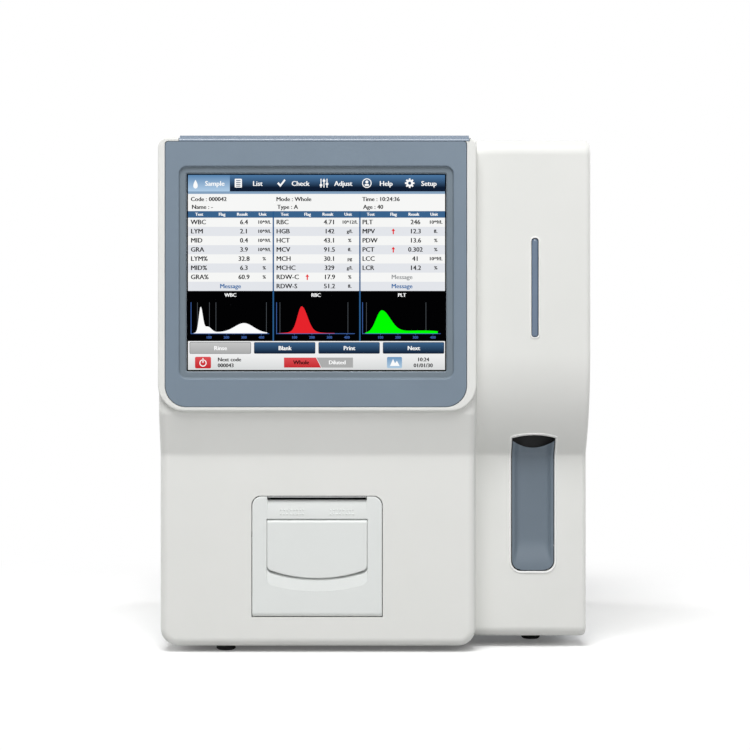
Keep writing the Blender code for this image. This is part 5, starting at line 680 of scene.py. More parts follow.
def tower_profile():
    """Front of the tower from its top seam to its bottom seam, as (y, z)."""
    centre = (TOWER_Y + OVERHANG_RADIUS, OVERHANG_TOP_Z)
    overhang = arc(centre, OVERHANG_RADIUS, math.pi, math.pi + OVERHANG_ANGLE, 3 * CORNER_STEPS)
    corners = [(SEAM_Y, CASE_TOP), (TOWER_Y, CASE_TOP), *overhang, (WALL_Y, TOWER_BOTTOM_Z),
               (SEAM_Y, TOWER_BOTTOM_Z)]
    radii = [0.0, TOWER_TOP_FILLET] + [0.0] * (len(overhang) - 1)
    radii += [CREASE_FILLET, TOWER_BOTTOM_FILLET, 0.0]
    return filleted(corners, radii, closed=False)


def bay_outline(margin=0.0):
    """Opening for the start key, arched at its top."""
    half = BAY_HALF + margin
    arch_radius = (half * half + BAY_ARCH * BAY_ARCH) / (2 * BAY_ARCH)
    spread = math.asin(half / arch_radius)
    centre = (BAY_X, BAY_SIDE_TOP_Z + BAY_ARCH + margin - arch_radius)
    top = arc(centre, arch_radius, math.pi / 2 - spread, math.pi / 2 + spread, 2 * CORNER_STEPS)
    corners = [(BAY_X - half, BAY_BOTTOM_Z - margin), (BAY_X + half, BAY_BOTTOM_Z - margin)] + top
    radius = BAY_CORNER_RADIUS + margin
    return filleted(corners, [radius, radius] + [0.0] * len(top))


def light_outline(margin=0.0):
    half = (LIGHT_HIGH.x - LIGHT_LOW.x) / 2 + margin
    return rectangle(LIGHT_X - half, LIGHT_LOW.z - margin, LIGHT_X + half, LIGHT_HIGH.z + margin,
                     half - GAP, half - GAP)


def dense(outline, pitch):
    """Closed outline with its long edges split, so that it can follow a curved wall."""
    points = []
    for index, start in enumerate(outline):
        end = outline[(index + 1) % len(outline)]
        count = max(1, math.ceil(math.dist(start, end) / pitch))
        for step in range(count):
            share = step / count
            points.append((start[0] + (end[0] - start[0]) * share, start[1] + (end[1] - start[1]) * share))
    return points


def wall_depth(z):
    """Depth of the tower's front at a height."""
    return read_height([(y, level) for y, level in tower_profile() if y <= WALL_Y + GAP], z)


def opening_lip(name, outline, width, rise):
    """Thin rounded lip round an opening in the tower, as the mould's shut-off leaves it."""
    base = dense(outline(GAP), SURFACE_PITCH)
    profile = [(width, 0.0), (width, rise / 2), (width * 3 / 4, rise), (width / 4, rise), (0.0, rise / 2),
               (0.0, -HOUSING_WALL)]
    centre = Vector((sum(x for x, _ in base) / len(base), sum(z for _, z in base) / len(base)))
    outward = []
    for index, point in enumerate(base):
        along = Vector(base[(index + 1) % len(base)]) - Vector(base[index - 1])
        normal = Vector((along.y, -along.x)).normalized()
        outward.append(normal if normal.dot(Vector(point) - centre) > 0 else -normal)
    rings = []
    for reach, lift in profile + [(width, -HOUSING_WALL)]:
        ring = []
        for (x, z), normal in zip(base, outward):
            place = Vector((x, z)) + normal * reach
            ring.append((place.x, wall_depth(place.y) - lift, place.y))
        rings.append(ring)
    # The lip's finish is paler than the covers: a painted highlight along the bead.
    piece(name, "case", "white_abs", loft(rings, closed=True), edge=0, finish=LIP_PAINTED_HIGHLIGHT_FINISH)


def make_tower_cover():
    profile = tower_profile()
    rings = []
    for inset, depth in quarter()[::-1]:
        path = offset(profile, TOWER_SEAM_RADIUS * inset)
        rings.append([(TOWER_LEFT + TOWER_SEAM_RADIUS * depth, y, z) for y, z in path])
    for inset, depth in quarter():
        path = offset(profile, TOWER_EDGE_RADIUS * inset)
        rings.append([(RIGHT_X - TOWER_EDGE_RADIUS * depth, y, z) for y, z in path])
    inner = offset(profile, HOUSING_WALL)
    inner[0] = (SEAM_Y + OVERRUN, inner[0][1])
    inner[-1] = (SEAM_Y + OVERRUN, inner[-1][1])
    cavity = prism(inner, "X", TOWER_LEFT + HOUSING_WALL, RIGHT_X - HOUSING_WALL)
    bay = prism(bay_outline(), "Y", TOWER_Y - OVERRUN, WALL_Y + HOUSING_WALL + OVERRUN)
    light = prism(light_outline(GAP), "Y", TOWER_Y - OVERRUN, TOWER_Y + HOUSING_WALL + OVERRUN)
    piece("tower_housing", "case", "white_abs", loft(rings), ["tower_front_cover"], cut=[cavity, bay, light])


def make_status_light():
    """Light pipe with a face that is domed across its width."""
    half = (LIGHT_HIGH.x - LIGHT_LOW.x) / 2
    rings = [ring_at(light_outline(), LIGHT_HIGH.y), ring_at(light_outline(), LIGHT_LOW.y + LIGHT_DOME)]
    for inset, depth in quarter()[1:-1]:
        drawn_in = half * inset
        reach = half - drawn_in
        outline = rectangle(LIGHT_X - reach, LIGHT_LOW.z + drawn_in, LIGHT_X + reach, LIGHT_HIGH.z - drawn_in,
                            reach * LIGHT_END_SHARE, reach * LIGHT_END_SHARE)
        rings.append(ring_at(outline, LIGHT_LOW.y + LIGHT_DOME * depth))
    piece("light_bar", "case", "clear_acrylic", loft(rings), ["status_light_pipe"], edge=0,
          finish=LIGHT_BAR_FINISH)
    opening_lip("light_lip", light_outline, LIGHT_LIP, LIGHT_LIP_RISE)


def eased(share):
    """Share from 0 to 1 with a soft start and end."""
    share = min(1.0, max(0.0, share))
    return share * share * (3 - 2 * share)


def key_skin():
    """Front of the dished key, as rows of points from its lower edge to its notched top."""
    span = KEY_TOP_Z - KEY_LOW.z
    skin = []
    for row in range(KEY_ROWS + 1):
        z = KEY_LOW.z + span * row / KEY_ROWS
        short = max(0.0, BAY_CORNER_RADIUS - (z - KEY_LOW.z))
        narrowing = BAY_CORNER_RADIUS - math.sqrt(max(0.0, BAY_CORNER_RADIUS ** 2 - short ** 2))
        points = []
        for column in range(KEY_COLUMNS + 1):
            place = math.sin(math.pi / 2 * (2 * column / KEY_COLUMNS - 1)) * KEY_HALF
            x = place * (KEY_HALF - narrowing) / KEY_HALF
            dip = KEY_NOTCH * (1 - (place / KEY_HALF) ** 2)
            height = KEY_LOW.z + (z - KEY_LOW.z) * (span - dip) / span
            side = eased((KEY_HALF - KEY_RIM - abs(place)) / KEY_SIDE_SLOPE)
            end = eased((height - KEY_LOW.z - KEY_RIM) / KEY_END_SLOPE)
            points.append((BAY_X + x, wall_depth(height) + KEY_DISH * min(side, end), height))
        skin.append(points)
    return skin


def make_key():
    """Dished key whose back is flat up to the crease, with two lugs and the hole for its pin."""
    rows, columns = KEY_ROWS, KEY_COLUMNS
    front = key_skin()
    back_y = WALL_Y + KEY_DISH + KEY_THICKNESS
    back = [[(x, back_y, z) if z < CREASE_Z - KEY_DISH else (x, y + KEY_THICKNESS + KEY_DISH, z)
             for x, y, z in row] for row in front]
    points = [Vector(point) for skin in (front, back) for row in skin for point in row]
    width = columns + 1
    shift = (rows + 1) * width
    faces = []
    for skin in (0, shift):
        for row in range(rows):
            for column in range(columns):
                start = skin + row * width + column
                faces.append([start, start + 1, start + width + 1, start + width])
    rim = list(range(width)) + [row * width + columns for row in range(1, rows + 1)]
    rim += [rows * width + column for column in range(columns - 1, -1, -1)]
    rim += [row * width for row in range(rows - 1, 0, -1)]
    for index, start in enumerate(rim):
        following = rim[(index + 1) % len(rim)]
        faces.append([start, following, following + shift, start + shift])
    root_y = back_y - GAP
    lug_back = KEY_PIVOT_Y + KEY_LUG_RADIUS
    lug = filleted([(root_y, KEY_PIVOT_Z - KEY_LUG_RADIUS), (lug_back, KEY_PIVOT_Z - KEY_LUG_RADIUS),
                    (lug_back, KEY_PIVOT_Z + KEY_LUG_RADIUS), (root_y, KEY_PIVOT_Z + KEY_LUG_RADIUS)],
                   [0.0, KEY_LUG_RADIUS - GAP, KEY_LUG_RADIUS - GAP, 0.0])
    lug_x = KEY_HALF - KEY_RIM - KEY_LUG_WIDTH
    lugs = [prism(lug, "X", BAY_X + side * lug_x, BAY_X + side * (lug_x + KEY_LUG_WIDTH)) for side in (-1, 1)]
    reach = BAY_HALF + OVERRUN
    hole = rod("X", (KEY_PIVOT_Y, KEY_PIVOT_Z), KEY_PIN_RADIUS, BAY_X - reach, BAY_X + reach)
    # The key's finish is darker than the bezel's: painted shade under the tower's overhang.
    piece("start_key", "key", "blue_grey_abs", (points, faces), ["aspirate_key"], add=lugs, cut=[hole],
          edge=0, finish=KEY_PAINTED_SHADE_FINISH)
    opening_lip("bay_lip", bay_outline, BAY_LIP, BAY_LIP_RISE)


def make_shade_shroud():
    """Black sheet on the key's bracket, behind the notch that the probe comes down through: painted shade, a
    dark sheet that stands in for the shade inside the bay.
    """
    back_y = KEY_PIVOT_Y - KEY_LUG_RADIUS + GAP
    path = [(BAY_X + across * BAY_HALF, back_y - reach)
            for across, reach in ((-1, SHROUD_REACH), (-1, 0.0), (1, 0.0), (1, SHROUD_REACH))]
    piece("dark_shade_shroud", "case", "black_plastic",
          prism(strip(path, SHROUD_WALL), "Z", BRACKET_TOP.z - GAP, SHROUD_TOP_Z), edge=DOOR_INNER_EDGE)


def sagging(half, side_z, depth, top_z, corner):
    """Outline with straight sides, round lower corners and a lower edge that sags in the middle."""
    sag_radius = (half * half + depth * depth) / (2 * depth)
    spread = math.asin(half / sag_radius)
    centre = (PRINTER_X, side_z - depth + sag_radius)
    lower = arc(centre, sag_radius, -math.pi / 2 - spread, -math.pi / 2 + spread, 3 * CORNER_STEPS)
    ends = (lower[0], lower[-1])
    inside = [point for point in lower if min(math.dist(point, end) for end in ends) > 2 * corner]
    lower = [ends[0], *inside, ends[1]]
    corners = lower + [(PRINTER_X + half, top_z), (PRINTER_X - half, top_z)]
    radii = [0.0] * len(corners)
    radii[0] = corner
    radii[len(lower) - 1] = corner
    return filleted(corners, radii)


def rolled_lip(hinge, radius, thickness, half, edge, end):
    """Quarter turn of a flap round its hinge, whose side edges are rounded like the flap's own."""
    inner = arc(hinge, radius - thickness, end, math.pi, CORNER_STEPS)
    sections = [(half - inset * edge, arc(hinge, radius - depth * edge, math.pi, end, CORNER_STEPS) + inner)
                for inset, depth in quarter()]
    rings = [[(PRINTER_X - reach, y, z) for y, z in outline] for reach, outline in sections]
    rings += [[(PRINTER_X + reach, y, z) for y, z in outline] for reach, outline in sections[::-1]]
    return loft(rings)


def crossing(centre, radius, half, segments=ROUND_SEGMENTS):
    """Rod across the recorder, as far to the left of its middle as to the right."""
    return rod("X", centre, radius, PRINTER_X - half, PRINTER_X + half, segments)


def paired(make, near, far):
    """The same shape on both sides of the recorder's middle, from one distance to another."""
    return [make(min(ends), max(ends)) for ends in [(PRINTER_X + side * far, PRINTER_X + side * near)
                                                    for side in (-1, 1)]]


def make_door():
    """Door with its rolled hinge, the handle's pocket, the paper slot and the arms that carry the platen."""
    back_y = FACE_Y + DOOR_THICKNESS
    hinge = (HINGE_Y, HINGE_Z)
    body = loft([[(x, FACE_Y + depth, max(z, HINGE_Z)) for x, z in printer_outline(-drawn_in)]
                 for drawn_in, depth in rounded_steps(DOOR_THICKNESS, DOOR_EDGE)])
    roll = rolled_lip(hinge, DOOR_HINGE_RADIUS, DOOR_THICKNESS / 2, PRINTER_HALF, DOOR_EDGE, math.pi * 3 / 2)
    barrel_half = PRINTER_HALF - DOOR_EAR_INSET - DOOR_EAR_WIDTH
    barrel = crossing(hinge, DOOR_KNUCKLE_RADIUS, barrel_half)
    pocket_half = HANDLE_HALF + GAP + POCKET_WALL
    pocket_back = FACE_Y + POCKET_DEPTH
    pocket_bottom = HANDLE_SIDE_Z - HANDLE_SAG - POCKET_DROP
    shell = block((PRINTER_X - pocket_half, back_y - GAP, pocket_bottom - POCKET_WALL),
                  (PRINTER_X + pocket_half, pocket_back + POCKET_WALL, HANDLE_TOP_Z + POCKET_WALL + GAP))
    arm_profile = [(FACE_Y + DOOR_THICKNESS / 2, PLATEN_Z - PLATEN_ARM_HEIGHT / 2),
                   (PLATEN_Y + PLATEN_RADIUS, PLATEN_Z - PLATEN_ARM_HEIGHT / 3),
                   (PLATEN_Y + PLATEN_RADIUS, PLATEN_Z + PLATEN_ARM_HEIGHT / 3),
                   (FACE_Y + DOOR_THICKNESS / 2, PLATEN_Z + PLATEN_ARM_HEIGHT / 3)]
    arm_half = PRINTER_HALF - DOOR_ARM_INSET
    arms = paired(lambda low, high: prism(arm_profile, "X", low, high), arm_half - DOOR_ARM_WIDTH, arm_half)
    slot = block((PRINTER_X - SLOT_HALF, FACE_Y - OVERRUN, LIP_Z),
                 (PRINTER_X + SLOT_HALF, back_y + OVERRUN, PRINTER_TOP_Z + OVERRUN))
    lip_half = SLOT_HALF - GAP
    lip_profile = [(FACE_Y, LIP_Z - LIP_HEIGHT), (FACE_Y - OVERRUN, LIP_Z - LIP_HEIGHT),
                   (FACE_Y - OVERRUN, LIP_Z + OVERRUN), (FACE_Y + LIP_DEPTH, LIP_Z + OVERRUN),
                   (FACE_Y + LIP_DEPTH - GAP, LIP_Z)]
    lip = prism(lip_profile, "X", PRINTER_X - lip_half, PRINTER_X + lip_half)
    half = HANDLE_HALF + GAP
    side_z = HANDLE_SIDE_Z - POCKET_SIDE_DROP
    depth = POCKET_DROP + HANDLE_SAG - POCKET_SIDE_DROP
    mouth = sagging(half, side_z, depth, HANDLE_TOP_Z + GAP, POCKET_CORNER_RADIUS)
    floor = sagging(half - GAP, side_z + POCKET_FLOOR_RISE, depth, HANDLE_TOP_Z, POCKET_CORNER_RADIUS)
    rings = [ring_at(mouth, FACE_Y - OVERRUN), ring_at(mouth, FACE_Y + DOOR_INNER_EDGE)]
    for rise, deep in ((SCOOP_SLOPE_RISE, SCOOP_SLOPE_DEPTH), (SCOOP_RISE, SCOOP_DEPTH)):
        outline = sagging(half - GAP / 2, side_z + rise, depth, HANDLE_TOP_Z + GAP / 2, POCKET_CORNER_RADIUS)
        rings.append(ring_at(outline, FACE_Y + deep))
    pocket = loft(rings + [ring_at(floor, pocket_back)])
    reach = PRINTER_HALF - DOOR_EAR_INSET
    ears = paired(lambda low, high: rod("X", hinge, DOOR_EAR_RADIUS + GAP, low, high),
                  barrel_half - GAP, reach + GAP)
    holes = [crossing((PLATEN_Y, PLATEN_Z), PLATEN_SHAFT_RADIUS, reach),
             crossing((HANDLE_PIVOT_Y, HANDLE_PIVOT_Z), HANDLE_PIN_RADIUS + HANDLE_PIN_ROOM,
                      pocket_half + OVERRUN)]
    piece("recorder_door", "door", "white_abs", body, ["printer_door"], add=[roll, barrel, shell, *arms],
          cut=[slot, lip, pocket, *ears, *holes], edge=DOOR_INNER_EDGE, finish=RECORDER_FINISH)
    pins = paired(lambda low, high: rod("X", hinge, DOOR_PIN_RADIUS, low, high), barrel_half - GAP, reach)
    piece("door_pins", "door", "white_abs", joined(*pins), finish=RECORDER_FINISH)
    dots = []
    for side in (-1, 1):
        for row in range(DOOR_DOT_ROWS):
            for column in range(DOOR_DOT_COUNT):
                x = PRINTER_X + side * (DOOR_DOT_SPREAD - column * DOOR_DOT_PITCH)
                z = PRINTER_TOP_Z - DOOR_DOT_DROP - row * DOOR_DOT_ROW_PITCH
                dots.append(dome((x, lip_depth(z), z)))
    piece("grip_dots", "door", "white_abs", joined(*dots), edge=0, finish=RECORDER_FINISH)


def lip_depth(z):
    """Depth of the sloping lip under the paper slot at a height."""
    share = min(1.0, max(0.0, (z - LIP_Z + LIP_HEIGHT) / LIP_HEIGHT))
    return FACE_Y + (LIP_DEPTH - GAP) * share


def dome(centre):
    """Small round dot that stands on the door, with its foot sunk in it."""
    x, y, z = centre
    steps = [(DOOR_DOT_RADIUS, y + GAP)]
    for angle in (0.0, math.pi / 6, math.pi / 3):
        lift = DOOR_DOT_RADIUS * math.sin(angle) * DOOR_DOT_RISE
        steps.append((DOOR_DOT_RADIUS * math.cos(angle), y - lift))
    return stepped("Y", (x, z), steps, SMALL_SEGMENTS // 2)


def make_handle():
    """Flap with a sagging lower edge, rolled in at its top round the hinge."""
    rings = [ring_at(sagging(HANDLE_HALF - drawn_in, HANDLE_SIDE_Z + drawn_in, HANDLE_SAG, HANDLE_PIVOT_Z,
                             HANDLE_CORNER_RADIUS), FACE_Y + depth)
             for drawn_in, depth in rounded_steps(HANDLE_THICKNESS, HANDLE_EDGE)]
    hinge = (HANDLE_PIVOT_Y, HANDLE_PIVOT_Z)
    roll = rolled_lip(hinge, HANDLE_PIVOT_DEPTH, HANDLE_THICKNESS, HANDLE_HALF, HANDLE_EDGE, math.pi / 2)
    barrel = crossing(hinge, HANDLE_BARREL_RADIUS, HANDLE_HALF - GAP)
    trunnions = crossing(hinge, HANDLE_PIN_RADIUS, HANDLE_HALF + POCKET_WALL - GAP, SMALL_SEGMENTS)
    piece("recorder_handle", "handle", "white_abs", loft(rings), ["printer_handle"],
          add=[roll, barrel, trunnions], edge=0, finish=RECORDER_FINISH)


def make_screen():
    glass = prism(window_outline(GLASS_MARGIN, WINDOW_CORNER_RADIUS), "Y", GLASS_LOW.y, GLASS_HIGH.y)
    piece("touch_panel", "case", "screen_glass", glass, ["touch_glass"])
    piece("screen_module", "case", "lcd_metal", block(LCD_LOW, LCD_HIGH), ["lcd_module"])


def case_path(low_z):
    """Open outline of the case above a height, as (x, z), from its left side to its right."""
    return filleted([(LEFT_X, low_z), (LEFT_X, CASE_TOP), (RIGHT_X, CASE_TOP), (RIGHT_X, low_z)],
                    [0.0, TOP_CORNER_RADIUS, TOWER_EDGE_RADIUS, 0.0], closed=False)


def cross_recess(centre, axis, side):
    """Cross slot of a screw head, sunk from its face towards the inside."""
    head = list(centre)
    face = head.pop("XYZ".index(axis))
    ends = sorted((face, face - side * CROSS_DEPTH))
    across, up = head
    return [prism([(across - long, up - wide), (across + long, up - wide), (across + long, up + wide),
                   (across - long, up + wide)], axis, *ends)
            for long, wide in ((CROSS_REACH, CROSS_WIDTH / 2), (CROSS_WIDTH / 2, CROSS_REACH))]


def make_case():
    """Bent top cover, and the two side panels with their vents and countersunk screws."""
    outline = strip(case_path(COVER_LOW.z), -SHEET)
    piece("case_cover", "case", "painted_case", prism(outline, "Y", COVER_LOW.y, COVER_HIGH.y), ["top_cover"])
    screw_y = (PANEL_LOW.y + SCREW_MARGIN, PANEL_HIGH.y - SCREW_MARGIN)
    screw_z = (PANEL_LOW.z + SCREW_MARGIN, PANEL_HIGH.z - SCREW_MARGIN)
    places = [(y, z) for y in screw_y for z in screw_z]
    for name, node, outer, side in (("left_panel", "left_side_panel", LEFT_X, 1),
                                    ("right_panel", "right_side_panel", RIGHT_X, -1)):
        inner = outer + side * SHEET
        rear = PANEL_HIGH.y - VENT_REAR_MARGIN
        vents = []
        for index in range(VENT_COUNT):
            vent_z = VENT_BOTTOM_Z + index * VENT_PITCH
            slot = rectangle(rear - VENT_LENGTH, vent_z, rear, vent_z + VENT_HEIGHT, VENT_HEIGHT / 2 - GAP,
                             VENT_HEIGHT / 2 - GAP)
            vents.append(prism(slot, "X", outer - OVERRUN, outer + OVERRUN))
        sink = [(SCREW_RADIUS + 2 * GAP, outer - side * GAP),
                (SCREW_TIP, outer + side * SHEET * SCREW_SINK_SHARE)]
        head = [(SCREW_RADIUS - GAP, outer + side * GAP),
                (SCREW_TIP, outer + side * SHEET * SCREW_HEAD_SHARE)]
        sinks = [stepped("X", place, sink) for place in places]
        low = (min(outer, inner), PANEL_LOW.y, PANEL_LOW.z)
        high = (max(outer, inner), PANEL_HIGH.y, PANEL_HIGH.z)
        piece(name, "case", "painted_case", block(low, high), [node], cut=[joined(*vents), joined(*sinks)])
        for index, place in enumerate(places):
            cross = cross_recess((outer + side * GAP / 2, *place), "X", -side)
            piece(f"{name}_screw_{index}", "case", "steel", stepped("X", place, head), cut=cross, edge=0)


def make_feet():
    for name in ("foot_front_left", "foot_front_right", "foot_rear_left", "foot_rear_right"):
        low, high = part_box(name)
        steps = [(FOOT_TIP_RADIUS - EDGE * 2, low.z), (FOOT_TIP_RADIUS, low.z + EDGE * 2),
                 (FOOT_RADIUS, low.z + FOOT_TAPER), (FOOT_RADIUS, high.z)]
        pad = stepped("Z", ((low.x + high.x) / 2, (low.y + high.y) / 2), steps)
        piece(f"{name}_pad", "case", "black_rubber", pad, [name])


def pan_screw(name, x, z, seat_y):
    """Pan-head screw on the rear, with a domed head and a cross recess."""
    top_y = seat_y + PAN_HEAD_HEIGHT
    steps = [(SCREW_RADIUS * width, seat_y + PAN_HEAD_HEIGHT * lift) for width, lift in PAN_HEAD_DOME]
    head = stepped("Y", (x, z), [(SCREW_RADIUS, seat_y - GAP), *steps])
    piece(name, "case", "steel", head, cut=cross_recess((x, top_y + GAP / 2, z), "Y", 1), edge=0)


def straight_wire(ends, radius):
    """Round wire between two points of a plane that faces the rear."""
    start, end = [Vector(point) for point in ends]
    along = (end - start).normalized()
    side = along.cross(Vector((0.0, 1.0, 0.0))).normalized()
    up = side.cross(along)
    section = circle(radius, SMALL_SEGMENTS // 2)
    return loft([[point + side * a + up * b for a, b in section] for point in (start, end)])


def make_fan_guard():
    """Steel wire guard: rings on two crossed wires that end in eyes under the fan's screws."""
    x = (GUARD_LOW.x + GUARD_HIGH.x) / 2
    z = (GUARD_LOW.z + GUARD_HIGH.z) / 2
    wire = GUARD_WIRE / 2
    spoke_y = GUARD_LOW.y + wire
    ring_y = GUARD_HIGH.y - wire
    wires = []
    for index in range(GUARD_RINGS):
        radius = GUARD_BORE * (index + 1) / GUARD_RINGS + GUARD_WIRE
        wires.append(turned("Y", (x, z), circle(wire, SMALL_SEGMENTS // 2, radius, ring_y), FINE_SEGMENTS))
    reach = GUARD_SCREW_OFFSET - GUARD_EYE * math.cos(math.pi / 4)
    for side in (-1, 1):
        ends = [(x + end * reach, spoke_y, z + end * side * reach) for end in (-1, 1)]
        wires.append(straight_wire(ends, wire))
    for across in (-1, 1):
        for up in (-1, 1):
            centre = (x + across * GUARD_SCREW_OFFSET, z + up * GUARD_SCREW_OFFSET)
            wires.append(turned("Y", centre, circle(wire, SMALL_SEGMENTS // 2, GUARD_EYE, spoke_y)))
            pan_screw(f"fan_screw_{across + 1 + (up + 1) // 2}", *centre, spoke_y + wire)
    piece("fan_finger_guard", "case", "steel", wires[0], ["fan_guard"], add=wires[1:], edge=0)


def centred(x, z, width, height, start_y, end_y):
    return block((x - width / 2, start_y, z - height / 2), (x + width / 2, end_y, z + height / 2))


def make_sockets():
    """Insides of the rear sockets, seated on the floors of their metal shells."""
    mouth_y = PORTS_HIGH.y
    floor_y = mouth_y - PORT_DEPTH
    body_y = mouth_y - PORT_DEPTH / 2
    tip_y = mouth_y - 4 * GAP
    seat_y = floor_y - GAP
    room = 2 * PORT_WALL + GAP
    bodies = [centred(SERIAL_X, PORT_Z, SERIAL_WIDTH - room, SERIAL_HEIGHT - room, seat_y, body_y)]
    pins = []
    for row, count in SERIAL_PIN_ROWS:
        for index in range(count):
            place = (SERIAL_X + (index - (count - 1) / 2) * SERIAL_PIN_PITCH,
                     PORT_Z + row * SERIAL_PIN_PITCH / 2)
            pins.append(rod("Y", place, SERIAL_PIN_RADIUS, body_y - GAP, mouth_y - GAP, SMALL_SEGMENTS // 2))
    tongue_z = PORT_Z + NETWORK_HEIGHT / 3
    bodies.append(centred(NETWORK_X, tongue_z, NETWORK_WIDTH - room, NETWORK_HEIGHT / 8,
                          seat_y, mouth_y - GAP))
    for index in range(NETWORK_CONTACTS):
        pin_x = NETWORK_X + (index - (NETWORK_CONTACTS - 1) / 2) * NETWORK_PITCH
        low = tongue_z - NETWORK_HEIGHT / 16
        rise = [(seat_y, low - NETWORK_HEIGHT / 3), (body_y, low - NETWORK_HEIGHT / 6), (tip_y, low + GAP)]
        back = [(y, z - 2 * GAP) for y, z in reversed(rise)]
        pins.append(prism(rise + back, "X", pin_x - GAP, pin_x + GAP))
    for usb_x in USB_PLACES:
        bodies.append(centred(usb_x - GAP, PORT_Z, USB_WIDTH / 4, USB_HEIGHT - 4 * PORT_WALL, seat_y, tip_y))
        for index in range(USB_CONTACTS):
            pin_z = PORT_Z + (index - (USB_CONTACTS - 1) / 2) * USB_PITCH
            pins.append(centred(usb_x + USB_WIDTH / 8, pin_z, 2 * GAP, 3 * GAP, seat_y, tip_y - 4 * GAP))
    piece("socket_inserts", "case", "black_plastic", joined(*bodies), edge=DOOR_INNER_EDGE)
    piece("socket_contacts", "case", "steel", joined(*pins), edge=0, finish=GOLD_CONTACT_FINISH)


def rocker_face(z):
    """Depth of the switch's two slanted faces at a height."""
    middle_z = (ROCKER_LOW.z + ROCKER_HIGH.z) / 2
    middle_y = REAR_Y + INLET_FLANGE - SWITCH_PIVOT_DEPTH + ROCKER_PIN_RADIUS
    share = abs(z - middle_z) / (ROCKER_HIGH.z - middle_z)
    end_y = REAR_Y + INLET_FLANGE - GAP if z > middle_z else ROCKER_HIGH.y
    return middle_y + (end_y - middle_y) * share


def make_switch_marks():
    """Moulded on and off marks of the mains switch: a line on one end and a ring on the other."""
    x = (ROCKER_LOW.x + ROCKER_HIGH.x) / 2
    half_height = (ROCKER_HIGH.z - ROCKER_LOW.z) / 4
    middle_z = (ROCKER_LOW.z + ROCKER_HIGH.z) / 2
    line = rectangle(x - MARK_WIDTH / 2, middle_z + half_height - MARK_SIZE / 2, x + MARK_WIDTH / 2,
                     middle_z + half_height + MARK_SIZE / 2)
    marks = [loft([[(a, rocker_face(b) + lift, b) for a, b in line] for lift in (-GAP, MARK_RISE)])]
    rings = []
    outer = MARK_SIZE / 2
    inner = outer - MARK_WIDTH
    for radius, lift in ((outer, -GAP), (outer, MARK_RISE), (inner, MARK_RISE), (inner, -GAP)):
        outline = circle(radius, ROUND_SEGMENTS, x, middle_z - half_height)
        rings.append([(a, rocker_face(b) + lift, b) for a, b in outline])
    marks.append(loft(rings, closed=True))
    piece("switch_marks", "rocker", "natural_plastic", joined(*marks), edge=0)


def make_rear():
    """Fasteners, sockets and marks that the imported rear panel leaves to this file."""
    across = REAR_HIGH.x - REAR_SCREW_MARGIN
    top = REAR_HIGH.z - REAR_SCREW_MARGIN
    low = REAR_LOW.z + REAR_SCREW_RISE
    rows = [low + (top - low) * step / (REAR_SCREW_ROWS - 1) for step in range(REAR_SCREW_ROWS)]
    places = [(side * across, z) for side in (-1, 1) for z in rows] + [(0.0, low), (0.0, top)]
    for index, (x, z) in enumerate(places):
        pan_screw(f"rear_screw_{index}", x, z, REAR_Y)
    make_fan_guard()
    make_sockets()
    make_switch_marks()
    pin_z = (INLET_LOW.z + INLET_HIGH.z) / 2
    floor_y = REAR_Y + INLET_FLANGE - INLET_SOCKET_DEPTH
    blades = [centred(INLET_PIN_X + step * INLET_PIN_PITCH, pin_z + lift * INLET_PIN_HEIGHT / 2,
                      INLET_PIN_WIDTH, INLET_PIN_HEIGHT + GAP, floor_y - GAP, floor_y + INLET_PIN_LENGTH)
              for step, lift in ((-1, -1), (0, 1), (1, -1))]
    piece("inlet_blades", "case", "steel", joined(*blades), edge=DOOR_INNER_EDGE)
    seat_y = REAR_Y + BARB_FLANGE - GAP
    face_y = REAR_Y + BARB_FLANGE + 2 * GAP
    profile = [(BARB_RADIUS, seat_y), (BARB_FLANGE_RADIUS - GAP, seat_y),
               (BARB_FLANGE_RADIUS - 2 * GAP, face_y), (BARB_RADIUS, face_y)]
    for index, (name, colour) in enumerate(PORT_COLOURS.items()):
        piece(f"port_ring_{name}", "case", "black_plastic",
              turned("Y", (BARB_X + index * BARB_PITCH, BARB_Z), profile), edge=0,
              finish=port_ring_finish(name, colour))


# Finishes
def linear(hex_colour):
    """Linear colour of an sRGB hex value."""
    shares = [int(hex_colour[start:start + 2], 16) / 255 for start in (0, 2, 4)]
    return (*[share / 12.92 if share <= 0.04045 else ((share + 0.055) / 1.055) ** 2.4
              for share in shares], 1.0)


def node(tree, kind, inputs=None, **settings):
    """Adds a node with its settings. An input takes a value or another node's output."""
    made = tree.nodes.new(kind)
    for name, value in settings.items():
        setattr(made, name, value)
    for socket, value in (inputs or {}).items():
        if isinstance(value, bpy.types.NodeSocket):
            tree.links.new(value, made.inputs[socket])
        else:
            made.inputs[socket].default_value = value
    return made


def surface(name, **constants):
    """New material with one shader, whose constants are set straight on its sockets."""
    made = bpy.data.materials.new(name)
    made.use_nodes = True
    tree = made.node_tree
    tree.nodes.clear()
    sockets = {key.replace("_", " "): value for key, value in constants.items()}
    shader = node(tree, "ShaderNodeBsdfPrincipled", sockets)
    node(tree, "ShaderNodeOutputMaterial", {"Surface": shader.outputs[0]})
    place = node(tree, "ShaderNodeTexCoord").outputs["Object"]
    return made, tree, shader, place


def emboss(tree, shader, height, relief, depth):
    """Relief of a surface: its strength, and the height in metres between its lows and highs."""
    bump = node(tree, "ShaderNodeBump", {"Height": height, "Strength": relief, "Distance": depth})
    tree.links.new(bump.outputs[0], shader.inputs["Normal"])


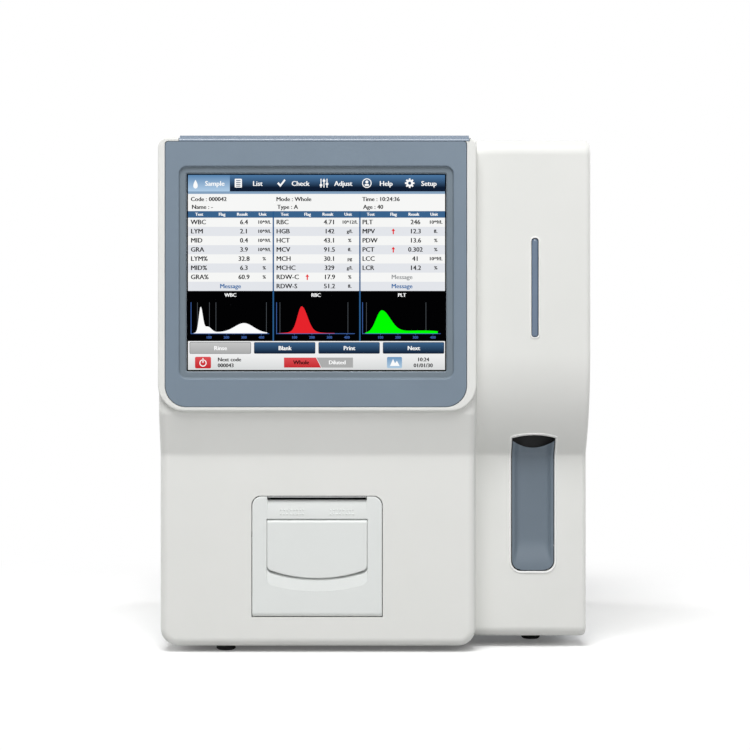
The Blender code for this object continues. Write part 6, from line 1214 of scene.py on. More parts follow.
def roughen(tree, shader, place, gloss, grain, relief, depth, stretch=(1.0, 1.0, 1.0)):
    """Fine grain in gloss and relief. Gloss is the lowest and highest roughness, and grain is in metres.
    Moulding and grinding marks are really near 0.1 mm and are drawn at 0.6 to 1.2 mm, so that they show."""
    drawn = node(tree, "ShaderNodeMapping", {"Vector": place, "Scale": stretch})
    fine = node(tree, "ShaderNodeTexNoise", {"Vector": drawn.outputs[0], "Scale": 1 / grain, "Detail": 4.0,
                                             "Roughness": 0.6})
    polish = node(tree, "ShaderNodeMapRange", {"Value": fine.outputs["Fac"], "From Min": 0.3, "From Max": 0.7,
                                               "To Min": gloss[0], "To Max": gloss[1]})
    tree.links.new(polish.outputs[0], shader.inputs["Roughness"])
    emboss(tree, shader, fine.outputs["Fac"], relief, depth)


def textured(name, tones, patch, gloss, grain, relief, depth, stretch=(1.0, 1.0, 1.0), **constants):
    """New material whose colour drifts between two tones in patches of a length in metres, with a fine grain.
    The constants go on the shader's sockets."""
    made, tree, shader, place = surface(name, **constants)
    cloud = node(tree, "ShaderNodeTexNoise", {"Vector": place, "Scale": 1 / patch, "Detail": 3.0})
    blend = node(tree, "ShaderNodeMix", {0: cloud.outputs["Fac"], 6: linear(tones[0]), 7: linear(tones[1])},
                 data_type="RGBA")
    tree.links.new(blend.outputs[2], shader.inputs["Base Color"])
    roughen(tree, shader, place, gloss, grain, relief, depth, stretch)
    return made


FINISHES = {}

# ABS, injection moulded in a fine spark-eroded mould: warm white, satin, with a very even grain.
FINISHES["white_abs"] = textured(
    "moulded_white_abs", ("EFEFEC", "EAEBE7"), patch=0.06, gloss=(0.44, 0.54), grain=0.0009, relief=0.10,
    depth=0.00006, IOR=1.54, Specular_IOR_Level=0.36)

# Steel sheet, powder coated in the colour of the covers: satin, with a soft orange peel of 2.4 mm.
FINISHES["painted_case"] = textured(
    "powder_coated_sheet", ("E9E9E5", "E3E4E0"), patch=0.09, gloss=(0.50, 0.60), grain=0.0024, relief=0.16,
    depth=0.00010, IOR=1.5, Specular_IOR_Level=0.36)

# ABS, injection moulded and tinted blue-grey: satin, a little deeper in tone than the covers.
FINISHES["blue_grey_abs"] = textured(
    "moulded_blue_grey_abs", ("7C8C9B", "758493"), patch=0.05, gloss=(0.40, 0.50), grain=0.0009,
    relief=0.12, depth=0.00006, IOR=1.54, Specular_IOR_Level=0.45)

# The same blue-grey ABS in the sunk border, where the mould is etched coarser and duller. Its darker tone is
# painted shade in the recess.
SUNK_BORDER_PAINTED_SHADE_FINISH = textured(
    "etched_blue_grey_abs_painted_shade", ("7C8993", "75818B"), patch=0.05, gloss=(0.58, 0.70), grain=0.0011, relief=0.20,
    depth=0.00008, IOR=1.54, Specular_IOR_Level=0.3)

# The blue-grey ABS of the top strip, moulded in a polished cavity: its nose catches a narrow highlight.
STRIP_FINISH = textured(
    "polished_blue_grey_abs", ("748598", "6E7E90"), patch=0.05, gloss=(0.26, 0.34), grain=0.0012,
    relief=0.05, depth=0.00004, IOR=1.54, Specular_IOR_Level=0.55)

# Blue-grey ABS of the start key, darker than the bezel's: the darker tone is painted shade of the overhang
# above it. Satin, rubbed smoother by fingers.
KEY_PAINTED_SHADE_FINISH = textured(
    "moulded_key_abs_painted_shade", ("6D7A86", "677480"), patch=0.03, gloss=(0.34, 0.46), grain=0.0009, relief=0.10,
    depth=0.00005, IOR=1.54, Specular_IOR_Level=0.45)

# White ABS of the bead round an opening, glossier where the mould shuts off against polished steel.
# Its paler tone is a painted highlight along the bead.
LIP_PAINTED_HIGHLIGHT_FINISH = textured(
    "polished_white_abs_painted_highlight", ("FBFBF9", "F8F8F6"), patch=0.03, gloss=(0.18, 0.26), grain=0.0012, relief=0.04,
    depth=0.00003, IOR=1.54, Specular_IOR_Level=0.5)

# White ABS of the bought-in recorder: moulded like the covers, a touch cooler in tone.
RECORDER_FINISH = textured(
    "moulded_cool_white_abs", ("EDF0EE", "E9ECEA"), patch=0.06, gloss=(0.38, 0.48), grain=0.0009,
    relief=0.10, depth=0.00006, IOR=1.54, Specular_IOR_Level=0.42)


def screen_glass_finish():
    """Soda-lime glass, float made and vacuum coated against glare: clear, with hardly any mirror image."""
    made, tree, shader, place = surface("coated_touch_glass", IOR=1.5, Transmission_Weight=1.0,
                                        Roughness=0.02, Specular_IOR_Level=0.06,
                                        Specular_Tint=linear("000000"))
    tint = node(tree, "ShaderNodeTexNoise", {"Vector": place, "Scale": 1 / 0.08, "Detail": 1.0})
    blend = node(tree, "ShaderNodeMix", {0: tint.outputs["Fac"], 6: linear("FFFFFF"), 7: linear("FCFDFD")},
                 data_type="RGBA")
    tree.links.new(blend.outputs[2], shader.inputs["Base Color"])
    return made


FINISHES["screen_glass"] = screen_glass_finish()

# Stainless steel, pressed round the display: thin, cold-rolled, lightly streaked along its length.
FINISHES["lcd_metal"] = textured(
    "pressed_stainless_frame", ("B9BCBE", "A9ADB0"), patch=0.03, gloss=(0.30, 0.42), grain=0.0008,
    relief=0.10, depth=0.00003, stretch=(0.05, 1.0, 1.0), Metallic=1.0)


def zinc_sheet_finish():
    """Steel sheet, galvanised and skin passed: flat grey metal, with faint crystals of about 4 mm."""
    made, tree, shader, place = surface("galvanised_sheet", Metallic=1.0)
    crystal = node(tree, "ShaderNodeTexVoronoi", {"Vector": place, "Scale": 1 / 0.004, "Randomness": 1.0})
    tone = node(tree, "ShaderNodeSeparateColor", {"Color": crystal.outputs["Color"]})
    blend = node(tree, "ShaderNodeMix", {0: tone.outputs[0], 6: linear("C4C8CA"), 7: linear("BABFC2")},
                 data_type="RGBA")
    tree.links.new(blend.outputs[2], shader.inputs["Base Color"])
    polish = node(tree, "ShaderNodeMapRange", {"Value": tone.outputs[1], "To Min": 0.40, "To Max": 0.47})
    tree.links.new(polish.outputs[0], shader.inputs["Roughness"])
    fine = node(tree, "ShaderNodeTexNoise", {"Vector": place, "Scale": 1 / 0.0012, "Detail": 3.0})
    emboss(tree, shader, fine.outputs["Fac"], 0.10, 0.00004)
    return made


FINISHES["zinc_sheet"] = zinc_sheet_finish()

# Stainless steel, ground: bright, with fine lines left across it by the wheel.
FINISHES["steel"] = textured(
    "ground_stainless_steel", ("D2D3D3", "C4C6C7"), patch=0.02, gloss=(0.20, 0.34), grain=0.0006,
    relief=0.12, depth=0.00003, stretch=(1.0, 1.0, 0.06), Metallic=1.0)

# Phosphor bronze contacts, gold flashed: small warm bright wires.
GOLD_CONTACT_FINISH = textured(
    "gold_flashed_contact", ("E2BE72", "D2AA5C"), patch=0.004, gloss=(0.22, 0.32), grain=0.0006,
    relief=0.05, depth=0.00002, Metallic=1.0)


def port_ring_finish(name, colour):
    """Polypropylene, moulded in the colour of its reagent line: waxy and a little translucent."""
    made, tree, shader, place = surface(f"moulded_polypropylene_{name}", Base_Color=linear(colour), IOR=1.49,
                                        Subsurface_Weight=0.05, Subsurface_Scale=0.001)
    roughen(tree, shader, place, (0.36, 0.46), 0.0008, 0.08, 0.00004)
    return made


# Aluminium, milled and anodised clear: pale, matt, with a faint even grain.
FINISHES["aluminium"] = textured(
    "anodised_aluminium", ("D0D2D4", "C2C5C8"), patch=0.03, gloss=(0.34, 0.46), grain=0.0007, relief=0.10,
    depth=0.00003, stretch=(0.1, 1.0, 1.0), Metallic=1.0)

# Glass-filled nylon, injection moulded black: dull, with a slightly cloudy grain.
FINISHES["black_plastic"] = textured(
    "moulded_black_nylon", ("1C1D1F", "26272A"), patch=0.02, gloss=(0.42, 0.58), grain=0.0008, relief=0.20,
    depth=0.00006, IOR=1.53, Specular_IOR_Level=0.4)

# Nitrile rubber, pressed black: matt, with dust-grey bloom in soft patches.
FINISHES["black_rubber"] = textured(
    "pressed_black_rubber", ("141414", "202120"), patch=0.008, gloss=(0.68, 0.84), grain=0.0008,
    relief=0.25, depth=0.00006, IOR=1.52, Specular_IOR_Level=0.3)

# Steel can, drawn and nickel plated: warm grey and bright, with soft drawing lines.
FINISHES["motor_case"] = textured(
    "nickel_plated_can", ("BDB9B2", "ABA8A2"), patch=0.02, gloss=(0.22, 0.34), grain=0.0006, relief=0.08,
    depth=0.00003, stretch=(0.08, 1.0, 1.0), Metallic=1.0)


def circuit_board_finish():
    """Glass-epoxy board under green solder mask: glossy over copper tracks in rows 2.5 mm apart."""
    made, tree, shader, place = surface("solder_masked_board", IOR=1.55, Roughness=0.30)
    tracks = node(tree, "ShaderNodeTexBrick", {
        "Vector": place, "Scale": 1.0, "Color1": linear("1C5A36"), "Color2": linear("20633C"),
        "Mortar": linear("2F7A4C"), "Mortar Size": 0.0004, "Brick Width": 0.011, "Row Height": 0.0025})
    tree.links.new(tracks.outputs["Color"], shader.inputs["Base Color"])
    emboss(tree, shader, tracks.outputs["Fac"], 0.05, 0.00004)
    return made


FINISHES["circuit_board"] = circuit_board_finish()


def clear_acrylic_finish():
    """Acrylic, cast and polished: clear, faintly blue where it is thick."""
    made, tree, shader, place = surface("polished_acrylic", IOR=1.49, Transmission_Weight=0.9)
    cloud = node(tree, "ShaderNodeTexNoise", {"Vector": place, "Scale": 1 / 0.02, "Detail": 2.0})
    blend = node(tree, "ShaderNodeMix", {0: cloud.outputs["Fac"], 6: linear("E4EBEE"), 7: linear("F2F6F7")},
                 data_type="RGBA")
    tree.links.new(blend.outputs[2], shader.inputs["Base Color"])
    polish = node(tree, "ShaderNodeMapRange", {"Value": cloud.outputs["Fac"], "To Min": 0.04, "To Max": 0.12})
    tree.links.new(polish.outputs[0], shader.inputs["Roughness"])
    return made


FINISHES["clear_acrylic"] = clear_acrylic_finish()

# Polycarbonate, moulded and tinted smoke blue: the unlit lamp bar, glossy over a milky body.
LIGHT_BAR_FINISH = textured(
    "moulded_tinted_polycarbonate", ("70829A", "67788D"), patch=0.02, gloss=(0.14, 0.22), grain=0.002,
    relief=0.03, depth=0.00004, IOR=1.58, Specular_IOR_Level=0.5)

# Acetal, machined and left uncoloured: creamy white, waxy, with faint turning marks.
FINISHES["natural_plastic"] = textured(
    "machined_acetal", ("E9E6DA", "E1DDCF"), patch=0.02, gloss=(0.32, 0.44), grain=0.0007, relief=0.12,
    depth=0.00004, stretch=(1.0, 1.0, 0.1), IOR=1.48, Subsurface_Weight=0.1, Subsurface_Scale=0.002)

# Thermal paper, wound on its core: smooth and bright, with the edges of its turns. They are really
# 0.06 mm apart and are drawn 0.5 mm apart, so that they show.
FINISHES["thermal_paper"] = textured(
    "wound_thermal_paper", ("F3F3EF", "ECECE6"), patch=0.03, gloss=(0.55, 0.68), grain=0.0005, relief=0.15,
    depth=0.00004, stretch=(0.1, 1.0, 1.0), IOR=1.5, Specular_IOR_Level=0.25)


def dress_carried_nodes():
    """CAD nodes whose shape is right: they get their finish, and their edges are softened."""
    stood_for = {name for made in bpy.data.objects for name in made.get("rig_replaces", [])}
    for name, carried in frame["nodes"].items():
        if name in stood_for:
            continue
        for slot in carried.material_slots:
            slot.material = FINISHES[slot.material.name.split(".")[0]]
        weld = carried.modifiers.new("weld", "WELD")
        weld.merge_threshold = WELD_DISTANCE
        soften(carried, CARRIED_EDGE, 1)


# Studio
def aimed(place, target):
    """Matrix of a lamp or camera at a place that looks at a target."""
    direction = Vector(target) - Vector(place)
    return Matrix.Translation(place) @ direction.to_track_quat("-Z", "Y").to_matrix().to_4x4()


def lamp(name, place, size, power):
    light = bpy.data.lights.new(name, "AREA")
    light.shape = "SQUARE"
    light.size = size
    light.energy = power
    made = bpy.data.objects.new(name, light)
    made.matrix_world = aimed(place, LAMP_TARGET)
    bpy.context.scene.collection.objects.link(made)


def seen(tree):
    """1 for rays that reach the eye straight, by a mirror image or through glass."""
    path = node(tree, "ShaderNodeLightPath")
    rays = {0: path.outputs["Is Camera Ray"], 1: path.outputs["Is Glossy Ray"]}
    direct = node(tree, "ShaderNodeMath", rays, operation="MAXIMUM")
    return node(tree, "ShaderNodeMath", {0: direct.outputs[0], 1: path.outputs["Is Transmission Ray"]},
                operation="MAXIMUM").outputs[0]


def make_world():
    world = bpy.data.worlds.new("studio")
    world.use_nodes = True
    tree = world.node_tree
    tree.nodes.clear()
    room = node(tree, "ShaderNodeBackground", {"Color": linear("FFFFFF"), "Strength": ROOM_LIGHT})
    backdrop = node(tree, "ShaderNodeBackground", {"Color": linear("FFFFFF"), "Strength": 1.0})
    both = node(tree, "ShaderNodeMixShader", {0: seen(tree), 1: room.outputs[0], 2: backdrop.outputs[0]})
    node(tree, "ShaderNodeOutputWorld", {"Surface": both.outputs[0]})
    bpy.context.scene.world = world


def make_floor():
    """White studio table. It keeps the object's shadow, and throws little light back up."""
    half = FLOOR_SIZE / 2
    plane = plain_object("floor", ([Vector((-half, -half, 0.0)), Vector((half, -half, 0.0)),
                                    Vector((half, half, 0.0)), Vector((-half, half, 0.0))], [[0, 1, 2, 3]]))
    made = bpy.data.materials.new("white_studio_table")
    made.use_nodes = True
    tree = made.node_tree
    tree.nodes.clear()
    place = node(tree, "ShaderNodeTexCoord").outputs["Object"]
    reach = node(tree, "ShaderNodeVectorMath", {0: place}, operation="LENGTH")
    far = node(tree, "ShaderNodeMapRange", {"Value": reach.outputs["Value"], "From Min": FLOOR_LIT_REACH,
                                            "From Max": FLOOR_WHITE_REACH}, interpolation_type="SMOOTHSTEP")
    bright = node(tree, "ShaderNodeBsdfDiffuse", {"Color": linear("F8F8F8")})
    glow = node(tree, "ShaderNodeEmission", {"Color": linear("FFFFFF"), "Strength": FLOOR_GLOW})
    lit = node(tree, "ShaderNodeAddShader", {0: bright.outputs[0], 1: glow.outputs[0]})
    white = node(tree, "ShaderNodeEmission", {"Color": linear("FFFFFF"), "Strength": 1.0})
    whole = node(tree, "ShaderNodeMixShader", {0: far.outputs[0], 1: lit.outputs[0], 2: white.outputs[0]})
    dull = node(tree, "ShaderNodeBsdfDiffuse", {"Color": linear("BCBCBC")})
    both = node(tree, "ShaderNodeMixShader", {0: seen(tree), 1: dull.outputs[0], 2: whole.outputs[0]})
    node(tree, "ShaderNodeOutputMaterial", {"Surface": both.outputs[0]})
    plane.data.materials.append(made)


def make_camera():
    """Long lens, level and square to the front, a little above its middle."""
    camera = bpy.data.cameras.new("camera")
    camera.sensor_width = SENSOR_WIDTH
    camera.lens = LENS
    made = bpy.data.objects.new("camera", camera)
    made.matrix_world = aimed(CAMERA_PLACE, (CAMERA_PLACE[0], 0.0, CAMERA_PLACE[2]))
    bpy.context.scene.collection.objects.link(made)
    bpy.context.scene.camera = made
    bpy.context.scene.view_settings.view_transform = "Standard"


# Picture on the display, laid out in units from its upper left corner
PICTURE_MARGIN = 0.0010
PICTURE_LEFT = WINDOW_LEFT + PICTURE_MARGIN
PICTURE_RIGHT = WINDOW_RIGHT - PICTURE_MARGIN
PICTURE_TOP = WINDOW_TOP - PICTURE_MARGIN * 0.7
PICTURE_BOTTOM = WINDOW_BOTTOM + PICTURE_MARGIN * 1.4
PICTURE_WIDTH_UNITS = 257.0
UNIT = (PICTURE_RIGHT - PICTURE_LEFT) / PICTURE_WIDTH_UNITS
PICTURE_HEIGHT_UNITS = (PICTURE_TOP - PICTURE_BOTTOM) / UNIT
LAYER = 0.00002
TAB_BOTTOM = 16.5
TAB_COUNT = 6
TAB_WORDS = ("Sample", "List", "Check", "Adjust", "Help", "Setup")
RULE_BOTTOM = 19.0
INFO_ROWS = (24.4, 32.2)
HEADER_TOP = 36.2
HEADER_BOTTOM = 42.8
TABLE_ROWS = 8
ROW_PITCH = 9.15
TABLE_BOTTOM = HEADER_BOTTOM + TABLE_ROWS * ROW_PITCH
COLUMN_STARTS = (0.0, 85.5, 171.5)
COLUMN_WIDTH = 84.5
DIVIDERS = (84.6, 171.2)
GRAPH_BOTTOM = 166.2
BASELINE = 158.4
GRAPH_TITLE = 120.3
GRAPH_TICKS = 162.6
AXIS_INSET = 3.2
AXIS_HEIGHT = 31.0
AXIS_LENGTH = 78.0
TICK_PITCH = 17.5
BUTTON_TOP = 167.6
BUTTON_BOTTOM = 178.4
BUTTON_WIDTH = 60.6
BUTTON_PITCH = 64.4
BUTTON_WORDS = ("Rinse", "Blank", "Print", "Next")
STATUS_TOP = 180.4
SMALL_TEXT = 4.6
HEADING_TEXT = SMALL_TEXT * 0.72
GRAPH_TEXT = SMALL_TEXT * 0.85
TICK_TEXT = SMALL_TEXT * 0.62
STATUS_TEXT = SMALL_TEXT * 0.9
MODE_TEXT = SMALL_TEXT * 0.95
TABLE_TEXT = 5.1
UNIT_TEXT = TABLE_TEXT * 0.74
MESSAGE_TEXT = TABLE_TEXT * 0.95
TAB_TEXT = 6.6 * 0.80
WORD_WEIGHT = 0.42

PICTURE = {}


def onto_picture(shape, level):
    """Moves a flat shape given in units to its place on the display, at its level in the picture."""
    points, faces = shape
    y = LCD_LOW.y - LAYER * (level + 1)
    places = [Vector((PICTURE_LEFT + across * UNIT, y, PICTURE_TOP - down * UNIT)) for across, down in points]
    return places, faces


def draw(tone, level, *outlines):
    """Adds flat outlines of one tone to the picture."""
    for outline in outlines:
        PICTURE.setdefault(tone, []).append(onto_picture((outline, [list(range(len(outline)))]), level))


def bar(left, top, right, bottom, radius=0.0):
    corners = [(left, top), (right, top), (right, bottom), (left, bottom)]
    return filleted(corners, [radius] * 4, steps=4) if radius else corners


def write(tone, level, words, place, size, align="CENTER"):
    """Adds plain words or numbers to the picture, centred on a height. They are drawn twice, a little apart,
    which makes them bold."""
    curve = bpy.data.curves.new("words", "FONT")
    curve.body = words
    curve.size = size * 1.3
    curve.align_x = align
    curve.align_y = "CENTER"
    curve.resolution_u = 2
    holder = bpy.data.objects.new("words", curve)
    bpy.context.scene.collection.objects.link(holder)
    bpy.context.view_layer.update()
    mesh = bpy.data.meshes.new_from_object(holder.evaluated_get(bpy.context.evaluated_depsgraph_get()))
    points = [(place[0] + vertex.co.x, place[1] - vertex.co.y) for vertex in mesh.vertices]
    faces = [list(face.vertices) for face in mesh.polygons]
    bpy.data.objects.remove(holder, do_unlink=True)
    for shift, rise in ((0.0, 0.0), (WORD_WEIGHT, 0.2)):
        shifted = [(x + shift, y) for x, y in points]
        PICTURE.setdefault(tone, []).append(onto_picture((shifted, faces), level + rise))


def lit_finish(name, upper, lower=None, top=0.0, bottom=1.0):
    """Lit display, etched glass over a backlight: the tone as written, running from its upper to its lower
    tone, with the faint unevenness of the backlight."""
    made, tree, shader, place = surface(name, Specular_IOR_Level=0.0, Roughness=0.6,
                                        Base_Color=linear("000000"), Emission_Strength=1.0)
    height = node(tree, "ShaderNodeSeparateXYZ", {"Vector": place})
    share = node(tree, "ShaderNodeMapRange", {"Value": height.outputs[2],
                                              "From Min": PICTURE_TOP - top * UNIT,
                                              "From Max": PICTURE_TOP - bottom * UNIT})
    blend = node(tree, "ShaderNodeMix", {0: share.outputs[0], 6: linear(upper), 7: linear(lower or upper)},
                 data_type="RGBA")
    cloud = node(tree, "ShaderNodeTexNoise", {"Vector": place, "Scale": 1 / 0.05, "Detail": 1.0})
    dimming = node(tree, "ShaderNodeMapRange", {"Value": cloud.outputs["Fac"], "To Min": 0.97, "To Max": 1.0})
    tone = node(tree, "ShaderNodeVectorMath", {0: blend.outputs[2], "Scale": dimming.outputs[0]},
                operation="SCALE")
    tree.links.new(tone.outputs[0], shader.inputs["Emission Color"])
    return made


def draw_tabs():
    pitch = PICTURE_WIDTH_UNITS / TAB_COUNT
    draw("bar_navy", 1, bar(0.0, 0.0, PICTURE_WIDTH_UNITS, TAB_BOTTOM))
    draw("tab_blue", 2, bar(0.0, 0.0, pitch - 1.0, TAB_BOTTOM))
    draw("rule_blue", 1, bar(0.0, TAB_BOTTOM, PICTURE_WIDTH_UNITS, RULE_BOTTOM))
    for index, word in enumerate(TAB_WORDS):
        left = index * pitch
        write("white", 3, word, (left + pitch * 0.62, TAB_BOTTOM / 2 + 0.6), TAB_TEXT)
    draw_icons([index * pitch + 7.5 for index in range(TAB_COUNT)], TAB_BOTTOM / 2)


def disc(x, y, radius):
    return circle(radius, SMALL_SEGMENTS, x, y)


def draw_icons(places, y):
    """Plain signs for the tabs: a drop, a list, a tick, a slider, a dot in a ring and a cog."""
    angles = [2 * math.pi * step / 24 for step in range(24)]
    drop = [(places[0] + 3.0 * math.sin(angle) * math.sin(angle / 2) ** 1.2, y + 1.0 - 4.37 * math.cos(angle))
            for angle in angles]
    draw("white", 3, drop)
    x = places[1]
    draw("white", 3, bar(x - 3.6, y - 4.4, x + 3.6, y + 4.4, 0.8))
    for row in range(4):
        draw("bar_navy", 4, bar(x - 2.2, y - 3.1 + row * 1.9, x + 2.2, y - 2.3 + row * 1.9))
    x = places[2]
    tick = ((-4.0, 0.4), (-2.6, -1.0), (-0.8, 1.2), (3.2, -4.0), (4.4, -2.8), (-0.8, 3.8))
    draw("white", 3, [(x + across, y + down) for across, down in tick])
    x = places[3]
    for across, down in ((-3.0, 2.0), (0.0, -2.4), (3.0, 0.8)):
        draw("white", 3, bar(x + across - 0.5, y - 4.4, x + across + 0.5, y + 4.4),
             bar(x + across - 1.3, y + down - 1.0, x + across + 1.3, y + down + 1.0, 0.4))
    x = places[4]
    draw("white", 3, disc(x, y, 4.8))
    draw("bar_navy", 4, disc(x, y, 3.9))
    draw("white", 5, disc(x, y - 1.2, 1.5), bar(x - 2.2, y + 0.8, x + 2.2, y + 2.8, 0.9))
    x = places[5]
    teeth = 8
    cog = []
    for index in range(teeth):
        for radius, share in ((3.4, -0.35), (4.8, -0.2), (4.8, 0.2), (3.4, 0.35)):
            angle = 2 * math.pi * (index + share) / teeth
            cog.append((x + radius * math.cos(angle), y + radius * math.sin(angle)))
    draw("white", 3, cog)
    draw("bar_navy", 4, disc(x, y, 1.6))


# Plain readings of the three columns: name, value and unit. An arrow marks a high value.
READINGS = (
    (("WBC", "6.4", "10^9/L"), ("LYM", "2.1", "10^9/L"), ("MID", "0.4", "10^9/L"), ("GRA", "3.9", "10^9/L"),
     ("LYM%", "32.8", "%"), ("MID%", "6.3", "%"), ("GRA%", "60.9", "%")),
    (("RBC", "4.71", "10^12/L"), ("HGB", "142", "g/L"), ("HCT", "43.1", "%"), ("MCV", "91.5", "fL"),
     ("MCH", "30.1", "pg"), ("MCHC", "329", "g/L"), ("RDW-C", "17.9", "%"), ("RDW-S", "51.2", "fL")),
    (("PLT", "246", "10^9/L"), ("MPV", "12.3", "fL"), ("PDW", "13.6", "%"), ("PCT", "0.302", "%"),
     ("LCC", "41", "10^9/L"), ("LCR", "14.2", "%")),
)
HIGH_READINGS = ((1, 6), (2, 1), (2, 3))
INFO_WORDS = (("Code : 000042", "Mode : Whole", "Time : 10:24:36"), ("Name : -", "Type : A", "Age : 40"))
NAME_SHARE = 0.03
ARROW_SHARE = 0.40
VALUE_SHARE = 0.66
UNIT_SHARE = 0.90


def draw_table():
    for row, y in enumerate(INFO_ROWS):
        for column, words in enumerate(INFO_WORDS[row]):
            write("ink", 2, words, (COLUMN_STARTS[column] + 2.5 + row, y), SMALL_TEXT, "LEFT")
    draw("header_blue", 1, bar(0.0, HEADER_TOP, PICTURE_WIDTH_UNITS, HEADER_BOTTOM))
    for row in range(TABLE_ROWS):
        if row % 2:
            top = HEADER_BOTTOM + row * ROW_PITCH
            draw("row_grey", 1, bar(0.0, top, PICTURE_WIDTH_UNITS, top + ROW_PITCH))
    for column, start in enumerate(COLUMN_STARTS):
        middle = (HEADER_TOP + HEADER_BOTTOM) / 2
        for share, word in ((0.13, "Test"), (0.40, "Flag"), (0.64, "Result"), (0.88, "Unit")):
            write("white", 2, word, (start + share * COLUMN_WIDTH, middle), HEADING_TEXT)
        for row, (name, value, unit) in enumerate(READINGS[column]):
            y = HEADER_BOTTOM + (row + 0.5) * ROW_PITCH
            write("ink", 2, name, (start + NAME_SHARE * COLUMN_WIDTH, y), TABLE_TEXT, "LEFT")
            write("ink", 2, value, (start + VALUE_SHARE * COLUMN_WIDTH, y), TABLE_TEXT)
            write("ink", 2, unit, (start + UNIT_SHARE * COLUMN_WIDTH, y), UNIT_TEXT)
            if (column, row) in HIGH_READINGS:
                x = start + ARROW_SHARE * COLUMN_WIDTH
                draw("red", 2, [(x, y - 3.0), (x + 1.9, y - 0.5), (x + 0.6, y - 0.5), (x + 0.6, y + 2.8),
                                (x - 0.6, y + 2.8), (x - 0.6, y - 0.5), (x - 1.9, y - 0.5)])
    message = HEADER_BOTTOM + (TABLE_ROWS - 0.5) * ROW_PITCH
    for tone, column, up in (("link_blue", 0, 0), ("link_blue", 2, 0), ("soft_grey", 2, ROW_PITCH)):
        write(tone, 2, "Message", (COLUMN_STARTS[column] + COLUMN_WIDTH / 2, message - up), MESSAGE_TEXT)


def bell(x, centre, left, right):
    """Bell curve whose two sides may differ in width."""
    return math.exp(-((x - centre) / (left if x < centre else right)) ** 2)


# Each curve: tone, its bells as (height, middle, left width, right width), its end and its marker lines
CURVES = (
    ("white", ((26.0, 9.5, 2.6, 3.0), (6.0, 16.5, 4.0, 5.0), (9.0, 53.0, 13.0, 13.0),
               (1.4, 40.0, 30.0, 34.0)), 76.0, (6.0, 18.0, 24.5, 75.0)),
    ("red", ((25.0, 25.0, 6.0, 8.0), (2.0, 26.0, 16.0, 18.0)), 58.0, (3.0, 71.0)),
    ("green", ((22.0, 19.0, 8.0, 12.0), (2.8, 60.0, 40.0, 30.0)), 75.0, (3.5, 63.0)),
)
CURVE_START = 2.5
CURVE_STEPS = 90
GRAPH_NAMES = ("WBC", "RBC", "PLT")


def draw_graphs():
    draw("black", 1, bar(0.0, TABLE_BOTTOM, PICTURE_WIDTH_UNITS, GRAPH_BOTTOM))
    for start, name, (tone, bells, end, markers) in zip(COLUMN_STARTS, GRAPH_NAMES, CURVES):
        base = start + AXIS_INSET
        top_y = BASELINE - AXIS_HEIGHT
        write("white", 3, name, (start + COLUMN_WIDTH / 2, GRAPH_TITLE), GRAPH_TEXT)
        draw("axis_blue", 4, bar(base - 0.5, top_y, base + 0.2, BASELINE + 0.8),
             bar(base - 0.5, BASELINE, base + AXIS_LENGTH, BASELINE + 0.7))
        for marker in markers:
            draw("line_grey", 2, bar(base + marker, top_y, base + marker + 0.45, BASELINE))
        for tick in range(1, 5):
            x = base + tick * TICK_PITCH
            draw("axis_blue", 4, bar(x, BASELINE, x + 0.5, BASELINE + 1.8))
            write("axis_blue", 3, str(tick * 100), (x, GRAPH_TICKS), TICK_TEXT)
        top = []
        for step in range(CURVE_STEPS + 1):
            x = CURVE_START + (end - CURVE_START) * step / CURVE_STEPS
            height = sum(high * bell(x, middle, left, right) for high, middle, left, right in bells)
            top.append((base + x, BASELINE - max(0.3, height)))
        for first, second in zip(top, top[1:]):
            draw(tone, 3, [first, second, (second[0], BASELINE), (first[0], BASELINE)])
    for x in DIVIDERS:
        draw("divider_blue", 5, bar(x, HEADER_TOP, x + 1.4, GRAPH_BOTTOM))


def draw_controls():
    draw("status_grey", 1, bar(0.0, GRAPH_BOTTOM, PICTURE_WIDTH_UNITS, PICTURE_HEIGHT_UNITS))
    for index, word in enumerate(BUTTON_WORDS):
        left = 2.0 + index * BUTTON_PITCH
        tone = "button_navy" if index else "button_grey"
        right = left + BUTTON_WIDTH
        draw("line_grey", 2, bar(left - 0.4, BUTTON_TOP - 0.4, right + 0.4, BUTTON_BOTTOM + 0.4, 1.2))
        draw(tone, 3, bar(left, BUTTON_TOP, right, BUTTON_BOTTOM, 1.0))
        write("white", 4, word, ((left + right) / 2, (BUTTON_TOP + BUTTON_BOTTOM) / 2 + 0.4), SMALL_TEXT)
    middle = (STATUS_TOP + PICTURE_HEIGHT_UNITS) / 2
    draw("red_key", 2, bar(7.0, middle - 5.8, 23.0, middle + 5.8, 1.4))
    draw("white", 3, disc(15.0, middle + 0.4, 3.6))
    draw("red_key", 4, disc(15.0, middle + 0.4, 2.7), bar(14.0, middle - 4.2, 16.0, middle - 1.0))
    draw("white", 5, bar(14.5, middle - 4.4, 15.5, middle + 0.2))
    for words, x, rise, align in (("Next code", 29.5, -2.9, "LEFT"), ("000043", 29.5, 3.0, "LEFT"),
                                  ("10:24", 235.0, -2.9, "CENTER"), ("01/01/30", 235.0, 3.0, "CENTER")):
        write("ink", 2, words, (x, middle + rise), STATUS_TEXT, align)
    low, high = middle - 5.0, middle + 5.0
    draw("red_key", 2, [(96.0, low), (128.0, low), (133.0, high), (96.0, high)])
    draw("button_grey", 2, [(128.6, low), (165.0, low), (165.0, high), (133.6, high)])
    write("ink", 3, "Whole", (113.0, middle), MODE_TEXT)
    write("white", 3, "Diluted", (149.0, middle), MODE_TEXT)
    draw("tab_blue_low", 2, bar(199.0, middle - 5.6, 214.0, middle + 5.6, 1.2))
    peaks = ((202.0, 3.4), (205.0, -3.6), (207.0, 0.6), (209.0, -1.8), (211.6, 3.4))
    draw("white", 3, [(x, middle + down) for x, down in peaks])


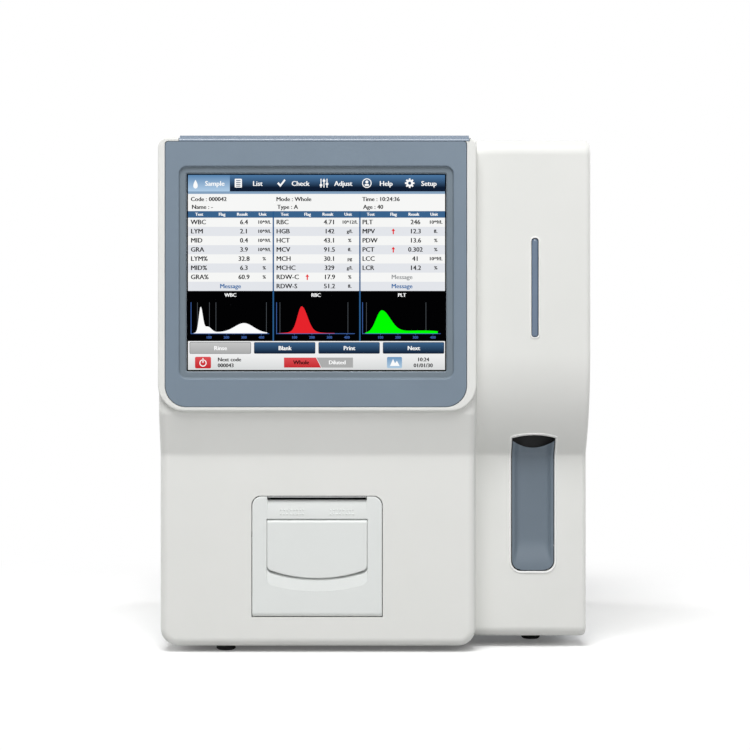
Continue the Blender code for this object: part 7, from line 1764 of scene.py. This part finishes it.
def make_picture():
    draw("black", -0.5, bar(-1.2, -1.0, PICTURE_WIDTH_UNITS + 1.2, PICTURE_HEIGHT_UNITS + 1.4))
    draw("paper_white", 0, bar(0.0, 0.0, PICTURE_WIDTH_UNITS, PICTURE_HEIGHT_UNITS))
    draw_tabs()
    draw_table()
    draw_graphs()
    draw_controls()
    tones = {
        "black": ("020203",), "white": ("FFFFFF",), "paper_white": ("F9F9F8",), "row_grey": ("E6E8ED",),
        "ink": ("0A0B0C",), "red": ("E8242C",), "green": ("00FF00",), "link_blue": ("3F6FA6",),
        "soft_grey": ("9A9C9E",), "rule_blue": ("86A3C0",), "header_blue": ("3B648E",),
        "divider_blue": ("2C5C8C",), "axis_blue": ("3D5FA0",), "line_grey": ("50555A",),
        "bar_navy": ("4D78A4", "101E33", 0.0, TAB_BOTTOM * 0.75),
        "tab_blue": ("5885B1", "B4D0EA", 0.0, TAB_BOTTOM),
        "tab_blue_low": ("5D8DBB", "B9D3E7", STATUS_TOP, PICTURE_HEIGHT_UNITS),
        "button_grey": ("C6C6C6", "AEAEAE", BUTTON_TOP, BUTTON_BOTTOM),
        "button_navy": ("3D6288", "0E1B30", BUTTON_TOP, BUTTON_BOTTOM),
        "status_grey": ("F2F2F2", "DADCDC", STATUS_TOP, PICTURE_HEIGHT_UNITS),
        "red_key": ("E2555A", "C01C22", STATUS_TOP, PICTURE_HEIGHT_UNITS),
    }
    for tone, shapes in PICTURE.items():
        made = plain_object(f"picture_{tone}", joined(*shapes))
        made.data.materials.append(lit_finish(f"lit_{tone}", *tones[tone]))
        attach(made, "case")


make_left_front_cover()
make_bezel()
piece("bezel_strip", "case", "blue_grey_abs", prism(strip_profile(), "X", STRIP_LOW.x, STRIP_HIGH.x),
      ["bezel_top_strip"], edge=STRIP_EDGE, finish=STRIP_FINISH)
make_screen()
make_picture()
make_tower_cover()
make_status_light()
make_key()
make_shade_shroud()
make_door()
make_handle()
make_case()
make_rear()
make_feet()
dress_carried_nodes()
make_world()
make_floor()
make_camera()
lamp("key_lamp", KEY_LAMP_PLACE, KEY_LAMP_SIZE, KEY_LAMP_POWER)
lamp("front_lamp", FRONT_LAMP_PLACE, FRONT_LAMP_SIZE, FRONT_LAMP_POWER)
lamp("rear_lamp_left", REAR_LAMP_PLACE, REAR_LAMP_SIZE, REAR_LAMP_POWER)
lamp("rear_lamp_right", (-REAR_LAMP_PLACE[0], *REAR_LAMP_PLACE[1:]), REAR_LAMP_SIZE, REAR_LAMP_POWER)
